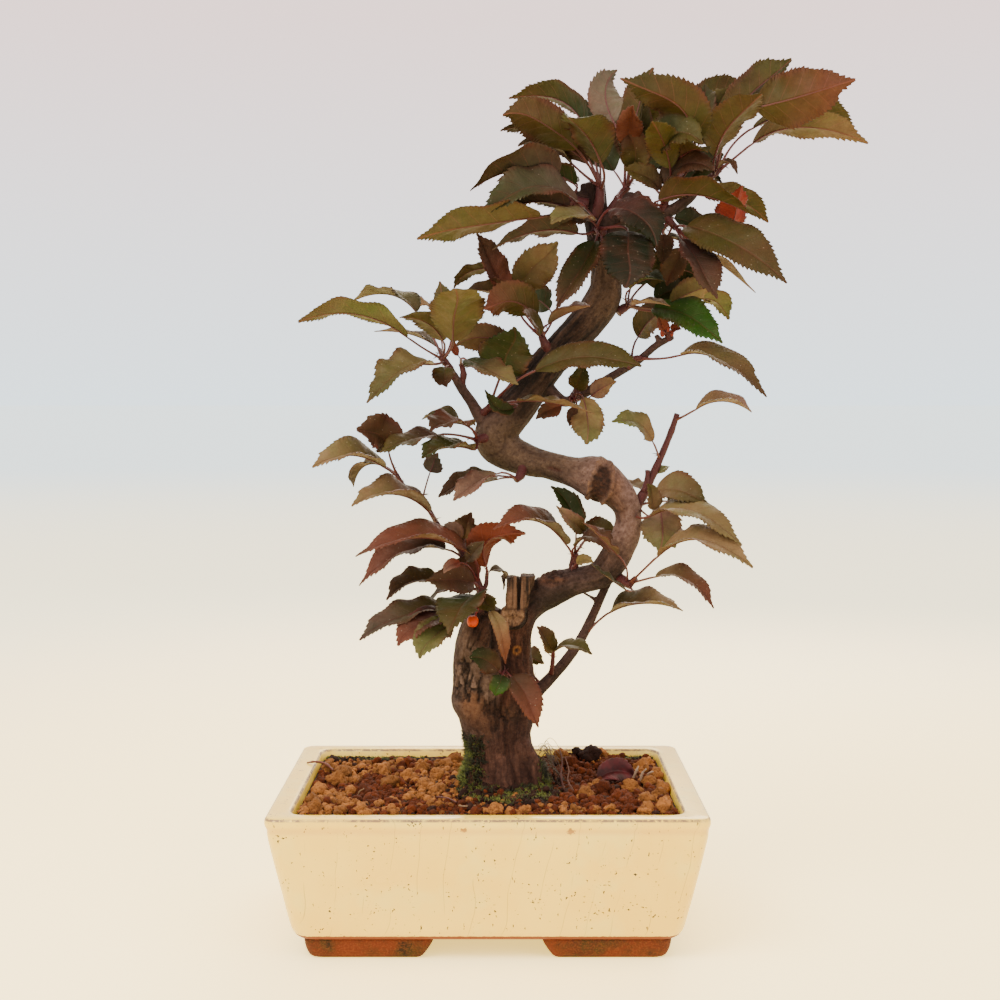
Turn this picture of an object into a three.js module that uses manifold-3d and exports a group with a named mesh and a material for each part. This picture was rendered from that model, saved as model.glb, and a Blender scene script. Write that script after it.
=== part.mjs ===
// Apple bonsai: a crab apple trained with a bent trunk, in its cream glazed pot.
// Millimetres, +Z up. X runs to the right and Y away from someone who looks at the front.
import * as THREE from "three";
import { mergeVertices } from "three/addons/utils/BufferGeometryUtils.js";
import Module from "manifold-3d";

const wasm = await Module();
wasm.setup();

// Where the front of the tree is looked at from, and how a place on that view becomes a real place:
// x and z are read on the plane through the pot's middle, and depth is how far behind it the point lies.
const EYE = new THREE.Vector3(5, -604.5, 228.7);

function seen(x, z, depth) {
  const onPlane = new THREE.Vector3(x, 0, z);
  return EYE.clone().lerp(onPlane, (depth - EYE.y) / -EYE.y);
}

// Pot
const POT_LENGTH = 180;
const POT_DEPTH = 121;
const POT_HEIGHT = 61.7;
const FOOT_HEIGHT = 8.4;
const RIM_WIDTH = 10;
const RIM_DEPTH = 8;
const INNER_TAPER = 7;
const LIP_HEIGHT = 4;
const LIP_ROUND = 1.2;
const WALL_TAPER = { x: 9.9, y: 7.4 };
const FLOOR_THICKNESS = 7;
const CAVITY_FLOOR = FOOT_HEIGHT + FLOOR_THICKNESS;
const BASE_CHAMFER = { height: 2, width: 1.5 };
const POT_CORNER = 5;
const INNER_CORNER = 6;
const DRAIN_RADIUS = 7;
const DRAIN_SIDES = 12;
const DRAIN_PLACES = [[-38, 0], [38, 0]];

// Angle feet: each has a front arm and a side arm that meet at FOOT_CORNER
const FOOT_CORNER = { x: 74.5, y: 49.5 };
const FOOT_FRONT_LENGTH = 52;
const FOOT_SIDE_LENGTH = 32;
const FOOT_WIDTH = 10;
const FOOT_TUCK = { end: 5, face: 1.5, midHeight: 0.4, midShare: 0.4 };
const FOOT_SINK = 0.8;

// Drain nets
const NET = { half: 12, thickness: 1, opening: 5, pitch: 7, holes: 3 };

// Clearance between pieces that touch, and how a blade or stalk is built
const GAP = 0.3;
const BLADE_THICKNESS = 0.8;
const BLADE_FOLD = THREE.MathUtils.degToRad(15);
const BLADE_ROUNDNESS = { towardsBase: 0.6, towardsTip: 0.9 };
const NOTCH_DEPTH = 0.8;
const LARGE_BLADE = 9.5;
const SMALL_BLADE = 4.6;
const LONG_STALK = 32;
// How much deeper than its row says a blade lies, so that the crown is as deep as the pot
const LEAF_REACH = 1.5;
const STALK_RADIUS = 0.65;
const STALK_BEND = 0.45;
// A tooth's point and the notch behind it, counted in teeth from the blade's base
const TOOTH_POINT = 0.85;
const TOOTH_NOTCH = 1.12;
const BARE_TIP = 0.35;
// Sprays end this far from the old wood that they grow from
const WOOD_CLEARANCE = 0.4;

// Soil
const SOIL_EDGE = 57.6;
const SOIL_RINGS = 7;
const SOIL_RELIEF = 1.1;
const SOIL_SEED = 11;
const TRUNK_PLACE = { x: 8, y: 0 };
const MOUND = { ...TRUNK_PLACE, height: 3.6, reachX: 42, reachY: 24 };
const HEAP = { x: 44, y: 36, height: 4.5, reachX: 16, reachY: 12 };
const FRONT_RISE = { height: 2.2, from: 5, to: 45 };
const ROOT_STOCK = { halfX: 17, halfY: 12.5, bottom: 36, top: 62.5, sides: 16 };
const ROOT_SHOULDER = { height: 2, x: 2.5, y: 2 };
const ROOT_HEEL = { height: 6, share: 0.85 };

// Sides of the faceted limbs
const THICK_SIDES = 10;
const THIN_SIDES = 5;

// Old wood: each row is x, z, depth and radius
const OLD_WOOD = {
  leftBulge: [
    [2, 58, 0, 10.5], [0.8, 70, 0, 9.8], [-0.2, 82, 0, 10.2], [-3.2, 92, -0.5, 11], [-4.2, 101, -1, 11.4],
    [-4.5, 110, -1, 11.5], [-4, 119, -1, 11.3], [-2.2, 127, -1, 10.4], [0.4, 133, 0, 8.4], [3, 138, 0, 5],
  ],
  mainLine: [
    [14, 58, 1, 10], [12, 70, 1, 9.2], [10.4, 82, 1, 8.8], [11.6, 94, 1, 9.5], [11.4, 106, 1, 9.2],
    [10.9, 118, 1, 8.4], [11.8, 128, 1, 7.4], [14.5, 136, 1, 7.2],
    [20.5, 141.8, 0, 7.1], [27.5, 145.4, -1.5, 6.8],
    [36, 149, -3, 6.2], [44, 150.8, -4, 5.9], [49.5, 153, -5, 6.3],
    [54, 158, -6, 6.7], [57.5, 164.5, -7, 6.6],
    [60, 171, -8, 6.2], [60.6, 177.5, -8, 5.9], [59.3, 184, -8, 6.3],
    [55, 189.5, -7, 7.6], [49, 193.2, -6, 9.0],
    [42, 196, -4, 8.0], [35, 198, -2, 6.4], [27, 200.2, 0, 6.1], [19, 202.4, 2.5, 6.8], [11, 205.3, 5, 7.8],
    [4.5, 210.2, 6, 9.0], [4, 215.5, 5.5, 9.2], [8.2, 221.5, 4.5, 8.8], [14.5, 229.5, 3, 8.1],
    [23, 241, 1, 7.4], [33.5, 253.5, -1, 7.3], [43, 263, -2, 7.5], [49.8, 273, -2, 7.4], [50.4, 283, -1, 6.0],
    [48.3, 294, 1, 4.9], [46, 307, 3, 4.6], [44.4, 321.5, 3, 4.0],
  ],
  sideStub: [[44, 314, 3, 3.6], [38, 314.6, 1, 3.2], [33, 315, 0, 2.8]],
  topRightBranch: [
    [47, 300, 2, 4.2], [53, 306.5, 1, 3.6], [61, 309.5, 0, 3.0], [75, 309, 0, 2.6], [84.5, 314, -2, 2.4],
    [91, 321, -3, 1.9],
  ],
  branchLeft: [
    [2, 216, 5, 5], [-3.5, 221.5, 3, 3.0], [-7.5, 228, 2, 2.3],
    [-12, 234.5, 1, 2.1], [-15.5, 240.5, -0.5, 1.7],
  ],
  branchLeftFork: [[-11, 233, 1.4, 1.9], [-11.6, 237, 1, 1.5]],
  branchRight: [
    [22, 237, 2, 4], [32, 228.5, -1, 2.5], [38, 230, -2, 2.2], [45, 233.8, -2, 2.1], [55, 240, -2, 1.9],
    [65, 246, -2, 1.7], [72, 252, -2, 1.6], [80, 256.5, -2, 1.4],
  ],
  branchRightSpur: [[74.5, 253.5, -2, 1.4], [72.5, 257, -2, 1.2]],
  longShoot: [
    [13, 95, 5, 5.5], [19, 99, 6, 3.6], [26, 105.5, 6, 2.7], [34, 114.5, 6, 2.4], [41, 125, 6, 2.2],
    [46.8, 137, 6, 2.0], [50, 144.5, 5, 1.9], [53.5, 152, 4, 1.8], [58, 163, 3, 1.8],
  ],
  longShootSnag: [[47, 141.5, 6, 1.0], [44, 143.3, 6, 0.7], [41.3, 144.8, 5.5, 0.6]],
};

const THICK_WOOD = ["leftBulge", "mainLine"];

// Stump of the old leader: two weathered planks of wood with a crack between them
const STUMP = { x: 14.3, depth: -5, foot: 137, top: 153.3, radius: 6.4, topRadius: 5.9, sides: 9 };
const STUMP_CRACK = { x: 13.3, width: 1, depth: 5 };
// Pale saw cut under the stump, and the hollow scar on the bend
const SAW_CUT = { x: 10.8, z: 136.2, depth: -9.5, radius: 4.6, thickness: 6, lean: 0.35 };
const HOLLOW_SCAR = { x: 47.5, z: 193.5, depth: -17.5, halfX: 3.2, halfZ: 8.5, halfDepth: 5.5, lean: -0.25 };
const KNOT = { x: 12.3, z: 120, depth: -8.2, radius: 2.3, height: 1.6 };

// Fruit on its stalk, and the dry leaf on the soil
const FRUIT = { x: -7, z: 132, depth: -12, radius: 2.5 };
const FRUIT_STALK = [[-6.6, 133, -11.5, 0.5], [-5.4, 136, -9, 0.5], [-4.3, 138.5, -6.6, 0.5]];
const FALLEN = { base: [46, 2, 60.4], mid: [57, 8, 65.5], tip: [68, 14, 60.2], halfWidth: 8 };

// Which way a blade's upper side looks
const UP = new THREE.Vector3(0, 0, 1);
const UP_BACK = new THREE.Vector3(0, 0.45, 1);
const UP_FRONT = new THREE.Vector3(0, -0.5, 1);
const FRONT = new THREE.Vector3(0, -0.9, 0.35);
const FRONT_LEFT = new THREE.Vector3(-0.4, -0.8, 0.3);
const FRONT_RIGHT = new THREE.Vector3(0.4, -0.8, 0.3);
const UNDER = new THREE.Vector3(0, 0.9, 0.35);
const UNDER_LEFT = new THREE.Vector3(-0.4, 0.8, 0.3);
const UNDER_RIGHT = new THREE.Vector3(0.4, 0.8, 0.3);

// Leaf colours
const OLIVE = 0x6a5a30;
const GREEN = 0x3d4420;
const VIVID = 0x5a7430;
const LIME = 0x8a8f42;
const GOLD = 0x8f8040;
const TAN = 0xa58252;
const BROWN = 0x5a3a25;
const RUST = 0x86492c;
const RED = 0x9c3f25;
const PURPLE = 0x4a2d28;
const MAUVE = 0x7f6a60;
const PINK = 0xb08a74;

// The leafy sprays. Twig rows are x, z, depth and radius. Leaf rows are the stalk's start, then the
// blade's base, middle and tip as x, z and depth, its half width, its face, and its colours
// near the base and near the tip.
const SPRAYS = {
  spray_crown_right: {
    twigs: [[[90, 320.5, -3, 1.6], [95, 324, -3.5, 1.4], [99.5, 327.5, -4, 1.2]]],
    leaves: [
      [[98, 326, -4], [114, 353.5, -12], [134, 358.5, -18], [157, 365.5, -20], 13, UNDER, OLIVE, RUST],
      [[98, 327, -3], [102, 346, 3], [114, 361, 9], [129.5, 374.5, 14], 9, UNDER_LEFT, OLIVE, OLIVE],
      [[97, 326, -5], [97, 333, -8], [104, 347, -14], [117, 359.5, -24], 9.5, UNDER_LEFT, GOLD, RUST],
      [[99, 327, -3], [113, 338.5, -2], [134, 345.5, 2], [163, 338.5, 5], 10, UP_BACK, OLIVE, TAN],
      [[99, 327, -2], [113, 345, 9], [138, 353, 17], [157, 344, 22], 9, UP_BACK, OLIVE, OLIVE],
      [[97, 326, -4], [98.5, 328, -7], [103, 330.5, -9], [107, 325.5, -11], 3, UP_FRONT, BROWN, BROWN],
    ],
  },
  spray_crown_middle: {
    twigs: [[[52, 309, 2, 2.4], [56, 315, 1, 2.0], [60, 320.5, 0, 1.7]]],
    leaves: [
      [[58, 318, 0], [55, 338, -4], [52.5, 353, -10], [53, 366.5, -17], 8, UNDER, MAUVE, MAUVE],
      [[60, 320, 1], [62, 345, 12], [65, 357, 18], [70.5, 370.5, 22], 7.5, UNDER, OLIVE, OLIVE],
      [[60, 319, -1], [60.5, 336, -7], [59.5, 346, -13], [58, 355.5, -22], 6.5, FRONT, BROWN, RUST],
      [[60, 320, 0], [63.5, 339, -1], [65.5, 349, -6], [66, 359, -12], 5, FRONT_RIGHT, GREEN, OLIVE],
    ],
  },
  spray_crown_high: {
    twigs: [[[74, 306, 0, 2.2], [75.5, 312, -1, 1.8], [77.5, 318, -2, 1.5]]],
    leaves: [
      [[77, 317, -2], [88.5, 341, -10], [78, 356, -18], [54.5, 364, -25], 9.5, UNDER_RIGHT, OLIVE, RUST],
      [[77, 317, -1], [89, 341, 4], [91.5, 352, 9], [92.5, 363.5, 13], 6, FRONT_LEFT, OLIVE, GREEN],
      [[77, 316, 0], [84, 350, 15], [95, 361, 22], [107, 363.5, 28], 7, UP_BACK, OLIVE, OLIVE],
      [[77, 318, -1], [77, 343, 6], [73, 352, 5], [66.5, 358.5, 3], 6, UNDER_RIGHT, OLIVE, TAN],
      [[77, 315, -3], [78, 328, -9], [75, 339, -15], [70, 348, -24], 7, UNDER, OLIVE, OLIVE],
      [[77, 316, -3], [79, 330, -7], [86.5, 335.5, -13], [94, 335, -24], 6.5, UP_BACK, BROWN, OLIVE],
      [[76, 312, -1], [77, 321, -4], [85.5, 330.5, -8], [95.5, 328, -12], 6, UP, BROWN, RUST],
      [[76, 311, 0], [80, 322, 6], [89, 327.5, 11], [100.5, 321.5, 15], 6, UP_BACK, GREEN, GREEN],
      [[75.5, 312, -3], [73, 314.5, -7], [92, 316.5, -12], [114, 308, -16], 9, UP_BACK, BROWN, OLIVE],
      [[77, 312, 0], [90, 319.5, 10], [106, 315.5, 15], [120.5, 305, 20], 8, UP_BACK, MAUVE, OLIVE],
    ],
  },
  spray_crown_left: {
    twigs: [[[46, 308, 0, 2.6], [47.8, 314, -2.5, 2.2], [48, 320, -4, 1.8]]],
    leaves: [
      [[47.5, 320, -4], [38, 336, -9], [22.5, 347.5, -18], [6, 350.5, -22], 10, UNDER, OLIVE, RUST],
      [[48, 319, -4], [48.5, 330, -12], [42, 342, -18], [34, 349.5, -29], 9.5, UNDER_RIGHT, LIME, GOLD],
      [[48, 320, -4], [42, 344, 4], [30, 357, 9], [8.5, 357.5, 13], 9, UP_BACK, GREEN, OLIVE],
      [[48, 320, -4], [45.5, 343, 8], [42.5, 351, 11], [38.5, 357.5, 14], 5, UNDER, GREEN, GREEN],
      [[47.5, 319, -4], [37, 338, 1], [21, 345.5, 0], [5, 344, -2], 8, UP_BACK, OLIVE, TAN],
      [[47.5, 318, -3], [42.5, 330, -5], [28, 339.5, -8], [12.5, 337.5, -11], 9, UP_BACK, BROWN, BROWN],
      [[48, 320, -4], [34, 332, 1], [28, 335.5, 7], [20, 334.5, 13], 6, UP, OLIVE, OLIVE],
    ],
  },
  spray_side_stub: {
    twigs: [[[42, 313, -1, 2.4], [35, 314.8, -4, 2.2], [28, 316, -5, 1.7]]],
    leaves: [
      [[32, 316, -6], [30, 325, -13], [12, 327.5, -20], [-8, 318.5, -25], 11, UP_BACK, MAUVE, BROWN],
      [[31, 316, -5], [20, 322.5, 0], [12, 324, 3], [3.5, 322.5, 6], 4.5, UP_BACK, RUST, BROWN],
      [[35, 315, -4], [37.5, 322.5, 0], [30, 328, 5], [21, 331, 9], 7, UP_BACK, GREEN, GREEN],
      [[34, 315, -4], [37.5, 321, -6], [26, 326, -10], [14.5, 322.5, -13], 6, UP_BACK, GREEN, OLIVE],
      [[28, 316, -5], [25, 318, 5], [16, 318.5, 14], [4, 312.5, 22], 8, UNDER, BROWN, OLIVE],
      [[36, 314, -4], [35, 311, -8], [16, 313.5, -14], [-4.5, 305, -18], 10, UP_BACK, MAUVE, GREEN],
      [[37, 313, -5], [22, 307.5, -19], [-4, 304, -28], [-31, 298, -33], 12, UP_BACK, GOLD, GOLD],
      [[40, 313, -4], [42, 304.5, -12], [35, 306.5, -22], [27.5, 305.5, -34], 6, UP_FRONT, GOLD, RUST],
    ],
  },
  spray_leader: {
    twigs: [[[49, 301, -2, 2.2], [47, 301.5, -7, 1.9], [46, 302, -9.5, 1.6]]],
    leaves: [
      [[46, 301, -9], [38.5, 299.5, -10], [21, 299, -14], [1.5, 291.5, -17], 9, UP_BACK, GREEN, MAUVE],
      [[46, 301, -10], [46, 297, -13], [38.5, 283, -18], [29, 267.5, -23], 7.5, FRONT_LEFT, GREEN, OLIVE],
      [[47, 301, -9], [48.5, 297, -9.5], [43.5, 290, -11], [36, 282, -12], 6.5, FRONT_LEFT, GREEN, BROWN],
      [[47, 302, -9], [53, 311, -12], [63.5, 308.5, -19], [72.5, 295, -24], 9, UP_FRONT, MAUVE, BROWN],
      [[48, 302, -9], [60, 301.5, -15], [59.5, 289, -26], [57, 276, -31], 11, FRONT, GREEN, GOLD],
    ],
  },
  spray_right_upper: {
    twigs: [[[75, 309.5, 0, 2.0], [78, 305.5, 0, 1.7], [81, 302.5, 0, 1.4]]],
    leaves: [
      [[80, 303, 0], [85, 303.5, -5], [105, 295, -14], [128.5, 278.5, -20], 12, UP_FRONT, BROWN, OLIVE],
      [[78, 305, 0], [77, 299.5, 6], [95, 291, 11], [115.5, 275, 15], 8, UP, TAN, TAN],
      [[80, 303, -1], [83.5, 298, -8], [91, 287, -16], [99, 272.5, -22], 8.5, FRONT_RIGHT, PURPLE, BROWN],
      [[80, 303, 1], [86, 300, 4], [93, 295, 8], [99, 287, 10], 5.5, UP_FRONT, GREEN, GREEN],
      [[77, 306, -1], [75, 300, -4], [75.5, 294, -8], [75, 287, -12], 4, FRONT, BROWN, BROWN],
      [[81, 303, 1], [96, 297.5, 2], [101, 309, 0], [107, 320, -5], 9, UNDER_LEFT, RED, RED],
    ],
  },
  spray_leader_right: {
    twigs: [[[56, 267, -2, 2.2], [58.5, 268.5, -1, 1.9], [61, 270, 0, 1.5]]],
    leaves: [
      [[60, 269, 1], [68, 279.5, 8], [78, 284, 9], [90, 282, 10], 8, UNDER, OLIVE, GREEN],
      [[60, 270, -1], [61, 277, -6], [68, 281, -11], [76.5, 280, -17], 5.5, UP_FRONT, LIME, GREEN],
      [[60, 270, 0], [78.5, 270, 3], [87, 275, 4], [97, 277, 5], 6, UNDER, OLIVE, TAN],
      [[60, 269, -1], [62.5, 270, -5], [69.5, 271, -12], [78.5, 269.5, -19], 5, UP_FRONT, PINK, TAN],
      [[60, 269, 0], [71, 268.5, -5], [87.5, 262.5, -12], [101.5, 252.5, -18], 10, UP_FRONT, VIVID, BROWN],
      [[61, 270, 1], [86, 270.5, 11], [97, 272, 14], [104, 263.5, 17], 6, UP_BACK, LIME, LIME],
    ],
  },
  spray_branch_right: {
    twigs: [[[60, 243, -2, 1.9], [63, 246.5, -3, 1.5], [66.5, 247, -4, 1.2]]],
    leaves: [
      [[62, 246, -1], [64.5, 256, 4], [70, 263.5, 7], [77, 269.5, 10], 8, UNDER_LEFT, OLIVE, BROWN],
      [[66, 245, -3], [83.5, 248.5, -8], [100, 246.5, -14], [118.5, 232, -20], 9.5, UP_FRONT, TAN, OLIVE],
    ],
  },
  spur_with_buds: {
    twigs: [[[78, 254.5, -2, 1.5], [77.5, 257.5, -3, 1.3], [76.5, 259.5, -4, 1.1]]],
    leaves: [
      [[77, 258, -3], [75.5, 259, -4.5], [74.5, 262.5, -6], [73, 266, -8], 2.8, FRONT, RED, RUST],
      [[77, 258, -3], [79, 259, -3], [81, 260, -4], [83.5, 259.5, -5], 2, FRONT, RED, RED],
    ],
    buds: [[75.5, 258.3, -3.5, 1.7], [77.5, 260, -4, 1.6], [79.3, 258, -3, 1.4]],
  },
  spray_spur_right: {
    twigs: [[[38.5, 232.5, -2, 2.0], [37, 230.5, -4, 1.8], [36, 229.5, -6, 1.4]]],
    leaves: [
      [[38, 231, -5], [41, 229, -9], [43, 220.5, -14], [44.5, 211, -18], 8.5, UNDER, TAN, OLIVE],
      [[37, 229, -5], [38, 225.5, -9], [36.5, 221.5, -11], [35, 217.5, -12], 3, FRONT, BROWN, BROWN],
      [[36, 229.5, -6], [32, 226.5, -8], [27, 225, -8], [20.5, 220.5, -7], 4, FRONT, RUST, BROWN],
      [[37, 231, -3], [38, 233.5, -4], [39.5, 239, -8], [40.5, 244.5, -14], 4.5, FRONT, OLIVE, GREEN],
      [[37, 230.5, -5], [44.5, 230.5, -8], [50, 234.5, -8], [55.5, 237, -7], 4.5, UNDER, PINK, TAN],
    ],
  },
  spray_spur_trunk: {
    twigs: [[[27, 249, -4, 2.2], [24.5, 253, -6, 2.0], [23, 256.5, -7, 1.6]]],
    leaves: [
      [[22, 257, -6], [9.5, 274.5, 2], [1.5, 287, 1], [-5, 300.5, -3], 6.5, FRONT_RIGHT, RUST, BROWN],
      [[22, 257, -5], [3, 285, 9], [-7, 284.5, 12], [-15, 277, 15], 5, UP_BACK, OLIVE, OLIVE],
      [[24, 257, -5], [26.5, 268, -1], [20, 272.5, 2], [12.5, 273.5, 5], 6, UNDER, GREEN, GREEN],
      [[22, 257, -5], [10, 273, 3], [0, 276, 1], [-10.5, 275.5, -2], 6, UP_BACK, OLIVE, MAUVE],
      [[22, 257, -7], [21, 265, -11], [9, 271.5, -18], [-2, 268, -24], 8, UNDER, OLIVE, RUST],
      [[24, 257, -8], [26, 262, -11], [34.5, 266.5, -15], [44, 269.5, -19], 7, UP_FRONT, PURPLE, RUST],
      [[23, 257, -8], [23.5, 258.5, -11], [19.5, 263, -17], [15, 267, -25], 5, FRONT, OLIVE, BROWN],
      [[23, 256, -7], [13, 275, -4], [19.5, 286, -6], [30, 297, -9], 8.5, FRONT_RIGHT, OLIVE, TAN],
    ],
  },
  spray_branch_left: {
    twigs: [[[-14.5, 238.5, 0, 1.7], [-17, 243, -1, 1.6], [-20.5, 247.5, -2, 1.7]]],
    leaves: [
      [[-20, 246, -2], [-35, 256, -6], [-57.5, 266, -13], [-82.5, 262.5, -17], 10.5, UP_BACK, GOLD, OLIVE],
      [[-20, 247, -1], [-31, 267, 8], [-43, 274.5, 13], [-58.5, 271.5, 18], 9, UP, OLIVE, LIME],
      [[-20, 247, -2], [-19.5, 254.5, -3], [-27, 262.5, -7], [-38.5, 264.5, -12], 8, UP_BACK, GOLD, OLIVE],
      [[-19, 247, -3], [-15.5, 254, -8], [-14.5, 266.5, -18], [-14.5, 277, -31], 11.5, UNDER, GOLD, GOLD],
      [[-20, 247, -1], [-22, 252, 3], [-34, 257.5, 6], [-49.5, 258.5, 9], 8, UP, MAUVE, MAUVE],
      [[-20, 245, -3], [-25, 244.5, -8], [-39, 241, -14], [-53, 227.5, -18], 10, UP_FRONT, GOLD, OLIVE],
      [[-17, 243, -2], [-18.5, 243, -5], [-19, 239, -9], [-18, 234.5, -12], 5, FRONT, OLIVE, BROWN],
      [[-19, 247, -1], [-17, 262, 8], [-20, 271, 13], [-21, 280, 18], 4.5, UNDER, GREEN, OLIVE],
      [[-20, 247, 0], [-22, 262, 14], [-26, 269.5, 19], [-31.5, 269, 24], 5, UP_BACK, PINK, PINK],
    ],
  },
  spray_left_fork: {
    twigs: [[[-11.6, 235, 1.2, 1.6], [-10.8, 240, 0, 1.4], [-11.8, 244.5, -1, 1.2]]],
    leaves: [
      [[-11.5, 244, -2], [-9.5, 246.5, -12], [1, 241.5, -22], [13, 235.5, -27], 8, UP_FRONT, GREEN, TAN],
      [[-11.8, 244.5, -1], [-13, 248, -1.5], [-15, 251.5, -2], [-14.5, 255, -3], 1.8, FRONT, RED, RUST],
    ],
  },
  spray_small_arm: {
    twigs: [[[-3, 222.5, 2, 1.9], [-1, 224.5, 0, 1.6], [0.5, 226, -2, 1.4]]],
    leaves: [
      [[0.5, 226, -2], [5.5, 240, -5], [9, 250.5, -10], [11, 260.5, -16], 11.5, FRONT, GREEN, GREEN],
      [[0, 226, 0], [10, 252.5, 4], [-3, 256, 2], [-14, 252.5, -1], 6.5, UNDER, BROWN, TAN],
      [[0.5, 225, -3], [20, 243, -13], [43.5, 247, -19], [66, 245.5, -24], 9.5, UP_FRONT, OLIVE, OLIVE],
      [[0, 224, -3], [12.5, 228.5, -11], [27, 228, -16], [46, 223, -22], 7, UP, OLIVE, TAN],
      [[0.5, 224, -3], [11, 225.5, -10], [4, 225.5, -13], [-1.5, 233.5, -17], 3.5, FRONT, GREEN, GREEN],
    ],
  },
  spray_left_turn: {
    twigs: [[[1, 213, 0, 2.4], [-3.5, 212, -2, 2.0], [-5.5, 211.5, -4, 1.6]]],
    leaves: [
      [[-5, 211, -4], [-22, 214, -9], [-35, 211.5, -12], [-47.5, 206, -14], 8, UP_FRONT, BROWN, OLIVE],
      [[-4.5, 212, -4], [-8.5, 217.5, -7], [-16, 219, -13], [-25, 215.5, -18], 9, UP_FRONT, RUST, BROWN],
      [[-4, 212, -2], [-13, 220, 4], [-21, 222, 7], [-29, 220.5, 10], 5.5, UP_FRONT, OLIVE, OLIVE],
      [[-5, 211, -4], [-7, 207.5, -8], [-17, 208.5, -15], [-29, 203.5, -22], 8, UP_FRONT, OLIVE, GREEN],
    ],
  },
  spray_under: {
    twigs: [[[15.5, 201, 0, 2.4], [13.8, 196, -4, 2.0], [12, 194.2, -6, 1.4]]],
    leaves: [
      [[12, 195, -6], [3.5, 197, -9], [-6, 192.5, -13], [-15.5, 185, -17], 6, UP_FRONT, PINK, PINK],
      [[12, 195, -5], [2, 196, -3], [-10, 193.5, -1], [-22, 186.5, 0], 7, UP_FRONT, OLIVE, BROWN],
      [[12, 195, -4], [3.5, 194.5, 4], [-2, 193, 7], [-8.5, 190.5, 9], 4.5, UP_FRONT, TAN, TAN],
    ],
  },
  shoot_right: {
    twigs: [
      [[63, 180, -7, 2.6], [67, 187, -6, 2.1], [73, 199.5, -5, 1.6], [79, 214, -4, 1.4], [82, 223, -4, 1.2]],
      [[67.5, 189, -7, 1.2], [69, 194, -7, 1.1], [69.3, 198.5, -7, 1.0]],
    ],
    leaves: [
      [[74.5, 203, -5], [71.5, 211, -7], [63.5, 218.5, -11], [54, 220.5, -15], 7, UP_FRONT, LIME, TAN],
      [[81.5, 220, -4], [90, 225, -6], [101.5, 228.5, -9], [114.5, 223.5, -11], 8.5, UP_FRONT, RUST, PINK],
      [[71, 195.5, -5], [73.5, 197, -4], [76, 199, -3], [79, 200, -2], 2.8, UP_FRONT, LIME, LIME],
      [[68.5, 190, -6], [73, 188.8, -8], [83.5, 188.5, -13], [94.5, 184, -17], 8.5, UP_FRONT, RUST, OLIVE],
      [[68, 189, -6], [78, 185, 1], [91, 184.5, 4], [103, 178.8, 6], 6, UP_FRONT, OLIVE, OLIVE],
      [[65, 176, -10], [71, 178.7, -14], [90, 180.5, -21], [111, 165.5, -28], 9.5, UP_FRONT, TAN, OLIVE],
      [[67, 182, -9], [72, 181, -13], [71.5, 187, -14], [69, 192.5, -15], 4, FRONT_RIGHT, TAN, OLIVE],
      [[67, 181, -8], [74.5, 182.5, -6], [76, 173, -10], [74.5, 163.5, -13], 10, UNDER, PINK, GOLD],
      [[67, 188, -5], [67, 190, 3], [63, 192, 8], [58, 193.5, 12], 4.5, UP_FRONT, TAN, TAN],
    ],
  },
  spray_bend: {
    twigs: [[[55, 152.5, -3, 2.6], [59, 150, -9, 2.2], [61.5, 148.5, -12, 1.8], [64.5, 151, -14, 1.1]]],
    leaves: [
      [[62, 148, -12], [74, 160.8, -19], [93, 168, -25], [116, 155.5, -28], 9.5, UP_FRONT, TAN, TAN],
      [[62, 149, -12], [73, 151.8, -15], [87, 150.5, -19], [99, 137.5, -22], 9, UP_FRONT, RUST, PURPLE],
      [[62, 148, -12], [60.5, 146, -16], [53, 151, -19], [45, 157.5, -22], 4.5, UP_FRONT, OLIVE, GREEN],
      [[60, 150, -11], [56.5, 161.5, -19], [49, 169, -23], [41.5, 175.5, -26], 4.5, UP_FRONT, BROWN, RUST],
    ],
  },
  spray_mid_spur: {
    twigs: [[[37, 152, -2, 2.4], [37.3, 157, -4, 2.0], [37.8, 162, -5, 1.6]]],
    leaves: [
      [[36.5, 159, -5], [34, 166, -7], [20, 176.5, -14], [2, 172.5, -20], 9.5, UP_FRONT, BROWN, RUST],
      [[37.5, 162, -5], [38.3, 173, -3], [35.5, 182, -2], [27, 191.5, -1], 5, FRONT_RIGHT, GREEN, GREEN],
      [[37.5, 162, -5], [41.5, 171.5, -8], [36.5, 176, -11], [29.5, 183, -14], 3.6, FRONT, OLIVE, PINK],
      [[38, 161, -5], [37.5, 165, -8], [45, 169.5, -12], [53.5, 162.5, -15.5], 7, UP_FRONT, BROWN, BROWN],
      [[38, 161, -4], [42, 168, 3], [48, 172, 8], [56, 171, 12], 6, FRONT, OLIVE, OLIVE],
      [[38, 157, -5], [38.5, 157.5, -9], [42, 159.2, -11], [46, 158, -13], 2.4, FRONT, TAN, TAN],
    ],
  },
  leaf_long_shoot_upper: {
    twigs: [],
    leaves: [
      [[43.5, 127.5, 5], [54, 136.5, 2], [68, 140, -4], [85.5, 136.5, -9], 8.5, UP_FRONT, OLIVE, TAN],
    ],
  },
  leaf_long_shoot_lower: {
    twigs: [[[27.5, 109, 3, 1.3], [28, 112, 0, 1.0], [28.4, 118, -3, 0.9]]],
    leaves: [
      [[28, 115, -2], [28.5, 118.5, -3.5], [25.5, 124, -6], [21.3, 129.8, -9],
        4.5, FRONT_RIGHT, OLIVE, BROWN],
      [[28, 115, -2], [29, 119, -3.5], [37, 121.5, -7], [45.7, 117.3, -10], 5.5, UP_FRONT, OLIVE, OLIVE],
    ],
  },
  leaf_behind_trunk: {
    twigs: [],
    leaves: [
      [[22.5, 104.5, 5], [16, 116.5, 15], [19.5, 115.5, 18], [24.5, 113.3, 20], 5, UNDER, MAUVE, OLIVE],
    ],
  },
  spray_trunk: {
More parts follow.
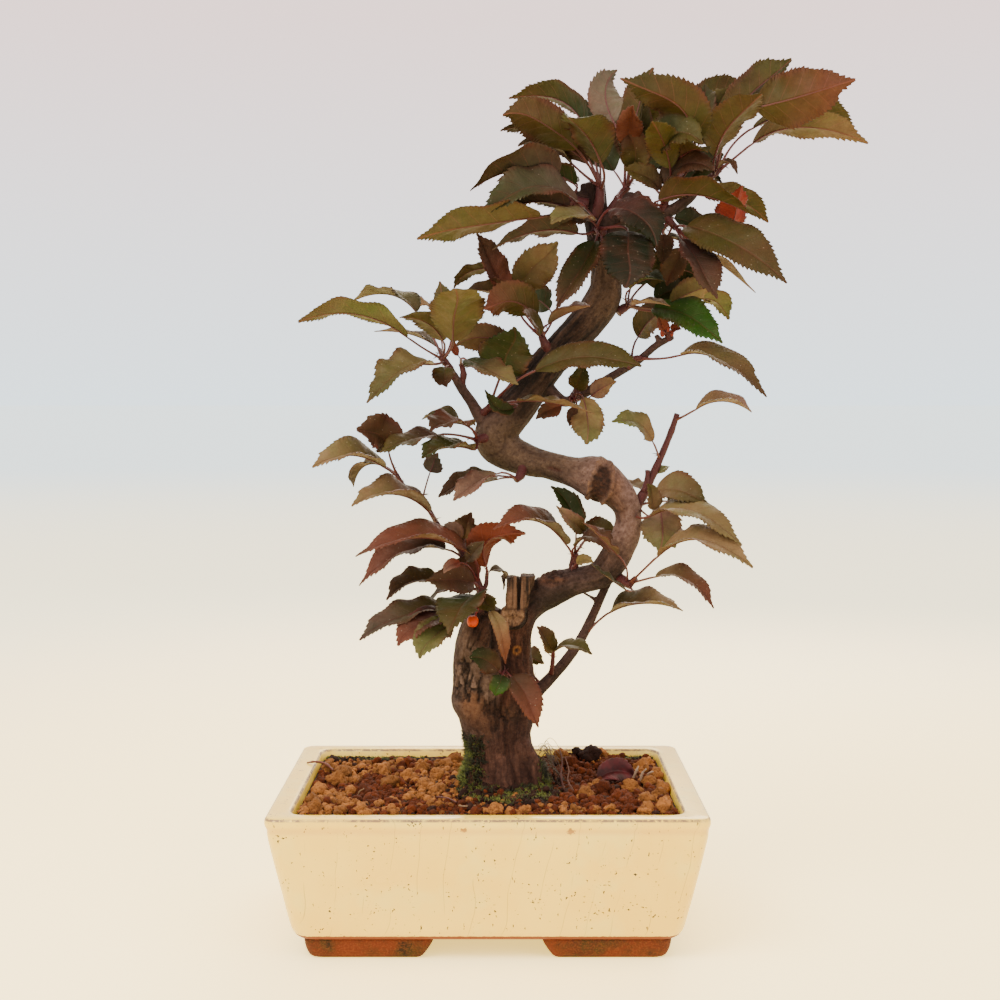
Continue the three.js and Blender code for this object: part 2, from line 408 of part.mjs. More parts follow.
    twigs: [[[7, 106, -8, 1.8], [7, 108, -11, 1.5], [7, 109.5, -12.5, 1.2]]],
    leaves: [
      [[6.5, 109, -12], [4.5, 110, -14], [-1.5, 115, -16], [-8.5, 115.7, -18], 5.5, FRONT, BROWN, GREEN],
      [[6.5, 108.5, -12], [6, 108, -14.5], [4.5, 103.5, -17], [3, 98.8, -18], 4.5, FRONT, GREEN, VIVID],
      [[7.5, 108.5, -12], [10, 107.5, -13.5], [17, 98, -17], [22, 84.5, -20], 7, FRONT_RIGHT, RUST, BROWN],
    ],
  },
  shoot_left: {
    twigs: [
      [
        [-3.5, 134, -4, 2.2], [-3.8, 141, -4, 2.0], [-4, 147, -4, 1.8],
        [-9, 158, -2, 1.5], [-14, 165.5, 0, 1.3],
        [-20.5, 172, 1, 1.2], [-28, 184, 1, 1.1], [-36, 190.5, 0, 1.0], [-40, 196.5, 0, 0.9],
      ],
      [[-3.5, 144, -4, 1.3], [-1.2, 148, -3, 1.0], [-0.7, 153, -3, 0.9]],
    ],
    leaves: [
      [[-40, 196, 0], [-43.5, 206.5, -3], [-48, 214, -7], [-57.5, 216, -11], 8, FRONT, BROWN, BROWN],
      [[-36, 190.5, 0], [-45, 199.7, -6], [-61, 205, -10], [-77, 199.5, -13], 9, UP_FRONT, OLIVE, TAN],
      [[-36, 190.5, 0], [-46, 200.5, 4], [-54.5, 200, 8], [-59, 191, 11], 6.5, UP_FRONT, OLIVE, OLIVE],
      [[-29, 185, 1], [-25.5, 197.5, 3], [-24, 201.5, 4], [-22, 206, 5], 4.5, UNDER, MAUVE, MAUVE],
      [[-23, 175.5, 1], [-26, 180.5, -5], [-41, 188, -12], [-60, 182.5, -17], 10, UP_FRONT, BROWN, TAN],
      [[-9, 158, -2], [-10.5, 168.5, -3], [-9.5, 174, -5], [-7.5, 180, -8], 6, FRONT, TAN, BROWN],
      [[-13, 163, -1], [-12, 168.5, -4], [-15, 173, -7], [-21, 172.8, -9], 3, FRONT, PINK, MAUVE],
      [[-4.5, 149, -4], [-8.5, 161.8, -9], [-31, 169, -17], [-58.5, 160.5, -23], 9.5, UP_FRONT, RUST, RUST],
      [[-14, 165, 0], [-18, 167.5, 5], [-28, 169.5, 10], [-38.5, 170.7, 14], 6, UP, RUST, BROWN],
      [[-9, 157, -2], [-18.5, 164, -3], [-37, 162.5, -6], [-57, 147.5, -9], 9.5, UP_FRONT, BROWN, RUST],
      [[-4.5, 149, -4], [-12.5, 158, -12], [-16, 157, -15], [-19.7, 153.3, -18], 2.6, FRONT, RED, PINK],
      [[-11, 162, -1], [-13, 163.5, 4], [-10, 167.5, 7], [-3, 168.3, 9], 4, FRONT, BROWN, BROWN],
      [[-0.7, 152, -3], [-1, 161, 2], [-2.5, 169.5, 4], [-7.7, 171, 6], 4, UP_FRONT, RUST, BROWN],
      [[-0.7, 152, -3], [-1, 156, -5], [0, 168, -11], [16.5, 170.7, -17], 8, UNDER_LEFT, RED, RED],
      [[-4, 149, -4], [-9.5, 158.5, -8], [-6, 163, -11], [-2, 167.3, -14], 3.4, FRONT, MAUVE, MAUVE],
      [[-3.5, 149, -4], [-6.5, 158.5, 3], [-3.5, 161, 5], [-0.5, 163, 7], 3.6, FRONT, VIVID, VIVID],
      [[-1, 150, -3], [0.5, 154.5, 1], [6.5, 153.5, 3], [6.3, 145.8, 5], 4, UP_FRONT, OLIVE, BROWN],
      [[-4, 146, -4], [-6.5, 149, -7], [-16, 150.5, -12], [-27.5, 150, -16], 6.5, FRONT, BROWN, BROWN],
      [[-4, 147, -4], [-4.8, 151.5, -3], [-9.5, 155, -3], [-16.5, 156.5, -4], 5.5, FRONT, RUST, BROWN],
      [[-4, 146, -4], [-22, 149.5, -1], [-33, 149.3, -3], [-45, 141.3, -6], 7, UP_FRONT, OLIVE, BROWN],
      [[-4, 145, -4], [-14, 148, 3], [-21, 145.5, 5], [-27.7, 140, 7], 5.5, UP_FRONT, BROWN, OLIVE],
      [[-4, 143, -5], [-6, 143.8, -9], [-12.5, 137.5, -19], [-18, 126.5, -25], 11, FRONT_LEFT, GREEN, OLIVE],
      [[-4.5, 142, -4], [-18, 138.5, -4], [-37, 134.5, -8], [-57, 123.5, -12], 8, UP_FRONT, OLIVE, MAUVE],
      [[-4.5, 142, -4], [-17, 136.5, -9], [-30, 131, -13], [-40, 121, -17], 8.5, UP_FRONT, PURPLE, RUST],
      [[-4.5, 141, -5], [-16.5, 131.5, -13], [-24, 125, -17], [-30.5, 115.3, -21],
        7.5, FRONT_LEFT, OLIVE, LIME],
      [[-4, 142, -5], [-4.2, 142.5, -8], [-1, 140, -12], [2.8, 136.5, -14], 4, FRONT, OLIVE, OLIVE],
      [[-3.5, 140, -5], [0, 136.5, -14], [4.5, 127, -18], [5.3, 111.8, -16], 5.5, FRONT_RIGHT, PINK, TAN],
    ],
  },
};

// Solids from vertices and faces, and back to meshes

function solidFrom(vertices, faces) {
  const geometry = new THREE.BufferGeometry();
  const positions = vertices.flatMap((v) => [v.x, v.y, v.z]);
  geometry.setAttribute("position", new THREE.Float32BufferAttribute(positions, 3));
  geometry.setIndex(faces.flat());
  return solidFromGeometry(geometry);
}

function solidFromGeometry(geometry) {
  const bare = geometry.clone();
  bare.deleteAttribute("normal");
  bare.deleteAttribute("uv");
  const merged = mergeVertices(bare, 1e-4);
  const vertProperties = new Float32Array(merged.attributes.position.array);
  const triVerts = new Uint32Array(merged.index.array);
  return new wasm.Manifold(new wasm.Mesh({ numProp: 3, vertProperties, triVerts }));
}

function union(solids) {
  return wasm.Manifold.union(solids);
}

function largestBody(solid) {
  const bodies = solid.decompose();
  return bodies.reduce((best, body) => (body.volume() > best.volume() ? body : best));
}

function meshOf(name, solid, material) {
  const { vertProperties, triVerts, numProp } = solid.getMesh();
  const positions = new Float32Array((vertProperties.length / numProp) * 3);
  for (let i = 0; i < positions.length / 3; i += 1) {
    positions.set(vertProperties.subarray(i * numProp, i * numProp + 3), i * 3);
  }
  const geometry = new THREE.BufferGeometry();
  geometry.setAttribute("position", new THREE.BufferAttribute(positions, 3));
  geometry.setIndex(new THREE.BufferAttribute(triVerts, 1));
  geometry.computeVertexNormals();
  const mesh = new THREE.Mesh(geometry, material);
  mesh.name = name;
  return mesh;
}

// A body through rings of equally many points, closed by a flat face at each end.
// Each ring turns anticlockwise when looked at from the end that the rings run towards.
function loft(rings) {
  const count = rings[0].length;
  const last = (rings.length - 1) * count;
  const faces = [];
  for (let level = 0; level < rings.length - 1; level += 1) {
    for (let i = 0; i < count; i += 1) {
      const a = level * count + i;
      const b = level * count + ((i + 1) % count);
      faces.push([a, b, b + count], [a, b + count, a + count]);
    }
  }
  for (let i = 1; i < count - 1; i += 1) {
    faces.push([0, i + 1, i], [last, last + i, last + i + 1]);
  }
  return solidFrom(rings.flat(), faces);
}

// A round limb through stations of a place and a radius. Its section never twists about the limb.
function limb(stations, sides, grow = 0) {
  let across = new THREE.Vector3(0, 1, 0);
  const rings = stations.map(({ place, radius }, i) => {
    const ahead = stations[Math.min(i + 1, stations.length - 1)].place;
    const behind = stations[Math.max(i - 1, 0)].place;
    const along = ahead.clone().sub(behind).normalize();
    across = across.clone().addScaledVector(along, -across.dot(along)).normalize();
    const other = along.clone().cross(across);
    const ring = [];
    for (let k = 0; k < sides; k += 1) {
      const turn = (2 * Math.PI * k) / sides;
      const point = place.clone();
      point.addScaledVector(across, (radius + grow) * Math.cos(turn));
      point.addScaledVector(other, (radius + grow) * Math.sin(turn));
      ring.push(point);
    }
    return ring;
  });
  return loft(rings);
}

function stationsFrom(rows) {
  return rows.map(([x, z, depth, radius]) => ({ place: seen(x, z, depth), radius }));
}

// A rounded rectangle at one height, anticlockwise from above. Straight sides can be split for relief.
function roundedRectangle(halfX, halfY, corner, z, { arcSteps = 3, splitX = 1, splitY = 1 } = {}) {
  const points = [];
  const corners = [[1, 1, 0], [-1, 1, 1], [-1, -1, 2], [1, -1, 3]];
  corners.forEach(([signX, signY, quarter], index) => {
    for (let i = 0; i <= arcSteps; i += 1) {
      const turn = (Math.PI / 2) * (quarter + i / arcSteps);
      const x = signX * (halfX - corner) + corner * Math.cos(turn);
      const y = signY * (halfY - corner) + corner * Math.sin(turn);
      points.push(new THREE.Vector3(x, y, z));
    }
    const split = index % 2 === 0 ? splitX : splitY;
    const from = points[points.length - 1];
    const nextSigns = corners[(index + 1) % 4];
    const toX = nextSigns[0] * (halfX - corner) + corner * Math.cos((Math.PI / 2) * (quarter + 1));
    const toY = nextSigns[1] * (halfY - corner) + corner * Math.sin((Math.PI / 2) * (quarter + 1));
    const to = new THREE.Vector3(toX, toY, z);
    for (let i = 1; i < split; i += 1) {
      points.push(from.clone().lerp(to, i / split));
    }
  });
  return points;
}

function ellipseRing(x, y, halfX, halfY, z, sides) {
  const ring = [];
  for (let k = 0; k < sides; k += 1) {
    const turn = (2 * Math.PI * k) / sides;
    ring.push(new THREE.Vector3(x + halfX * Math.cos(turn), y + halfY * Math.sin(turn), z));
  }
  return ring;
}

function box(x0, x1, y0, y1, z0, z1) {
  const geometry = new THREE.BoxGeometry(x1 - x0, y1 - y0, z1 - z0);
  geometry.translate((x0 + x1) / 2, (y0 + y1) / 2, (z0 + z1) / 2);
  return solidFromGeometry(geometry);
}

// Pot: a tapered rectangular body with a level lip, four angle feet and two drain holes

function potOuter(z) {
  const lipZ = POT_HEIGHT - LIP_HEIGHT;
  const below = THREE.MathUtils.clamp((lipZ - z) / (lipZ - FOOT_HEIGHT), 0, 1);
  return { halfX: POT_LENGTH / 2 - WALL_TAPER.x * below, halfY: POT_DEPTH / 2 - WALL_TAPER.y * below };
}

function potInner(z) {
  const down = (POT_HEIGHT - z) / (POT_HEIGHT - CAVITY_FLOOR);
  return {
    halfX: POT_LENGTH / 2 - RIM_WIDTH - INNER_TAPER * down,
    halfY: POT_DEPTH / 2 - RIM_DEPTH - INNER_TAPER * down,
  };
}

function potBody() {
  const outerLevels = [
    [FOOT_HEIGHT, -BASE_CHAMFER.width],
    [FOOT_HEIGHT + BASE_CHAMFER.height, 0],
    [POT_HEIGHT - LIP_HEIGHT, 0],
    [POT_HEIGHT - LIP_ROUND, 0],
    [POT_HEIGHT, -LIP_ROUND],
  ];
  const outer = loft(
    outerLevels.map(([z, grow]) => {
      const { halfX, halfY } = potOuter(z);
      return roundedRectangle(halfX + grow, halfY + grow, POT_CORNER, z);
    }),
  );
  const cavityLevels = [CAVITY_FLOOR, POT_HEIGHT - LIP_ROUND, POT_HEIGHT, POT_HEIGHT + 1];
  const cavity = loft(
    cavityLevels.map((z) => {
      const { halfX, halfY } = potInner(z);
      const flare = z > POT_HEIGHT - LIP_ROUND ? LIP_ROUND : 0;
      return roundedRectangle(halfX + flare, halfY + flare, INNER_CORNER, z);
    }),
  );
  return outer.subtract(cavity);
}

// One arm of an angle foot: its outer face hangs straight and its inner end curves in towards the ground.
function footArm(length) {
  const levels = [
    [0, 1],
    [FOOT_HEIGHT * FOOT_TUCK.midHeight, FOOT_TUCK.midShare],
    [FOOT_HEIGHT + FOOT_SINK, 0],
  ];
  return loft(
    levels.map(([z, share]) => {
      const face = FOOT_TUCK.face * share;
      const end = length - FOOT_TUCK.end * share;
      return [
        new THREE.Vector3(face, face, z),
        new THREE.Vector3(end, face, z),
        new THREE.Vector3(end, FOOT_WIDTH, z),
        new THREE.Vector3(face, FOOT_WIDTH, z),
      ];
    }),
  );
}

function foot(signX, signY) {
  const frontArm = footArm(FOOT_FRONT_LENGTH);
  const sideArm = footArm(FOOT_SIDE_LENGTH).mirror([1, -1, 0]);
  const corner = frontArm.add(sideArm).translate([-FOOT_CORNER.x, -FOOT_CORNER.y, 0]);
  const placedX = signX < 0 ? corner : corner.mirror([1, 0, 0]);
  return signY < 0 ? placedX : placedX.mirror([0, 1, 0]);
}

function drain([x, y], radius, z0, z1) {
  return loft([z0, z1].map((z) => ellipseRing(x, y, radius, radius, z, DRAIN_SIDES)));
}

function pot() {
  const feet = [[-1, -1], [1, -1], [-1, 1], [1, 1]].map(([sx, sy]) => foot(sx, sy));
  const holes = DRAIN_PLACES.map((place) => drain(place, DRAIN_RADIUS, 0, CAVITY_FLOOR + 1));
  return union([potBody(), ...feet]).subtract(union(holes));
}

// Drain nets: a square of plastic mesh over each drain hole, under the soil

function drainNet([x, y]) {
  const z0 = CAVITY_FLOOR;
  const plate = box(x - NET.half, x + NET.half, y - NET.half, y + NET.half, z0, z0 + NET.thickness);
  const cuts = [];
  for (let i = 0; i < NET.holes; i += 1) {
    for (let j = 0; j < NET.holes; j += 1) {
      const left = x + (i - NET.holes / 2 + 0.5) * NET.pitch - NET.opening / 2;
      const front = y + (j - NET.holes / 2 + 0.5) * NET.pitch - NET.opening / 2;
      cuts.push(box(left, left + NET.opening, front, front + NET.opening, z0 - 1, z0 + NET.thickness + 1));
    }
  }
  return plate.subtract(union(cuts));
}

// Soil: fills the pot, with a grainy top that rises to the trunk and stands in a heap at the right rear

function randomFrom(seed) {
  let state = seed;
  return () => {
    state = (state * 16807) % 2147483647;
    return state / 2147483647;
  };
}

function bump({ x, y, height, reachX, reachY }, atX, atY) {
  return height * Math.exp(-(((atX - x) / reachX) ** 2) - ((atY - y) / reachY) ** 2);
}

function soilHeight(x, y) {
  const front = FRONT_RISE.height * THREE.MathUtils.smoothstep(-y, FRONT_RISE.from, FRONT_RISE.to);
  return SOIL_EDGE + bump(MOUND, x, y) + bump(HEAP, x, y) + front;
}

function soil() {
  const outline = { arcSteps: 2, splitX: 8, splitY: 5 };
  const random = randomFrom(SOIL_SEED);
  const bottomZ = CAVITY_FLOOR + GAP;
  const [bottom, top] = [bottomZ, SOIL_EDGE].map((z) => {
    const { halfX, halfY } = potInner(z);
    return roundedRectangle(halfX - GAP, halfY - GAP, INNER_CORNER, z, outline);
  });
  const rings = [bottom];
  for (let r = 0; r < SOIL_RINGS; r += 1) {
    const reach = 1 - r / SOIL_RINGS;
    rings.push(
      top.map((edge) => {
        const x = edge.x * reach;
        const y = edge.y * reach;
        const grain = (random() - 0.5) * 2 * SOIL_RELIEF;
        const height = r === 0 ? SOIL_EDGE : soilHeight(x, y) + grain;
        return new THREE.Vector3(x, y, height);
      }),
    );
  }
  const block = loft(rings);
  const { x, y } = TRUNK_PLACE;
  const { halfX, halfY, bottom: rootZ } = ROOT_STOCK;
  const hole = loft([
    ellipseRing(x, y, halfX + GAP, halfY + GAP, rootZ - GAP, ROOT_STOCK.sides),
    ellipseRing(x, y, halfX + GAP, halfY + GAP, POT_HEIGHT + MOUND.height + 2, ROOT_STOCK.sides),
  ]);
  const netPockets = DRAIN_PLACES.map(([nx, ny]) =>
    box(
      nx - NET.half - GAP,
      nx + NET.half + GAP,
      ny - NET.half - GAP,
      ny + NET.half + GAP,
      CAVITY_FLOOR - 1,
      CAVITY_FLOOR + NET.thickness + GAP,
    ),
  );
  return block.subtract(union([hole, ...netPockets]));
}

// Old wood: the trunk, its branches, the stump and the scars

function oldWoodSolids(grow) {
  return Object.entries(OLD_WOOD).map(([name, rows]) => {
    const sides = THICK_WOOD.includes(name) ? THICK_SIDES : THIN_SIDES;
    return limb(stationsFrom(rows), sides, grow);
  });
}

function stump(grow) {
  const rows = [
    [STUMP.x - 1, STUMP.foot, STUMP.depth + 2, STUMP.radius + 0.6],
    [STUMP.x - 0.4, STUMP.foot + 6, STUMP.depth, STUMP.radius],
    [STUMP.x, STUMP.top, STUMP.depth, STUMP.topRadius],
  ];
  return limb(stationsFrom(rows), STUMP.sides, grow);
}

function disc({ x, z, depth, radius }, thickness, lean) {
  const geometry = new THREE.CylinderGeometry(radius, radius * 1.15, thickness, 10);
  geometry.rotateX(Math.PI / 2 - lean);
  const place = seen(x, z, depth);
  geometry.translate(place.x, place.y, place.z);
  return solidFromGeometry(geometry);
}

function hollowScar() {
  const geometry = new THREE.SphereGeometry(1, 9, 6);
  geometry.scale(HOLLOW_SCAR.halfX, HOLLOW_SCAR.halfDepth, HOLLOW_SCAR.halfZ);
  geometry.rotateY(HOLLOW_SCAR.lean);
  const place = seen(HOLLOW_SCAR.x, HOLLOW_SCAR.z, HOLLOW_SCAR.depth);
  geometry.translate(place.x, place.y, place.z);
  return solidFromGeometry(geometry);
}

function rootStock() {
  const { x, y } = TRUNK_PLACE;
  const { halfX, halfY, bottom, top, sides } = ROOT_STOCK;
  return loft([
    ellipseRing(x, y, halfX * ROOT_HEEL.share, halfY * ROOT_HEEL.share, bottom, sides),
    ellipseRing(x, y, halfX, halfY, bottom + ROOT_HEEL.height, sides),
    ellipseRing(x, y, halfX, halfY, top - ROOT_SHOULDER.height, sides),
    ellipseRing(x, y, halfX - ROOT_SHOULDER.x, halfY - ROOT_SHOULDER.y, top, sides),
  ]);
}

function trunk() {
  const crackPlace = seen(STUMP_CRACK.x, STUMP.top, STUMP.depth - STUMP.topRadius);
  const crack = box(
    crackPlace.x - STUMP_CRACK.width / 2,
    crackPlace.x + STUMP_CRACK.width / 2,
    crackPlace.y - 1,
    crackPlace.y + STUMP_CRACK.depth,
    STUMP.foot + 3,
    STUMP.top + 3,
  );
  const wood = union([
    rootStock(),
    ...oldWoodSolids(0),
    stump(0).subtract(crack),
    disc(SAW_CUT, SAW_CUT.thickness, SAW_CUT.lean),
    disc(KNOT, KNOT.height, 0),
  ]);
  return wood.subtract(hollowScar());
}

// Leaves. Each is a folded blade on a thin stalk, with saw teeth along both edges.

function bladeWidth(u, halfWidth) {
  const { towardsBase, towardsTip } = BLADE_ROUNDNESS;
  const widest = towardsBase / (towardsBase + towardsTip);
  const peak = widest ** towardsBase * (1 - widest) ** towardsTip;
  return (halfWidth * u ** towardsBase * (1 - u) ** towardsTip) / peak;
}

// The midrib's place and the blade's own directions at u, from 0 at the base to 1 at the tip.
function ribAt(u, [base, mid, tip], face) {
  const control = mid.clone().multiplyScalar(2).addScaledVector(base, -0.5).addScaledVector(tip, -0.5);
  const place = base.clone().multiplyScalar((1 - u) ** 2);
  place.addScaledVector(control, 2 * u * (1 - u)).addScaledVector(tip, u * u);
  const along = control.clone().sub(base).multiplyScalar(1 - u);
  along.addScaledVector(tip.clone().sub(control), u).normalize();
  const side = face.clone().cross(along).normalize();
  const up = along.clone().cross(side).normalize();
  return { place, along, side, up };
}

// Where the edge turns: a tooth's point, then the notch behind the next tooth.
function toothStations(teeth) {
  const stations = [];
  for (let i = 0; i < teeth; i += 1) {
    stations.push({ u: (i + TOOTH_POINT) / (teeth + BARE_TIP), notch: false });
    if (i < teeth - 1) {
      stations.push({ u: (i + TOOTH_NOTCH) / (teeth + BARE_TIP), notch: true });
    }
  }
  return stations;
}

// The stalk's line: it leaves the twig freely and runs into the midrib's own direction.
function stalkStations(start, rib, face) {
  const joint = ribAt(0, rib, face);
  const reach = start.distanceTo(joint.place);
  const bend = joint.place.clone().addScaledVector(joint.along, -STALK_BEND * reach);
  const line = new THREE.QuadraticBezierCurve3(start, bend, joint.place);
  const steps = reach > LONG_STALK ? 3 : 2;
  const stations = [];
  for (let i = 0; i < steps; i += 1) {
    const along = line.getTangent(i / steps);
    const side = joint.side.clone().addScaledVector(along, -along.dot(joint.side)).normalize();
    stations.push({ place: line.getPoint(i / steps), side, up: along.clone().cross(side) });
  }
  return stations;
}

// One closed body: the stalk is a slim bar that opens into the toothed, folded blade.
function leafSolid(rib, face, halfWidth, start = null) {
  const teeth = halfWidth >= LARGE_BLADE ? 3 : halfWidth >= SMALL_BLADE ? 2 : 1;
  const ribStations = halfWidth >= LARGE_BLADE ? [0, 0.33, 0.67, 1] : [0, 0.5, 1];
  const edge = [{ u: 0 }, ...toothStations(teeth)];
  const flat = [];
  const put = (place, up) => flat.push({ place, up }) - 1;
  const ribIndex = ribStations.map((u) => {
    const { place, up } = ribAt(u, rib, face);
    return put(place, up);
  });
  const edgeU = [...edge.map((e) => e.u), 1];
  const [leftChain, rightChain] = [1, -1].map((sign) => {
    const chain = edge.map(({ u, notch }) => {
      const { place, side, up } = ribAt(u, rib, face);
      const width = Math.max(bladeWidth(u, halfWidth) * (notch ? NOTCH_DEPTH : 1), STALK_RADIUS);
      place.addScaledVector(side, sign * width * Math.cos(BLADE_FOLD));
      place.addScaledVector(up, u > 0 ? width * Math.sin(BLADE_FOLD) : 0);
      return put(place, up);
    });
    return [...chain, ribIndex[ribIndex.length - 1]];
  });
  const upper = [
    ...strip(ribStations, ribIndex, edgeU, leftChain),
    ...strip(ribStations, ribIndex, edgeU, rightChain).map(([a, b, c]) => [a, c, b]),
  ];
  const leftStalk = [];
  const rightStalk = [];
  for (const { place, side, up } of start ? stalkStations(start, rib, face) : []) {
    leftStalk.push(put(place.clone().addScaledVector(side, STALK_RADIUS), up));
    rightStalk.push(put(place.clone().addScaledVector(side, -STALK_RADIUS), up));
  }
  for (let i = 0; i < leftStalk.length - 1; i += 1) {
    upper.push([leftStalk[i], rightStalk[i], rightStalk[i + 1]]);
    upper.push([leftStalk[i], rightStalk[i + 1], leftStalk[i + 1]]);
  }
  if (start) {
    const left = leftStalk[leftStalk.length - 1];
    const right = rightStalk[rightStalk.length - 1];
    upper.push([left, ribIndex[0], leftChain[0]]);
    upper.push([left, right, ribIndex[0]]);
    upper.push([right, rightChain[0], ribIndex[0]]);
  }
  const rim = [...rightStalk, ...rightChain, ...leftChain.slice(0, -1).reverse(), ...leftStalk.reverse()];
  if (!start) {
    rim.push(ribIndex[0]);
  }
  const count = flat.length;
  const vertices = [];
  for (const way of [0.5, -0.5]) {
    for (const { place, up } of flat) {
      vertices.push(place.clone().addScaledVector(up, way * BLADE_THICKNESS));
    }
  }
  const faces = [...upper, ...upper.map(([a, b, c]) => [a + count, c + count, b + count])];
  rim.forEach((a, i) => {
    const b = rim[(i + 1) % rim.length];
    faces.push([a, a + count, b + count], [a, b + count, b]);
  });
  return solidFrom(vertices, faces);
}

// Triangles between the midrib's points and one edge's points, which share their first and last point.
function strip(ribU, ribIndex, edgeU, edgeIndex) {
  const faces = [];
  let r = 0;
  let e = 0;
  while (r < ribIndex.length - 1 || e < edgeIndex.length - 1) {
    const ribNext = r < ribIndex.length - 1 ? ribU[r + 1] : Infinity;
    const edgeNext = e < edgeIndex.length - 1 ? edgeU[e + 1] : Infinity;
    if (edgeNext <= ribNext) {
      faces.push([ribIndex[r], edgeIndex[e + 1], edgeIndex[e]]);
      e += 1;
    } else {
      faces.push([ribIndex[r], ribIndex[r + 1], edgeIndex[e]]);
      r += 1;
    }
  }
  return faces.filter(([a, b, c]) => a !== b && b !== c && a !== c);
}

// The place on the twigs that is nearest to where a stalk was seen to start.
function onTwigs(start, twigs) {
  let nearest = start;
  let least = Infinity;
  for (const rows of twigs) {
    const places = rows.map(([x, z, depth]) => seen(x, z, depth));
    for (let i = 0; i < places.length - 1; i += 1) {
      const span = new THREE.Line3(places[i], places[i + 1]);
      const point = span.closestPointToPoint(start, true, new THREE.Vector3());
      if (point.distanceTo(start) < least) {
        least = point.distanceTo(start);
        nearest = point;
      }
    }
  }
  return nearest;
}

function leaf([start, base, mid, tip, halfWidth, face], twigs) {
  const rib = [base, mid, tip].map(([x, z, depth]) => seen(x, z, depth * LEAF_REACH));
  return leafSolid(rib, face, halfWidth, onTwigs(seen(...start), twigs));
}

function spray({ twigs, leaves, buds = [] }, clearOfWood) {
  const pieces = [
    ...twigs.map((rows) => limb(stationsFrom(rows), THIN_SIDES)),
    ...leaves.map((row) => leaf(row, twigs)),
    ...buds.map(bud),
  ];
  return largestBody(union(pieces).subtract(clearOfWood));
}

function bud([x, z, depth, radius]) {
  const geometry = new THREE.OctahedronGeometry(radius, 0);
  geometry.scale(0.8, 0.8, 1.4);
  const place = seen(x, z, depth);
  geometry.translate(place.x, place.y, place.z);
  return solidFromGeometry(geometry);
}

// Colours of the leaves near the base and near the tip, as the photographed tree shows them
function averageColour(leaves) {
  const sum = new THREE.Color(0, 0, 0);
  for (const row of leaves) {
    sum.add(new THREE.Color(row[6])).add(new THREE.Color(row[7]));
  }
  return sum.multiplyScalar(1 / (2 * leaves.length));
}

// Small orange fruit on its stalk at the top of the trunk's left bulge
function fruit(clearOfWood) {
  const place = seen(FRUIT.x, FRUIT.z, FRUIT.depth);
  const ball = new THREE.IcosahedronGeometry(FRUIT.radius, 1);
  ball.translate(place.x, place.y, place.z);
  const stem = limb(stationsFrom(FRUIT_STALK), THIN_SIDES);
  return largestBody(union([solidFromGeometry(ball), stem]).subtract(clearOfWood));
}

// Curled dry leaf that lies on the soil at the right
function fallenLeaf() {
  const rib = [FALLEN.base, FALLEN.mid, FALLEN.tip].map((p) => new THREE.Vector3(...p));
  return leafSolid(rib, new THREE.Vector3(0, -0.4, 1), FALLEN.halfWidth);
}

// The whole plant in its pot

const glaze = new THREE.MeshStandardMaterial({ color: 0xe6dcc4, roughness: 0.22, metalness: 0 });
const netPlastic = new THREE.MeshStandardMaterial({ color: 0x2c2f2b, roughness: 0.6, metalness: 0 });
const earth = new THREE.MeshStandardMaterial({ color: 0x6e4a33, roughness: 1, metalness: 0 });
const bark = new THREE.MeshStandardMaterial({ color: 0x5b463b, roughness: 0.9, metalness: 0 });
const dryLeaf = new THREE.MeshStandardMaterial({ color: 0x4a2b2c, roughness: 0.7, metalness: 0 });
const orange = new THREE.MeshStandardMaterial({ color: 0xc8481a, roughness: 0.4, metalness: 0 });

const clearOfWood = union([...oldWoodSolids(WOOD_CLEARANCE), stump(GAP)]);

const bonsai = new THREE.Group();
bonsai.add(meshOf("pot", pot(), glaze));
DRAIN_PLACES.forEach((place, i) => {
  bonsai.add(meshOf("drain_net_" + (i + 1), drainNet(place), netPlastic));
});
bonsai.add(meshOf("soil", soil(), earth));
bonsai.add(meshOf("trunk", trunk(), bark));
for (const [name, plan] of Object.entries(SPRAYS)) {
  const foliage = new THREE.MeshStandardMaterial({ color: averageColour(plan.leaves), roughness: 0.55 });
  bonsai.add(meshOf(name, spray(plan, clearOfWood), foliage));
}
bonsai.add(meshOf("fruit", fruit(clearOfWood), orange));
bonsai.add(meshOf("fallen_leaf", fallenLeaf(), dryLeaf));

// The frame's origin is on the ground under the middle of the whole object.
const bounds = new THREE.Box3().setFromObject(bonsai, true);
const middle = bounds.getCenter(new THREE.Vector3());
bonsai.position.set(-middle.x, -middle.y, -bounds.min.z);

export default bonsai;
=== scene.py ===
"""Apple bonsai in its cream glazed pot: the looks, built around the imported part.

Shapes are worked out in millimetres in the pot's frame (origin on the ground under the pot's middle,
X to the right, Y away from the front, Z up) and go to metres in the part's frame when a piece is made.
"""

from math import radians

import bmesh
import bpy
import numpy as np
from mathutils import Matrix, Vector


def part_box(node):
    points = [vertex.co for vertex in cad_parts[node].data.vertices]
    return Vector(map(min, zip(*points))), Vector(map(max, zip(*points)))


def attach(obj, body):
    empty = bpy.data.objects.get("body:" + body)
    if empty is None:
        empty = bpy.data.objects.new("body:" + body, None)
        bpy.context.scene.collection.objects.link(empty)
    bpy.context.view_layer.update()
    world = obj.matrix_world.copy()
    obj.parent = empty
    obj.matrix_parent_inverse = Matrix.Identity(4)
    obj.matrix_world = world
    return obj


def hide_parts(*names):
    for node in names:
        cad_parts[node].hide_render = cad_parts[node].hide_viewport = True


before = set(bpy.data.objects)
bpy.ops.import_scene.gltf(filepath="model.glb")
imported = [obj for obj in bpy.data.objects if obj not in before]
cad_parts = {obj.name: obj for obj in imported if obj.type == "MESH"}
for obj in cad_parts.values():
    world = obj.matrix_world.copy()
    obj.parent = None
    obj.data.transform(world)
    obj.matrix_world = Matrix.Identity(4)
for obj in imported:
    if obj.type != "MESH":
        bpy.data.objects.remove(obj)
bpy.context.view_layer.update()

MM = 0.001
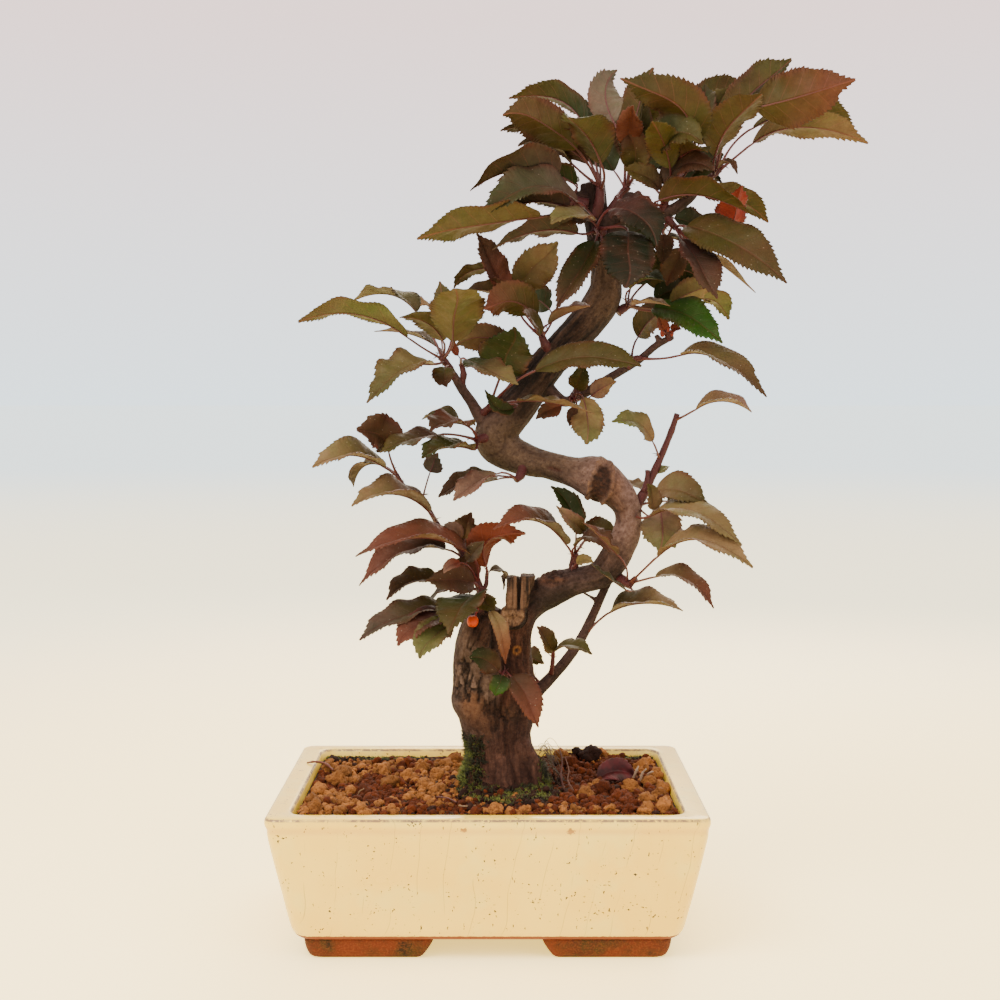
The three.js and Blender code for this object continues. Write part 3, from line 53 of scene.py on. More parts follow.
POT_LOW, POT_HIGH = (np.array(corner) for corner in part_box("pot"))
POT_PLACE = np.array([(POT_LOW[0] + POT_HIGH[0]) / 2, (POT_LOW[1] + POT_HIGH[1]) / 2, POT_LOW[2]])
WHITE = [1, 1, 1]
CORNERS = [(1, 1), (-1, 1), (-1, -1), (1, -1)]

# Where the front of the tree is looked at from. Rows of x, z and depth are read on the plane through
# the pot's middle and carried along the ray from this eye, depth behind that plane.
EYE = np.array([5.0, -604.5, 228.7])
CAMERA_PITCH = 4.1
CAMERA_LENS = 50

# Pot
POT_HALF = np.array([90.0, 60.5])
POT_HEIGHT = 61.7
FOOT_HEIGHT = 8.4
WALL_TAPER = np.array([9.9, 7.4])
LIP_HEIGHT = 4.0
RIM = np.array([10.0, 8.0])
INNER_TAPER = 7.0
CAVITY_FLOOR = 15.4
POT_CORNER = 5.0
INNER_CORNER = 6.0
FOOT_CORNER = np.array([75.8, 50.2])
FOOT_ARMS = {"front": 53.8, "side": 32.5}
FOOT_WIDTH = 10.0
FOOT_SINK = 0.8
DRAINS = [[-38.0, 0.0], [38.0, 0.0]]
DRAIN_RADIUS = 7.0

# Soil
SOIL_EDGE = 57.6
MOUND = {"place": [8.0, 0.0], "height": 3.6, "reach": [42.0, 24.0]}
HEAP = {"place": [44.0, 36.0], "height": 4.5, "reach": [16.0, 12.0]}
FRONT_RISE = {"height": 2.2, "from": 5.0, "to": 45.0}

# Leaves and stalks
LEAF_REACH = 1.5
LEAF_THICKNESS = 0.26
STALK_RADIUS = 0.48
STALK_BEND = 0.45

# Which way a blade's upper side looks
UP = [0, 0, 1]
UP_BACK = [0, 0.45, 1]
UP_FRONT = [0, -0.36, 1]
SLANT = [0, -0.8, 0.7]
FRONT = [0, -0.9, 0.35]
FRONT_LEFT = [-0.4, -0.8, 0.3]
FRONT_RIGHT = [0.4, -0.8, 0.3]
UNDER = [0, 0.9, 0.35]
UNDER_LEFT = [-0.4, 0.8, 0.3]
UNDER_RIGHT = [0.4, 0.8, 0.3]

# Leaf colours
OLIVE = 0x675827
GREEN = 0x3C461A
VIVID = 0x44741C
LIME = 0x949256
GOLD = 0x8A7B4C
TAN = 0xAE8E62
BROWN = 0x64442F
RUST = 0x8F523D
RED = 0x9A4634
SCARLET = 0xB83A26
PURPLE = 0x462A28
DEEP = 0x1C240A
BRONZE = 0x66502A
SILVER = 0x96836C
MAUVE = 0x705C4E
PINK = 0xB48A76

# The side of a leaf that is turned away
PALE_UNDER_SIDE = 0xA58A70
DARK_UPPER_SIDE = 0x2C3616

# How much of a colour as seen in the photo its surface has; the light makes up the rest
LIGHT_SHARE = 0.35


# Old wood: each row is x, z, depth and radius
OLD_WOOD = {
    "leftBulge": [
        [2, 58, 0, 10.5], [0.8, 70, 0, 9.8], [-0.2, 82, 0, 10.2], [-3.2, 92, -0.5, 11], [-4.2, 101, -1, 11.4],
        [-4.5, 110, -1, 11.5], [-4, 119, -1, 11.3], [-2.2, 127, -1, 10.4], [0.4, 133, 0, 8.4], [3, 138, 0, 5],
    ],
    "mainLine": [
        [14, 58, 1, 10], [12, 70, 1, 9.2], [10.4, 82, 1, 8.8], [11.6, 94, 1, 9.5], [11.4, 106, 1, 9.2],
        [10.9, 118, 1, 8.4], [11.8, 128, 1, 7.4], [14.5, 136, 1, 7.2],
        [20.5, 141.8, 0, 7.1], [27.5, 145.4, -1.5, 6.8],
        [36, 149, -3, 6.2], [44, 150.8, -4, 5.9], [49.5, 153, -5, 6.3],
        [54, 158, -6, 6.7], [57.5, 164.5, -7, 6.6],
        [60, 171, -8, 6.2], [60.6, 177.5, -8, 5.9], [59.3, 184, -8, 6.3],
        [55, 189.5, -7, 7.6], [49, 193.2, -6, 9.0], [42, 196, -4, 8.0], [35, 198, -2, 6.4],
        [27, 200.2, 0, 6.1], [19, 202.4, 2.5, 6.8], [11, 205.3, 5, 7.8],
        [4.5, 210.2, 6, 9.0], [4, 215.5, 5.5, 9.2], [8.2, 221.5, 4.5, 8.8], [14.5, 229.5, 3, 8.1],
        [23, 241, 1, 7.4], [33.5, 253.5, -1, 7.3], [43, 263, -2, 7.5], [49.8, 273, -2, 7.4],
        [50.4, 283, -1, 6.0], [48.3, 294, 1, 5.2], [46, 307, 3, 5.2], [44.4, 321.5, 3, 4.8],
    ],
    "sideStub": [[44, 314, 3, 4.3], [38, 314.6, 1, 3.9], [33, 315, 0, 3.4]],
    "topRightBranch": [
        [47, 300, 2, 4.2], [53, 306.5, 1, 3.6], [61, 309.5, 0, 3.0], [75, 309, 0, 2.6], [84.5, 314, -2, 2.4],
        [91, 321, -3, 1.9],
    ],
    "branchLeft": [
        [2, 216, 5, 5], [-3.5, 221.5, 3, 3.0], [-7.5, 228, 2, 2.3],
        [-12, 234.5, 1, 2.1], [-15.5, 240.5, -0.5, 1.7],
    ],
    "branchLeftFork": [[-11, 233, 1.4, 1.9], [-11.6, 237, 1, 1.5]],
    "branchRight": [
        [22, 237, 2, 4], [32, 228.5, -1, 2.5], [38, 230, -2, 2.2], [45, 233.8, -2, 2.1], [55, 240, -2, 1.9],
        [65, 246, -2, 1.7], [72, 252, -2, 1.6], [80, 256.5, -2, 1.4],
    ],
    "branchRightSpur": [[74.5, 253.5, -2, 1.4], [72.5, 257, -2, 1.2]],
    "longShoot": [
        [13, 95, 5, 5.5], [19, 99, 6, 3.6], [26, 105.5, 6, 2.7], [34, 114.5, 6, 2.4], [41, 125, 6, 2.2],
        [46.8, 137, 6, 2.0], [50, 144.5, 5, 1.9], [53.5, 152, 4, 1.8], [58, 163, 3, 1.8],
    ],
    "longShootSnag": [[47, 141.5, 6, 1.0], [44, 143.3, 6, 0.7], [41.3, 144.8, 5.5, 0.6]],
}

# Twigs of each spray: rows of x, z, depth and radius
TWIGS = {
    "spray_crown_right": [[[90, 320.5, -3, 1.6], [95, 324, -3.5, 1.4], [99.5, 327.5, -4, 1.2]]],
    "spray_crown_middle": [[[52, 309, 2, 2.4], [56, 315, 1, 2.0], [60, 320.5, 0, 1.7]]],
    "spray_crown_high": [[[74, 306, 0, 2.2], [75.5, 312, -1, 1.8], [77.5, 318, -2, 1.5]]],
    "spray_crown_left": [[[46, 308, 0, 2.6], [47.8, 314, -2.5, 2.2], [48, 320, -4, 1.8]]],
    "spray_side_stub": [[[42, 313, -1, 2.4], [35, 314.8, -4, 2.2], [28, 316, -5, 1.7]]],
    "spray_leader": [[[49, 301, -2, 2.2], [47, 301.5, -7, 1.9], [46, 302, -9.5, 1.6]]],
    "spray_right_upper": [[[75, 309.5, 0, 2.0], [78, 305.5, 0, 1.7], [81, 302.5, 0, 1.4]]],
    "spray_leader_right": [[[56, 267, -2, 2.2], [58.5, 268.5, -1, 1.9], [61, 270, 0, 1.5]]],
    "spray_branch_right": [[[60, 243, -2, 1.9], [63, 246.5, -3, 1.5], [66.5, 247, -4, 1.2]]],
    "spur_with_buds": [[[78, 254.5, -2, 1.5], [77.5, 257.5, -3, 1.3], [76.5, 259.5, -4, 1.1]]],
    "spray_spur_right": [[[38.5, 232.5, -2, 2.0], [37, 230.5, -4, 1.8], [36, 229.5, -6, 1.4]]],
    "spray_spur_trunk": [[[27, 249, -4, 2.2], [24.5, 253, -6, 2.0], [23, 256.5, -7, 1.6]]],
    "spray_branch_left": [[[-14.5, 238.5, 0, 1.7], [-17, 243, -1, 1.6], [-20.5, 247.5, -2, 1.7]]],
    "spray_left_fork": [[[-11.6, 235, 1.2, 1.6], [-10.8, 240, 0, 1.4], [-11.8, 244.5, -1, 1.2]]],
    "spray_small_arm": [[[-3, 222.5, 2, 1.9], [-1, 224.5, 0, 1.6], [0.5, 226, -2, 1.4]]],
    "spray_left_turn": [[[1, 213, 0, 2.4], [-3.5, 212, -2, 2.0], [-5.5, 211.5, -4, 1.6]]],
    "spray_under": [[[15.5, 201, 0, 2.4], [13.8, 196, -4, 2.0], [12, 194.2, -6, 1.4]]],
    "shoot_right": [
        [[63, 180, -7, 2.6], [67, 187, -6, 2.1], [73, 199.5, -5, 1.6], [79, 214, -4, 1.4],
            [82, 223, -4, 1.2]],
        [[67.5, 189, -7, 1.2], [69, 194, -7, 1.1], [69.3, 198.5, -7, 1.0]],
    ],
    "spray_bend": [
        [[55, 152.5, -3, 2.6], [59, 150, -9, 2.2], [61.5, 148.5, -12, 1.8], [64.5, 151, -14, 1.1]],
    ],
    "spray_mid_spur": [[[37, 152, -2, 2.4], [37.3, 157, -4, 2.0], [37.8, 162, -5, 1.6]]],
    "leaf_long_shoot_upper": [],
    "leaf_long_shoot_lower": [[[27.5, 109, 3, 1.3], [28, 112, 0, 1.0], [28.4, 118, -3, 0.9]]],
    "leaf_behind_trunk": [],
    "spray_trunk": [[[7, 106, -8, 1.8], [7, 108, -11, 1.5], [7, 109.5, -12.5, 1.2]]],
    "shoot_left": [
        [[-3.5, 134, -4, 2.2], [-3.8, 141, -4, 2.0], [-4, 147, -4, 1.8], [-9, 158, -2, 1.5],
            [-14, 165.5, 0, 1.3], [-20.5, 172, 1, 1.2], [-28, 184, 1, 1.1], [-36, 190.5, 0, 1.0],
            [-40, 196.5, 0, 0.9]],
        [[-3.5, 144, -4, 1.3], [-1.2, 148, -3, 1.0], [-0.7, 153, -3, 0.9]],
    ],
}

# Leaves of each spray: where the stalk starts, the blade's base, middle and tip, each as x, z and depth,
# half its width, which way its upper side looks, and its colours near the base and near the tip
LEAVES = {
    "spray_crown_right": [
        [[98, 326, -4], [114, 353.5, -12], [134, 358.5, -18], [157, 365.5, -20], 12, UNDER, OLIVE, RUST],
        [[98, 327, -3], [102, 346, 3], [114, 361, 9], [129.5, 374, 14], 9, UNDER_LEFT, OLIVE, OLIVE],
        [[97, 326, -5], [97, 333, -8], [104, 347, -14], [117, 359.5, -24], 10, UNDER_LEFT, OLIVE, BRONZE],
        [[99, 327, -3], [113, 338.5, -2], [134, 345.5, 2], [163, 338.5, 5], 10, UP_BACK, BRONZE, TAN],
        [[99, 327, -2], [113, 345, 9], [138, 353, 17], [157, 344, 22], 9, UP_BACK, OLIVE, OLIVE],
        [[97, 326, -4], [98.5, 328, -7], [103, 330.5, -9], [107, 325.5, -11], 3, UP_FRONT, BROWN, BROWN],
    ],
    "spray_crown_middle": [
        [[58, 318, 0], [54, 347, -2], [50, 360, 2], [55, 369.5, 8], 7.5, UNDER, SILVER, SILVER],
        [[60, 320, 0], [69, 334, -8], [80, 343, -14], [92, 338, -18], 8, FRONT, GREEN, OLIVE],
        [[60, 320, 0], [61, 326, -5], [63, 336, -9], [58, 345, -11], 6.5, FRONT, OLIVE, BROWN],
        [[60, 320, 1], [65, 327, 4], [72, 335, 8], [79, 344, 12], 7.5, FRONT, GREEN, OLIVE],
        [[60, 320, 0], [57, 315, -8], [64, 313, -12], [74, 309, -14], 5, SLANT, PURPLE, BROWN],
        [[59, 319, 0], [54, 327, 6], [48, 336, 10], [43, 345, 13], 7.5, FRONT, GREEN, BROWN],
        [[60, 320, 1], [62, 331, 8], [58, 343, 12], [50, 352, 14], 7, UNDER, OLIVE, OLIVE],
        [[60, 320, 1], [62, 345, 12], [65, 357, 18], [70.5, 370.5, 22], 7.5, UNDER, OLIVE, OLIVE],
        [[60, 319, -1], [60.5, 336, -7], [60.5, 346, -13], [62, 354.5, -20], 5.5, FRONT, RUST, RUST],
        [[60, 320, 0], [63.5, 339, -1], [65.5, 349, -6], [66, 359, -12], 5, FRONT_RIGHT, GREEN, OLIVE],
    ],
    "spray_crown_high": [
        [[77, 317, -2], [88.5, 340, -10], [79, 356, -18], [56, 366, -25], 9.5, UNDER_RIGHT, OLIVE, BRONZE],
        [[77, 316, 0], [90, 338, 8], [97, 351, 13], [104, 362.5, 17], 9, FRONT, OLIVE, OLIVE],
        [[77, 315, 1], [84, 321, 8], [92, 329, 13], [101, 334, 17], 8, FRONT, GREEN, GREEN],
        [[76, 312, 0], [80, 307, 4], [89, 304, 8], [100, 299, 12], 6.5, FRONT, GREEN, GREEN],
        [[76, 312, -1], [74, 319, -6], [67, 325, -8], [58, 328, -10], 5, FRONT, BROWN, OLIVE],
        [[77, 315, 2], [72, 328, 10], [80, 338, 14], [90, 348, 18], 8, FRONT, GREEN, OLIVE],
        [[77, 317, -1], [89, 341, 4], [91.5, 352, 9], [92.5, 363.5, 13], 6, FRONT_LEFT, OLIVE, GREEN],
        [[77, 316, 0], [84, 346, 15], [95, 358, 22], [110, 364, 28], 8, UNDER, OLIVE, OLIVE],
        [[77, 318, -1], [77, 343, 6], [73, 352, 5], [66.5, 358.5, 3], 6, UNDER_RIGHT, OLIVE, OLIVE],
        [[77, 315, -3], [78, 328, -9], [75, 339, -15], [70, 348, -24], 7, UNDER, OLIVE, OLIVE],
        [[77, 316, -3], [79, 330, -7], [86.5, 335.5, -13], [94, 335, -24], 6.5, UP_BACK, BROWN, OLIVE],
        [[76, 312, -1], [75, 321, -6], [85, 330, -10], [97, 327, -14], 7.5, SLANT, BROWN, BROWN],
        [[76, 311, 0], [80, 322, 6], [89, 327.5, 11], [100.5, 321.5, 15], 6, UP_BACK, GREEN, GREEN],
        [[75.5, 312, -3], [73, 314.5, -7], [92, 316.5, -12], [114, 308, -16], 9, UP_BACK, BRONZE, OLIVE],
        [[77, 312, 0], [90, 319.5, 10], [106, 315.5, 15], [120.5, 305, 20], 7, UP_BACK, OLIVE, OLIVE],
    ],
    "spray_crown_left": [
        [[47.5, 320, -4], [38, 336, -9], [22.5, 347.5, -18], [6, 350.5, -22], 9, UNDER, OLIVE, BRONZE],
        [[48, 319, -4], [48.5, 330, -12], [42, 342, -18], [34, 349.5, -29], 9.5, UNDER_RIGHT, OLIVE, GOLD],
        [[48, 320, -4], [42, 344, 4], [30, 357, 9], [8.5, 357.5, 13], 9, UP_BACK, GREEN, OLIVE],
        [[48, 320, -4], [45.5, 343, 8], [42.5, 351, 11], [38.5, 357.5, 14], 5, UNDER, GREEN, GREEN],
        [[47.5, 319, -4], [37, 338, 1], [21, 345.5, 0], [5, 344, -2], 8, UP_BACK, OLIVE, BRONZE],
        [[48, 320, -3], [36, 330, -2], [26, 338, -3], [15, 341.5, -5], 6.5, UP_FRONT, OLIVE, BROWN],
        [[47.5, 318, -3], [42.5, 330, -5], [28, 339.5, -8], [12.5, 337.5, -11], 9, UP_BACK, BROWN, BROWN],
        [[48, 320, -4], [34, 332, 1], [28, 335.5, 7], [20, 334.5, 13], 6, UP, OLIVE, OLIVE],
    ],
    "spray_side_stub": [
        [[32, 316, -6], [30, 325, -13], [12, 327.5, -20], [-8, 318.5, -25], 11, UP_BACK, MAUVE, BRONZE],
        [[31, 316, -5], [20, 322.5, 0], [12, 324, 3], [3.5, 322.5, 6], 4.5, UP_BACK, RUST, BROWN],
        [[35, 315, -4], [37.5, 322.5, 0], [30, 328, 5], [21, 331, 9], 7, UP_BACK, GREEN, GREEN],
        [[34, 315, -4], [37.5, 321, -6], [26, 326, -10], [14.5, 322.5, -13], 6, UP_BACK, GREEN, OLIVE],
        [[28, 316, -5], [25, 318, 5], [16, 318.5, 14], [4, 312.5, 22], 8, UNDER, BROWN, OLIVE],
        [[40, 314, -5], [38.5, 314, -14], [18, 320, -24], [-3.5, 308, -30], 9.5, SLANT, MAUVE, GREEN],
        [[36, 314, -4], [35, 311, -8], [16, 313.5, -14], [-4.5, 305, -18], 10, UP_BACK, MAUVE, GREEN],
        [[37, 313, -5], [22, 307.5, -19], [-4, 304, -28], [-31, 298, -33], 12, UP_BACK, GOLD, GOLD],
        [[40, 313, -4], [45, 306.5, -14], [37, 308.5, -24], [27, 304.5, -34], 6, SLANT, GOLD, GOLD],
    ],
    "spray_leader": [
        [[46, 301, -9], [38.5, 300.5, -10], [21, 301.5, -14], [1.5, 293.5, -17], 9, UP_BACK, MAUVE, MAUVE],
        [[48, 302, -6], [44, 306, -9], [36, 308, -12], [28, 302, -13], 6, SLANT, BROWN, BROWN],
        [[48, 301, -5], [52, 296, -4], [60, 300, 0], [69, 305, 4], 6.5, FRONT, PURPLE, GREEN],
        [[46, 301, -10], [46, 297, -13], [38.5, 283, -18], [29, 267.5, -23], 7, FRONT_LEFT, GREEN, BROWN],
        [[47, 301, -9], [48.5, 297, -9.5], [43.5, 290, -11], [36, 282, -12], 6.5, FRONT_LEFT, GREEN, BROWN],
        [[47, 302, -9], [53, 311, -12], [63.5, 308.5, -19], [72.5, 295, -24], 9.5, SLANT, PURPLE, DEEP],
        [[48, 302, -9], [60, 301.5, -15], [60.5, 290, -26], [59, 277, -31], 11, FRONT, DEEP, DEEP],
    ],
    "spray_right_upper": [
        [[80, 303, 0], [85, 303.5, -5], [106, 296, -14], [129, 279, -20], 12, SLANT, OLIVE, BRONZE],
        [[79, 304, 1], [74, 298, 3], [66, 295, 4], [59, 287, 6], 6, FRONT, GREEN, GREEN],
        [[80, 303, 1], [84, 294, 4], [80, 286, 5], [77, 278, 6], 5.5, FRONT, BROWN, BROWN],
        [[78, 305, 0], [77, 299.5, 6], [95, 291, 11], [115.5, 275, 15], 8, UP_FRONT, BRONZE, TAN],
        [[80, 303, -1], [83.5, 298, -8], [91, 287, -16], [99, 272.5, -22], 8.5, FRONT_RIGHT, PURPLE, BROWN],
        [[80, 303, 1], [86, 300, 4], [93, 295, 8], [99, 287, 10], 5.5, UP_FRONT, GREEN, GREEN],
        [[77, 306, -1], [75, 300, -4], [75.5, 294, -8], [75, 287, -12], 4, FRONT, BROWN, BROWN],
        [[81, 303, 1], [100, 296, 2], [106, 308, 0], [109, 321, -5], 7.5, UNDER_LEFT, SCARLET, SCARLET],
    ],
    "spray_leader_right": [
        [[60, 269, 1], [68, 279.5, 8], [78, 284, 9], [90, 282, 10], 9, UNDER, OLIVE, GREEN],
        [[60, 270, 0], [62, 279, 4], [67, 287, 6], [74, 292, 8], 7, UNDER, GREEN, OLIVE],
        [[60, 269, 0], [72, 272, 8], [84, 277, 12], [96, 271, 16], 7.5, FRONT, GREEN, BROWN],
        [[60, 270, -1], [61, 277, -6], [68, 281, -11], [76.5, 280, -17], 5.5, UP_FRONT, LIME, GREEN],
        [[60, 270, 0], [78.5, 270, 3], [87, 275, 4], [97, 277, 5], 6, UNDER, OLIVE, TAN],
        [[60, 269, -1], [62.5, 270, -5], [69.5, 271, -12], [78.5, 269.5, -19], 5, UP_FRONT, PINK, TAN],
        [[60, 269, 0], [71, 268.5, -5], [87.5, 264.5, -12], [101.5, 253.5, -18], 9, SLANT, VIVID, VIVID],
        [[61, 270, 1], [86, 270.5, 11], [97, 272, 14], [104, 263.5, 17], 6, UP_BACK, LIME, LIME],
    ],
    "spray_branch_right": [
        [[62, 246, -1], [64.5, 256, 4], [70, 263.5, 7], [77, 269.5, 10], 8, UNDER_LEFT, OLIVE, BROWN],
        [[66, 245, -3], [83.5, 248.5, -8], [100, 246.5, -14], [121, 230, -20], 9, UP_FRONT, TAN, BRONZE],
    ],
    "spur_with_buds": [
        [[77, 258, -3], [75.5, 259, -4.5], [74.5, 262.5, -6], [73, 266, -8], 2.8, FRONT, RED, RUST],
        [[77, 258, -3], [79, 259, -3], [81, 260, -4], [83.5, 259.5, -5], 2, FRONT, RED, RED],
    ],
    "spray_spur_right": [
        [[38, 231, -5], [41, 230, -9], [43, 221, -14], [42.5, 209.5, -18], 7, UNDER, TAN, GOLD],
        [[37, 229, -5], [38, 225.5, -9], [36.5, 221.5, -11], [35, 217.5, -12], 3, FRONT, BROWN, BROWN],
        [[36, 229.5, -6], [32, 226.5, -8], [27, 225, -8], [20.5, 220.5, -7], 4, FRONT, RUST, BROWN],
        [[37, 231, -3], [38, 233.5, -4], [39.5, 239, -8], [40.5, 244.5, -14], 4.5, FRONT, OLIVE, GREEN],
        [[37, 230.5, -5], [44.5, 230.5, -8], [50, 234.5, -8], [55.5, 237, -7], 4.5, UNDER, PINK, TAN],
    ],
    "spray_spur_trunk": [
        [[22, 257, -6], [9.5, 274.5, 2], [1.5, 287, 1], [-5, 300.5, -3], 6.5, FRONT_RIGHT, RUST, BROWN],
        [[22, 257, -5], [3, 285, 9], [-7, 284.5, 12], [-15, 277, 15], 5, UP_BACK, OLIVE, OLIVE],
        [[24, 257, -5], [26.5, 268, -1], [20, 272.5, 2], [12.5, 273.5, 5], 6, UNDER, GREEN, GREEN],
        [[22, 257, -5], [10, 273, 3], [0, 276, 1], [-10.5, 275.5, -2], 6, UP_BACK, OLIVE, MAUVE],
        [[22, 257, -7], [21, 265, -11], [9, 271.5, -18], [-2, 268, -24], 8, UNDER, OLIVE, RUST],
        [[24, 257, -8], [26, 262, -11], [34.5, 266.5, -15], [44, 269.5, -19], 7, UP_FRONT, PURPLE, RUST],
        [[23, 257, -8], [23.5, 258.5, -11], [19.5, 263, -17], [15, 267, -25], 5, FRONT, OLIVE, BROWN],
        [[23, 256, -7], [13, 275, -4], [19.5, 286, -6], [30, 297, -9], 8.5, FRONT_RIGHT, OLIVE, TAN],
    ],
    "spray_branch_left": [
        [[-20, 246, -2], [-35, 256, -6], [-57.5, 266, -13], [-82.5, 262.5, -17], 7.5, UP_BACK, LIME, GOLD],
        [[-20, 247, -1], [-31, 267, 8], [-43, 274.5, 13], [-58.5, 271.5, 18], 9, UP, OLIVE, LIME],
        [[-20, 247, -2], [-19.5, 254.5, -3], [-27, 262.5, -7], [-38.5, 264.5, -12], 8, UP_BACK, GOLD, OLIVE],
        [[-19, 247, -3], [-15.5, 254, -8], [-14.5, 266.5, -18], [-14.5, 277, -31], 11.5, UNDER, GOLD, GOLD],
        [[-20, 247, -1], [-22, 252, 3], [-34, 257.5, 6], [-49.5, 258.5, 9], 8, UP, MAUVE, MAUVE],
        [[-20, 245, -3], [-25, 244.5, -8], [-39, 241, -14], [-53, 227.5, -18], 11, UP_FRONT, GOLD, OLIVE],
        [[-17, 243, -2], [-18.5, 243, -5], [-19, 239, -9], [-18, 234.5, -12], 5, FRONT, OLIVE, BROWN],
        [[-19, 247, -1], [-17, 262, 8], [-20, 271, 13], [-21, 280, 18], 4.5, UNDER, GREEN, OLIVE],
        [[-20, 247, 0], [-22, 262, 14], [-26, 269.5, 19], [-31.5, 269, 24], 5, UP_BACK, PINK, PINK],
    ],
    "spray_left_fork": [
        [[-11.5, 244, -2], [-9.5, 246.5, -12], [1, 241.5, -22], [13, 235.5, -27], 8, UP_FRONT, GREEN, TAN],
        [[-11.8, 244.5, -1], [-13, 248, -1.5], [-15, 251.5, -2], [-14.5, 255, -3], 1.8, FRONT, RED, RUST],
    ],
    "spray_small_arm": [
        [[0.5, 226, -2], [5.5, 240, -5], [9, 250.5, -10], [11, 260.5, -16], 11.5, FRONT, GREEN, GREEN],
        [[0, 226, 0], [10, 252.5, 4], [-3, 256, 2], [-14, 252.5, -1], 6.5, UNDER, BROWN, TAN],
        [[0.5, 225, -3], [20, 241.5, -13], [43.5, 247.5, -19], [66.5, 243.5, -24], 8, SLANT, OLIVE, OLIVE],
        [[0, 224, -3], [12.5, 228.5, -11], [27, 228, -16], [46, 223, -22], 7, UP, OLIVE, TAN],
        [[0.5, 224, -3], [11, 225.5, -10], [4, 225.5, -13], [-1.5, 233.5, -17], 3.5, FRONT, GREEN, GREEN],
    ],
    "spray_left_turn": [
        [[-5, 211, -4], [-22, 214, -9], [-35, 211.5, -12], [-47.5, 206, -14], 8, UP_FRONT, BROWN, OLIVE],
        [[-4.5, 212, -4], [-8.5, 217.5, -7], [-16, 219, -13], [-25, 215.5, -18], 9, UP_FRONT, RUST, BROWN],
        [[-4, 212, -2], [-13, 220, 4], [-21, 222, 7], [-29, 220.5, 10], 5.5, UP_FRONT, OLIVE, OLIVE],
        [[-5, 211, -4], [-7, 207.5, -8], [-17, 208.5, -15], [-29, 203.5, -22], 8, UP_FRONT, OLIVE, GREEN],
    ],
    "spray_under": [
        [[12, 195, -6], [3.5, 197, -9], [-6, 192.5, -13], [-15.5, 185, -17], 6, UP_FRONT, PINK, PINK],
        [[12, 195, -5], [2, 196, -3], [-10, 193.5, -1], [-22, 186.5, 0], 7, UP_FRONT, OLIVE, BROWN],
        [[12, 195, -4], [3.5, 194.5, 4], [-2, 193, 7], [-8.5, 190.5, 9], 4.5, UP_FRONT, TAN, TAN],
    ],
    "shoot_right": [
        [[74.5, 203, -5], [71.5, 211, -7], [64, 219.5, -11], [53.5, 219.5, -15], 6, SLANT, TAN, LIME],
        [[81.5, 220, -4], [90, 225, -6], [101.5, 228.5, -9], [114.5, 223.5, -11], 7, UP_FRONT, TAN, PINK],
        [[71, 195.5, -5], [73.5, 197, -4], [76, 199, -3], [79, 200, -2], 2.8, UP_FRONT, LIME, LIME],
        [[68.5, 190, -6], [73, 188.8, -8], [83.5, 189.5, -13], [95.5, 184, -17], 8, SLANT, TAN, OLIVE],
        [[68, 189, -6], [78, 185, 1], [91, 184.5, 4], [103, 178.8, 6], 6, UP_FRONT, OLIVE, OLIVE],
        [[65, 176, -10], [71, 178.7, -14], [90, 180.5, -21], [111, 165.5, -28], 8.5, UP_FRONT, TAN, GOLD],
        [[67, 182, -9], [72, 181, -13], [71.5, 187, -14], [69, 192.5, -15], 4, FRONT_RIGHT, TAN, OLIVE],
        [[67, 181, -8], [74.5, 182.5, -6], [76, 173, -10], [74.5, 162.5, -13], 9, UNDER, PINK, LIME],
        [[67, 188, -5], [67, 190, 3], [63, 192, 8], [58, 193.5, 12], 4.5, UP_FRONT, TAN, TAN],
    ],
    "spray_bend": [
        [[62, 148, -12], [74, 160.8, -19], [93, 168, -25], [116, 155.5, -28], 8, UP_FRONT, TAN, TAN],
        [[62, 149, -12], [73, 151.8, -15], [87, 150.5, -19], [99, 137.5, -22], 6.5, UP_FRONT, TAN, RUST],
        [[62, 148, -12], [60.5, 146, -16], [53, 151, -19], [45, 157.5, -22], 4.5, UP_FRONT, OLIVE, GREEN],
        [[60, 150, -11], [56.5, 161.5, -19], [49, 169, -23], [41.5, 175.5, -26], 4.5, UP_FRONT, BROWN, RUST],
    ],
    "spray_mid_spur": [
        [[36.5, 159, -5], [34, 166, -7], [20, 176.5, -14], [2, 172.5, -20], 9.5, UP_FRONT, BROWN, RUST],
        [[37.5, 162, -5], [38.3, 173, -3], [35.5, 182, -2], [27, 191.5, -1], 5, FRONT_RIGHT, GREEN, GREEN],
        [[37.5, 162, -5], [41.5, 171.5, -8], [36.5, 176, -11], [29.5, 183, -14], 3.6, FRONT, OLIVE, PINK],
        [[38, 161, -5], [37.5, 165, -8], [45, 169.5, -12], [53.5, 162.5, -15.5], 7, UP_FRONT, BROWN, BROWN],
        [[38, 161, -4], [42, 168, 3], [48, 172, 8], [56, 171, 12], 6, FRONT, OLIVE, OLIVE],
        [[38, 157, -5], [38.5, 157.5, -9], [42, 159.2, -11], [46, 158, -13], 2.4, FRONT, TAN, TAN],
    ],
    "leaf_long_shoot_upper": [
        [[43.5, 127.5, 5], [54, 136.5, 2], [68, 140, -4], [85.5, 136.5, -9], 8.5, UP_FRONT, OLIVE, TAN],
    ],
    "leaf_long_shoot_lower": [
        [[28, 115, -2], [28.5, 118.5, -3.5], [25.5, 124, -6], [21.3, 129.8, -9],
            4.5, FRONT_RIGHT, OLIVE, BROWN],
        [[28, 115, -2], [29, 119, -3.5], [37, 121.5, -7], [45.7, 117.3, -10], 5.5, UP_FRONT, OLIVE, OLIVE],
    ],
    "leaf_behind_trunk": [
        [[22.5, 104.5, 5], [16, 116.5, 15], [19.5, 115.5, 18], [24.5, 113.3, 20], 5, UNDER, MAUVE, OLIVE],
    ],
    "spray_trunk": [
        [[6.5, 109, -12], [4.5, 110, -14], [-1.5, 115, -16], [-8.5, 115.7, -18], 5.5, FRONT, BROWN, GREEN],
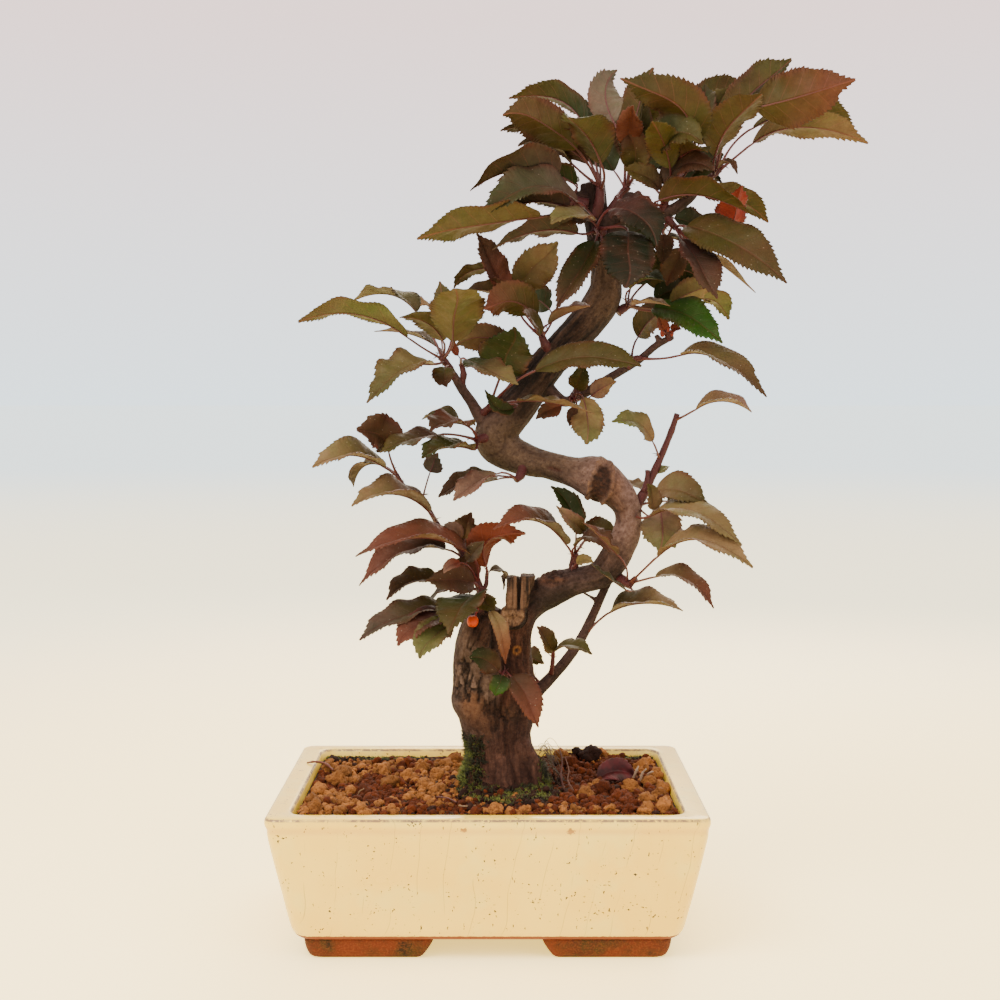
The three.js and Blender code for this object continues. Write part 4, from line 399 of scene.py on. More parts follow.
        [[6.5, 108.5, -12], [6, 108, -14.5], [4.5, 103.5, -17], [3, 98.8, -18], 4.5, FRONT, GREEN, VIVID],
        [[7.5, 108.5, -12], [10, 107.5, -13.5], [17, 98, -17], [22, 84.5, -20],
            6.6, FRONT_RIGHT, BROWN, RUST],
    ],
    "shoot_left": [
        [[-40, 196, 0], [-43.5, 206.5, -3], [-48, 214, -7], [-57.5, 216, -11], 8, FRONT, BROWN, BROWN],
        [[-36, 190.5, 0], [-45, 199.7, -6], [-61, 205, -10], [-77, 199.5, -13], 9, UP_FRONT, OLIVE, TAN],
        [[-36, 190.5, 0], [-46, 200.5, 4], [-54.5, 200, 8], [-59, 191, 11], 6.5, UP_FRONT, OLIVE, OLIVE],
        [[-29, 185, 1], [-25.5, 197.5, 3], [-24, 201.5, 4], [-22, 206, 5], 4.5, UNDER, MAUVE, MAUVE],
        [[-23, 175.5, 1], [-26, 180.5, -5], [-41, 188, -12], [-60, 182.5, -17], 10, UP_FRONT, BROWN, TAN],
        [[-9, 158, -2], [-10.5, 168.5, -3], [-9.5, 174, -5], [-7.5, 180, -8], 6, FRONT, TAN, BROWN],
        [[-13, 163, -1], [-12, 168.5, -4], [-15, 173, -7], [-21, 172.8, -9], 3, FRONT, PINK, MAUVE],
        [[-4.5, 149, -4], [-8.5, 161.8, -9], [-31, 169, -17], [-58.5, 160.5, -23], 9.5, UP_FRONT, RUST, RUST],
        [[-14, 165, 0], [-18, 167.5, 5], [-28, 169.5, 10], [-38.5, 170.7, 14], 6, UP, RUST, BROWN],
        [[-9, 157, -2], [-18.5, 164, -3], [-37, 162.5, -6], [-57, 147.5, -9], 9.5, UP_FRONT, BROWN, RUST],
        [[-4.5, 149, -4], [-12.5, 158, -12], [-16, 157, -15], [-19.7, 153.3, -18], 2.6, FRONT, RED, PINK],
        [[-11, 162, -1], [-13, 163.5, 4], [-10, 167.5, 7], [-3, 168.3, 9], 4, FRONT, BROWN, BROWN],
        [[-0.7, 152, -3], [-1, 161, 2], [-2.5, 169.5, 4], [-7.7, 171, 6], 4, UP_FRONT, RUST, BROWN],
        [[-0.7, 152, -3], [-1, 156, -5], [0, 168, -11], [16.5, 170.7, -17], 8, UNDER_LEFT, RED, RED],
        [[-4, 149, -4], [-9.5, 158.5, -8], [-6, 163, -11], [-2, 167.3, -14], 3.4, FRONT, MAUVE, MAUVE],
        [[-3.5, 149, -4], [-6.5, 158.5, 3], [-3.5, 161, 5], [-0.5, 163, 7], 3.6, FRONT, VIVID, VIVID],
        [[-1, 150, -3], [0.5, 154.5, 1], [6.5, 153.5, 3], [6.3, 145.8, 5], 4, UP_FRONT, OLIVE, BROWN],
        [[-4, 146, -4], [-6.5, 149, -7], [-16, 150.5, -12], [-27.5, 150, -16], 6.5, FRONT, BROWN, BROWN],
        [[-4, 147, -4], [-4.8, 151.5, -3], [-9.5, 155, -3], [-16.5, 156.5, -4], 5.5, FRONT, RUST, BROWN],
        [[-4, 146, -4], [-22, 149.5, -1], [-33, 149.3, -3], [-45, 141.3, -6], 7, UP_FRONT, OLIVE, BROWN],
        [[-4, 145, -4], [-14, 148, 3], [-21, 145.5, 5], [-27.7, 140, 7], 5.5, UP_FRONT, BROWN, OLIVE],
        [[-4, 143, -5], [-6, 143.8, -9], [-12.5, 137.5, -19], [-18, 126.5, -25],
            11, FRONT_LEFT, GREEN, OLIVE],
        [[-4.5, 142, -4], [-18, 138.5, -4], [-37, 134.5, -8], [-57, 123.5, -12], 8, UP_FRONT, OLIVE, MAUVE],
        [[-4.5, 142, -4], [-17, 136.5, -9], [-30, 131, -13], [-40, 121, -17], 8.5, UP_FRONT, PURPLE, RUST],
        [[-4.5, 141, -5], [-16.5, 131.5, -13], [-24, 125, -17], [-30.5, 115.3, -21],
            7.5, FRONT_LEFT, OLIVE, LIME],
        [[-4, 142, -5], [-4.2, 142.5, -8], [-1, 140, -12], [2.8, 136.5, -14], 4, FRONT, OLIVE, OLIVE],
        [[-3.5, 140, -5], [0.5, 136.5, -14], [5.5, 127, -18], [7.5, 112.8, -16], 3.7, FRONT_RIGHT, TAN, RUST],
    ],
}

# Buds: x, z, depth and radius
BUDS = {
    "spur_with_buds": [[75.5, 258.3, -3.5, 1.7], [77.5, 260, -4, 1.6], [79.3, 258, -3, 1.4]],
}


# Random fields

def lattice_random(cell, seed):
    """A number from 0 to 1 for each lattice cell, mixed from its three whole numbers and the seed."""
    mixed = cell[..., 0] * 73856093 ^ cell[..., 1] * 19349663 ^ cell[..., 2] * 83492791 ^ seed * 374761393
    mixed = (mixed ^ (mixed >> 15)) * 2246822519 & 0xFFFFFFFF
    mixed = (mixed ^ (mixed >> 13)) * 3266489917 & 0xFFFFFFFF
    return ((mixed ^ (mixed >> 16)) & 0xFFFF) / 65535


def noise(points, size, seed=0):
    """Smooth field from -1 to 1: random numbers on a lattice, blended in each of its cells by 3t²-2t³."""
    spot = np.asarray(points) / size
    cell = np.floor(spot).astype(np.int64)
    blend = spot - cell
    blend = blend * blend * (3 - 2 * blend)
    total = 0
    for corner in np.ndindex(2, 2, 2):
        share = np.prod(np.where(corner, blend, 1 - blend), axis=-1)
        total = total + share * lattice_random(cell + corner, seed)
    return 2 * total - 1


def rough(points, size, seed=0, layers=3):
    """Sum of fields, each half as large and half as strong as the one before."""
    return sum(noise(points, size / 2**k, seed + k) / 2**k for k in range(layers))


def cells(points, size, seed=0):
    """Cell pattern from one random place in each lattice cell.

    Returns how much farther the second nearest place is than the nearest, in cells, which is 0 on the
    borders, and a number from 0 to 1 for the nearest.
    """
    spot = np.asarray(points) / size
    cell = np.floor(spot).astype(np.int64)
    nearest = np.full(spot.shape[:-1], 9.0)
    second = nearest.copy()
    mark = np.zeros(spot.shape[:-1])
    for step in np.ndindex(3, 3, 3):
        neighbour = cell + step - 1
        place = neighbour + np.stack([lattice_random(neighbour, seed + axis) for axis in range(3)], -1)
        distance = np.linalg.norm(place - spot, axis=-1)
        second = np.minimum(second, np.maximum(nearest, distance))
        mark = np.where(distance < nearest, lattice_random(neighbour, seed + 3), mark)
        nearest = np.minimum(nearest, distance)
    return second - nearest, mark


def ease(value, low, high):
    """0 below low, 1 above high, and 3t²-2t³ between."""
    t = np.clip((value - low) / (high - low), 0, 1)
    return t * t * (3 - 2 * t)


# Colours

def colour(code):
    """Linear red, green and blue of a colour written as 0xRRGGBB, by the power 2.4 law of screens."""
    parts = np.array([code >> 16 & 255, code >> 8 & 255, code & 255]) / 255
    return np.where(parts > 0.04045, ((parts + 0.055) / 1.055) ** 2.4, parts / 12.92)


def blend_colours(first, second, share):
    """first·(1-share) + second·share, point by point."""
    share = np.asarray(share)[..., None]
    return np.asarray(first) * (1 - share) + np.asarray(second) * share


# Lines and skins

def seen(rows):
    """Real places of rows that start with x, z, depth: the eye's ray to (x, 0, z), carried to depth."""
    rows = np.asarray(rows, float)
    on_plane = np.stack([rows[..., 0], np.zeros(rows.shape[:-1]), rows[..., 1]], -1)
    return EYE + (on_plane - EYE) * ((rows[..., 2:3] - EYE[1]) / -EYE[1])


def unit(vectors):
    """Each vector divided by its length."""
    return vectors / np.linalg.norm(vectors, axis=-1, keepdims=True)


def parabola(start, control, end, t):
    """start·(1-t)² + control·2t(1-t) + end·t²."""
    return start * (1 - t) ** 2 + control * 2 * t * (1 - t) + end * t**2


def smooth_line(rows, steps):
    """Curve through the rows: each span blends its two rows and the two beside them by cubic weights that
    make it pass through its ends with the slope of the line between their neighbours."""
    rows = np.asarray(rows, float)
    ends = np.vstack([2 * rows[0] - rows[1], rows, 2 * rows[-1] - rows[-2]])
    t = np.linspace(0, 1, steps, endpoint=False)[None, :, None]
    a, b, c, d = (ends[i:len(ends) - 3 + i, None, :] for i in range(4))
    spans = b + 0.5 * t * (c - a + t * (2 * a - 5 * b + 4 * c - d + t * (3 * (b - c) + d - a)))
    return np.vstack([spans.reshape(-1, rows.shape[1]), rows[-1:]])


def arc_length(path):
    """How far each place of a path lies from its start, along it."""
    return np.concatenate([[0], np.cumsum(np.linalg.norm(np.diff(path, axis=0), axis=1))])


def directions(path):
    """Unit vectors along a path and two square to it. The first square one is the axis that the path
    keeps furthest from, made square to the path."""
    along = unit(np.gradient(path, axis=0))
    axis = np.abs(along).max(0).argmin()
    across = unit(np.eye(3)[axis] - along * along[:, axis:axis + 1])
    return along, across, np.cross(along, across)


def tube(path, radii, sides):
    """Rings round a path: place + radius·(cos·across + sin·other)."""
    _, across, other = directions(path)
    turn = np.linspace(0, 2 * np.pi, sides, endpoint=False)[None, :, None]
    ring = np.cos(turn) * across[:, None] + np.sin(turn) * other[:, None]
    return path[:, None] + np.asarray(radii)[:, None, None] * ring


def tube_uv(path, sides):
    """UV of a tube: arc length along it in centimetres, and the turn from 0 to 1."""
    arc = arc_length(path) / 10
    return np.stack(np.broadcast_arrays(arc[:, None], np.linspace(0, 1, sides)[None, :]), -1)


def rounded_rectangle(half_x, half_y, corner, z, arc=8, straight=16):
    """Rings round a rectangle with round corners, anticlockwise from above, one for each z: quarter
    circles of the corner's radius, joined by evenly divided straight sides."""
    sizes = np.broadcast_arrays(*map(np.atleast_1d, (half_x, half_y, corner, z)))
    half_x, half_y, corner, z = (size[:, None] for size in sizes)
    turn = np.linspace(0, np.pi / 2, arc + 1)[None, :]
    parts = []
    for quarter, (sign_x, sign_y) in enumerate(CORNERS):
        angle = turn + quarter * np.pi / 2
        x = sign_x * (half_x - corner) + corner * np.cos(angle)
        y = sign_y * (half_y - corner) + corner * np.sin(angle)
        parts.append(np.stack(np.broadcast_arrays(x, y, z), -1))
    rings = []
    share = np.linspace(0, 1, straight + 1)[None, 1:-1, None]
    for part, following in zip(parts, parts[1:] + parts[:1]):
        rings += [part, part[:, -1:] * (1 - share) + following[:, :1] * share]
    return np.concatenate(rings, axis=1)


class Skin:
    """Closed skins gathered into one mesh: each point has a UV place and a tint, each face a finish."""

    def __init__(self):
        self.points, self.uvs, self.tints = [], [], []
        self.corners, self.sizes, self.finishes = [], [], []
        self.count = 0

    def gather(self, points, corners, sizes, tint, finish, uv):
        """Notes down points, the faces' corners and how many corners each face has."""
        count = len(points)
        tint = np.asarray(tint, float)
        tint = np.broadcast_to(tint.reshape(-1, tint.shape[-1]), (count, tint.shape[-1]))
        if tint.shape[1] == 3:
            tint = np.hstack([tint, np.ones((count, 1))])
        self.points.append(points)
        self.tints.append(tint)
        self.uvs.append(np.zeros((count, 2)) if uv is None else uv.reshape(-1, 2))
        self.corners.append(corners + self.count)
        self.sizes.append(sizes)
        self.finishes.append(np.full(len(sizes), finish))
        self.count += count

    def add(self, rings, tint=WHITE, finish=0, uv=None):
        """Quads between neighbouring rings of a (stations, around, 3) grid, and a flat face on each end."""
        stations, around = rings.shape[:2]
        index = np.arange(stations * around).reshape(stations, around)
        following = np.roll(index, -1, axis=1)
        quads = np.stack([index[:-1], following[:-1], following[1:], index[1:]], -1)
        corners = np.concatenate([quads.ravel(), index[0][::-1], index[-1]])
        sizes = np.concatenate([np.full(quads.size // 4, 4), [around, around]])
        self.gather(rings.reshape(-1, 3), corners, sizes, tint, finish, uv)

    def add_tube(self, path, radii, sides, tint, finish=0):
        """A tube along a path, with the UV that stretches along it."""
        self.add(tube(path, radii, sides), tint, finish, tube_uv(path, sides))

    def add_copies(self, points, triangles, tint):
        """The same triangles for each of many point sets: points is (copies, points of one, 3)."""
        copies, each = points.shape[:2]
        corners = triangles[None] + each * np.arange(copies)[:, None, None]
        sizes = np.full(copies * len(triangles), 3)
        tint = np.broadcast_to(tint[:, None], (copies, each, tint.shape[-1])) if tint.ndim == 2 else tint
        self.gather(points.reshape(-1, 3), corners.ravel(), sizes, tint, 0, None)

    def mesh(self, name):
        """The gathered skins as one Blender mesh in metres, in the part's frame."""
        mesh = bpy.data.meshes.new(name)
        corners = np.concatenate(self.corners).astype(np.int32)
        sizes = np.concatenate(self.sizes).astype(np.int32)
        mesh.vertices.add(self.count)
        mesh.vertices.foreach_set("co", to_part(np.vstack(self.points)).ravel())
        mesh.loops.add(len(corners))
        mesh.loops.foreach_set("vertex_index", corners)
        mesh.polygons.add(len(sizes))
        mesh.polygons.foreach_set("loop_start", np.concatenate([[0], np.cumsum(sizes)[:-1]]).astype(np.int32))
        mesh.polygons.foreach_set("material_index", np.concatenate(self.finishes).astype(np.int32))
        mesh.update(calc_edges=True)
        mesh.uv_layers.new(name="Own").data.foreach_set("uv", np.vstack(self.uvs)[corners].ravel())
        set_colours(mesh, "tint", np.vstack(self.tints))
        mesh.shade_smooth()
        return mesh

    def piece(self, name, materials, replaced=()):
        """The gathered skins as a piece of the model."""
        place_piece(name, self.mesh(name), materials, replaced)


def to_part(points):
    """Millimetres in the pot's frame to metres in the part's frame."""
    return points * MM + POT_PLACE


def set_colours(mesh, name, colours):
    """One colour with its fourth value for each point, kept as an attribute that materials read."""
    attribute = mesh.attributes.get(name) or mesh.attributes.new(name, "FLOAT_COLOR", "POINT")
    attribute.data.foreach_set("color", colours.astype(np.float32).ravel())


def ball(detail):
    """Points on a unit ball and its triangles: an icosahedron whose faces are split detail - 1 times."""
    made = bmesh.new()
    bmesh.ops.create_icosphere(made, subdivisions=detail, radius=1)
    points = np.array([v.co[:] for v in made.verts])
    triangles = np.array([[v.index for v in f.verts] for f in made.faces])
    made.free()
    return points, triangles


def new_object(name, data):
    """An object in the scene that holds the data."""
    made = bpy.data.objects.new(name, data)
    bpy.context.scene.collection.objects.link(made)
    return made


def finished_mesh(holder):
    """The mesh of an object with its modifiers carried out."""
    depsgraph = bpy.context.evaluated_depsgraph_get()
    return bpy.data.meshes.new_from_object(holder.evaluated_get(depsgraph))


def place_piece(name, mesh, materials, replaced=()):
    """The mesh as a piece that rides on the part's one body and stands for the replaced nodes."""
    made = new_object(name, mesh)
    for material in materials:
        mesh.materials.append(material)
    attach(made, "root")
    if replaced:
        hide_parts(*replaced)


# Materials

class Finish:
    """A procedural material. Each call adds one node, links what is a socket and sets what is a value.
    A colour may be written as 0xRRGGBB or as linear red, green and blue."""

    def __init__(self, name, **values):
        self.material = bpy.data.materials.new(name)
        self.material.use_nodes = True
        self.tree = self.material.node_tree
        self.tree.nodes.clear()
        self.output = self.tree.nodes.new("ShaderNodeOutputMaterial")
        self.shader = self.node("BsdfPrincipled")
        self.set(**values)
        self.tree.links.new(self.shader.outputs[0], self.output.inputs["Surface"])

    def feed(self, socket, value):
        if isinstance(value, bpy.types.NodeSocket):
            self.tree.links.new(value, socket)
        elif socket.type == "RGBA":
            socket.default_value = (*(colour(value) if isinstance(value, int) else value), 1)
        else:
            socket.default_value = value

    def node(self, kind, inputs=None, **settings):
        made = self.tree.nodes.new("ShaderNode" + kind)
        for key, value in settings.items():
            setattr(made, key, value)
        for key, value in (inputs or {}).items():
            self.feed(made.inputs[key], value)
        return made

    def set(self, **inputs):
        for key, value in inputs.items():
            self.feed(self.shader.inputs[key.replace("_", " ")], value)

    def place(self):
        return self.node("TexCoord").outputs["Object"]

    def uv(self):
        return self.node("UVMap", uv_map="Own").outputs["UV"]

    def attribute(self, name="tint"):
        return self.node("Attribute", attribute_name=name).outputs

    def scaled(self, vector, scale):
        return self.node("Mapping", {"Vector": vector, "Scale": scale}).outputs[0]

    def parts(self, vector):
        return self.node("SeparateXYZ", {"Vector": vector}).outputs

    def math(self, operation, first, second=0.0, third=0.0):
        return self.node("Math", {0: first, 1: second, 2: third}, operation=operation).outputs[0]

    def times(self, first, second):
        return self.math("MULTIPLY", first, second)

    def plus(self, first, second):
        return self.math("ADD", first, second)

    def noise(self, vector, scale, detail=3.0, roughness=0.55):
        inputs = {"Vector": vector, "Scale": scale, "Detail": detail, "Roughness": roughness}
        return self.node("TexNoise", inputs).outputs["Fac"]

    def cells(self, vector, scale, feature="F1"):
        made = self.node("TexVoronoi", {"Vector": vector, "Scale": scale}, feature=feature)
        return made.outputs["Distance"]

    def range(self, value, low, high, to_low=0.0, to_high=1.0, shape="SMOOTHSTEP"):
        inputs = {"Value": value, "From Min": low, "From Max": high, "To Min": to_low, "To Max": to_high}
        return self.node("MapRange", inputs, interpolation_type=shape).outputs[0]

    def mix(self, share, first, second, blend="MIX"):
        made = self.node("Mix", data_type="RGBA", blend_type=blend)
        for index, value in ((0, share), (6, first), (7, second)):
            self.feed(made.inputs[index], value)
        return made.outputs[2]

    def toned(self, base, tone, share=1.0):
        """The base, by this share multiplied with a tone."""
        return self.mix(share, base, tone, "MULTIPLY")

    def bump(self, height, distance, strength=1.0):
        return self.node("Bump", {"Height": height, "Distance": distance, "Strength": strength}).outputs[0]


# Leaves

# Places across a blade, from its left edge at 1 to its right edge at -1
ACROSS = np.array([1, 0.96, 0.78, 0.52, 0.28, 0.1, 0, -0.1, -0.28, -0.52, -0.78, -0.96, -1])
BLADE_FOLD = radians(15)
VEINS = 7

# A tooth's points: how far along its pitch and how far out, as a share of its depth, which is itself a
# share of the blade's half width up to a most
TOOTH_PHASES = [0.0, 0.5, 0.86]
TOOTH_OUTLINE = [0.0, 0.62, 1.0]
TOOTH_PITCH = 1.75
TOOTH_DEPTH = {"share": 0.115, "most": 1.05}


def blade_width(u, half_width, fullest):
    """Half width of a blade at u from 0 at its base to 1 at its tip: u^a·(1-u)^b, drawn in near the tip so
    that the tip stands out, and made half_width at its most. fullest is where it is widest."""
    a, b = 1.5 * fullest, 1.5 * (1 - fullest)
    peak = fullest**a * (1 - fullest) ** b
    tip = 1 - 0.42 * ease(u, 0.8, 0.93) * (1 - ease(u, 0.93, 1.06))
    return half_width * u**a * (1 - u) ** b / peak * tip


def rib_line(u, rib, face, sway=0.0):
    """The midrib at u and its directions there: a parabola through its base, middle and tip, swayed to the
    side by sway·sin(2πu)·u. side is face × along, and up is along × side."""
    base, middle, tip = rib
    control = 2 * middle - (base + tip) / 2
    u = np.asarray(u, float)[:, None]
    place = parabola(base, control, tip, u)
    along = unit((control - base) * (1 - u) + (tip - control) * u)
    side = unit(np.cross(np.asarray(face, float), along))
    place = place + side * sway * np.sin(2 * np.pi * u) * u
    return place, along, side, np.cross(along, side)


def vein_phase(u, across):
    """Counts the side veins: they leave the midrib and lean forward as they near the edge, by 1.5 veins
    less .35 of the square of how near, and the two halves of the blade take turns."""
    lean = np.abs(across)
    return VEINS * u - 1.5 * lean + 0.35 * lean**2 + 0.5 * (across > 0)


def blade_habit(half_width, random):
    """How one blade grows: its fold, twist, sway, uneven halves, waves and where it is fullest."""
    return {
        "fold": radians(random.uniform(10, 30)),
        "twist": random.uniform(-0.5, 0.5),
        "sway": half_width * random.uniform(-0.16, 0.16),
        "halves": 1 + random.uniform(-0.09, 0.09) * np.array([1, -1]),
        "waves": random.uniform(0.05, 0.17, 2),
        "wave_count": random.uniform(1.4, 3.4, 2),
        "wave_start": random.random(2),
        "fullest": random.uniform(0.36, 0.5),
        "bite": random.random(2) * [1, 0.5] + [0, 0.3],
    }


def blade(rib, face, half_width, random):
    """A leaf blade: its section is carried along the midrib, one half to each side, folded up from the
    midrib, with hooked saw teeth on both edges, bulges between the side veins and waves along the edges.
    Rings go over the upper side from left to right and back below it."""
    habit = blade_habit(half_width, random)
    length = np.linalg.norm(rib[1] - rib[0]) + np.linalg.norm(rib[2] - rib[1])
    teeth = int(np.clip(round(length / TOOTH_PITCH), 6, 30))
    phases = (np.arange(teeth)[:, None] + TOOTH_PHASES).ravel() / teeth
    u = np.concatenate([phases, [0.995]])
    u[0] = 0.006
    outline = np.concatenate([np.tile(TOOTH_OUTLINE, teeth), [0]])
    place, along, side, up = rib_line(u, rib, face, habit["sway"])
    width = blade_width(u, half_width, habit["fullest"]) * np.cos(BLADE_FOLD) / np.cos(habit["fold"])
    twist = (habit["twist"] * (u - 0.35))[:, None]
    side, up = side * np.cos(twist) + up * np.sin(twist), up * np.cos(twist) - side * np.sin(twist)

    left = ACROSS > 0
    lean = np.abs(ACROSS)[None, :]
    edge = lean > 0.9
    uneven = np.repeat(random.uniform(0.35, 1.25, (teeth, 2)), len(TOOTH_PHASES), axis=0)
    uneven = np.vstack([uneven, uneven[-1:]])
    tooth = min(TOOTH_DEPTH["most"], TOOTH_DEPTH["share"] * half_width) * outline
    tooth = (tooth * ease(u, 0.03, 0.18) * (1 - 0.75 * ease(u, 0.88, 1)))[:, None] * uneven
    wave = habit["waves"] * np.sin(2 * np.pi * (habit["wave_count"] * u[:, None] + habit["wave_start"]))
    bite = 1 - 0.3 * (habit["bite"][1] > 0.62) * np.exp(-(((u - habit["bite"][0]) / 0.035) ** 2))
    pairs = (tooth, wave, habit["halves"][None])
    tooth, wave, halves = (np.where(left, pair[..., :1], pair[..., 1:]) for pair in pairs)
    halves = halves * np.where(left, bite[:, None], 1)

    spread = lean * width[:, None] * halves
    reach = np.sign(ACROSS) * (spread * np.cos(habit["fold"]) + edge * tooth)
    slope = np.sin(habit["fold"]) * (1.25 - 0.25 * lean)
    lift = spread * slope + width[:, None] * wave * lean**2
    phase = vein_phase(u[:, None], ACROSS[None, :])
    bulge = np.sin(np.pi * phase) ** 2 * lean * (1 - lean) * 4
    lift = lift + 0.045 * half_width * bulge * ease(u, 0, 0.15)[:, None] * (1 - ease(u, 0.8, 1))[:, None]
    lift = lift - edge * tooth * 0.25
    forward = along[:, None] * (edge * tooth * 0.5)[..., None]
    upper = place[:, None] + side[:, None] * reach[..., None] + up[:, None] * lift[..., None] + forward
    thickness = LEAF_THICKNESS * np.where(lean >= 1, 0.5, 1)[0]
    lower = upper - up[:, None] * thickness[:, None]
    upper[:, [0, -1]] = lower[:, [0, -1]]
    rings = np.concatenate([upper, lower[:, -2:0:-1]], axis=1)
    v = 0.5 + 0.5 * ACROSS[None, :] * (width / half_width)[:, None]
    uv = np.stack([np.broadcast_to(u[:, None], v.shape), v], -1)
    return rings, np.concatenate([uv, uv[:, -2:0:-1]], axis=1), habit["sway"]


def nearest_on(start, lines):
    """The place on the lines that is nearest to where a stalk was seen to start."""
    best, least = start, np.inf
    for line in lines:
        span = np.diff(line, axis=0)
        share = np.clip(((start - line[:-1]) * span).sum(1) / (span * span).sum(1), 0, 1)
        places = line[:-1] + span * share[:, None]
        distance = np.linalg.norm(places - start, axis=1)
        if distance.min() < least:
            least, best = distance.min(), places[distance.argmin()]
    return best


def stalk(start, rib, face, half_width, sway):
    """A leaf's stalk: a parabola from the twig that runs into the midrib, then the midrib itself, which
    stands out below the blade and thins towards the tip."""
    joint, along = (part[0] for part in rib_line([0.0], rib, face)[:2])
    reach = np.linalg.norm(start - joint)
    bend = joint - STALK_BEND * reach * along
    t = np.linspace(0, 1, max(4, int(reach / 2.5)) + 1)[:-1, None]
    petiole = parabola(start, bend, joint, t)
    size = STALK_RADIUS * min(1.15, 0.55 + half_width / 16)
    u = np.linspace(0.02, 0.93, 12)
    place, _, _, up = rib_line(u, rib, face, sway)
    thinning = size * (0.62 * (1 - u) ** 1.1 + 0.10)
    under = place - up * (LEAF_THICKNESS / 2 + 0.55 * thinning)[:, None]
    foot = 1 + 0.9 * (1 - t[:, 0]) ** 6
    return np.vstack([petiole, under]), np.concatenate([size * foot, thinning])


def leaf_tints(rib, face, near_base, near_tip, u, random):
    """Colours of both sides of a blade along u. The named colours are those of the side that shows from
    the front, as seen, so they are scaled to what the light makes of them. The other side of the leaf is
    paler if it is the under side and darker if the upper."""
    place, _, _, up = (part[0] for part in rib_line([0.4], rib, face))
    shade = LIGHT_SHARE * (1 + random.uniform(-0.18, 0.14))
    shown = blend_colours(colour(near_base), colour(near_tip), ease(u, 0.1, 0.95)) * shade
    if up @ (EYE - place) > 0:
        return shown, blend_colours(shown, LIGHT_SHARE * colour(PALE_UNDER_SIDE), 0.5)
    return blend_colours(shown, LIGHT_SHARE * colour(DARK_UPPER_SIDE), 0.6), shown


def stipules(path, random):
    """Two small hooked scales at a stalk's foot: thin horns that leave the stalk and curl back, as lines
    start + t·out + t²·curl."""
    start, along = path[1], unit(path[2] - path[0])
    horns = []
    for sign in (1, -1):
        out = unit(np.cross(along, random.standard_normal(3)) + 0.6 * along)
        curl = unit(np.cross(out, along)) * sign
        t = np.linspace(0, 1, 5)[:, None]
        reach = random.uniform(1.3, 2.8)
        horns.append((start + reach * (t * out + 0.45 * t**2 * curl), 0.32 * (1 - t[:, 0]) ** 0.8 + 0.03))
    return horns


def add_leaf(skin, row, twig_lines, random):
    """One leaf of the table: its blade, its stalk from the nearest twig, and the stalk's two stipules. The
    tint's fourth value is 1 on the upper side and 0 below."""
    start, base, middle, tip, half_width, face, near_base, near_tip = row
    rib = seen([[x, z, depth * LEAF_REACH] for x, z, depth in (base, middle, tip)])
    rings, uv, sway = blade(rib, face, half_width, random)
    upper, lower = leaf_tints(rib, face, near_base, near_tip, uv[:, 0, 0], random)
    over = len(ACROSS)
    tint = np.zeros((*rings.shape[:2], 4))
    tint[:, :over, :3] = upper[:, None]
    tint[:, over:, :3] = lower[:, None]
    tint[:, :over, 3] = 1
    skin.add(rings, tint, 0, uv)
    path, radii = stalk(nearest_on(seen([start])[0], twig_lines), rib, face, half_width, sway)
    green_share = random.uniform(0.05, 0.3)
    stalk_tint = blend_colours(colour(0x441018), LIGHT_SHARE * colour(near_base), green_share) * 0.8
    skin.add_tube(path, radii, 6, stalk_tint, 1)
    for horn, thin in stipules(path, random):
        skin.add_tube(horn, thin, 5, stalk_tint * 0.8, 1)


def twig(rows, random):
    """A young twig: a smooth line through its rows, a little thicker at each row, where a bud sits."""
    line = smooth_line(rows, 6)
    path = seen(line)
    node = np.abs(np.linspace(0, len(rows) - 1, len(line)) % 1 - 0.5) * 2
    radii = line[:, 3] * (1 + 0.1 * node**6) * (1 + 0.04 * random.standard_normal(len(line)))
    return path, radii


def bud(row):
    """A bud: an egg with a pointed top, its radius sin(πt)^.7·(1.15-.6t) along its height."""
    place = seen([row])[0]
    radius = row[3]
    t = np.linspace(0.02, 0.98, 9)
    path = place + np.outer((t - 0.5) * 2.8 * radius, [0.15, -0.1, 1])
    return path, radius * 0.85 * np.sin(np.pi * t) ** 0.7 * (1.15 - 0.6 * t)


def make_spray(name, random):
    """A spray: its twigs, its leaves and its buds as one piece."""
    skin = Skin()
    twig_lines = []
    for rows in TWIGS[name]:
        path, radii = twig(rows, random)
        twig_lines.append(seen(rows))
        skin.add_tube(path, radii, 10, colour(0x3C1014), 2)
    for row in LEAVES[name]:
        add_leaf(skin, row, twig_lines, random)
    for row in BUDS.get(name, []):
        path, radii = bud(row)
        skin.add_tube(path, radii, 10, colour(0x7A2A1C), 2)
    skin.piece(name + "_leaves", [LEAF, STALK, TWIG], [name])


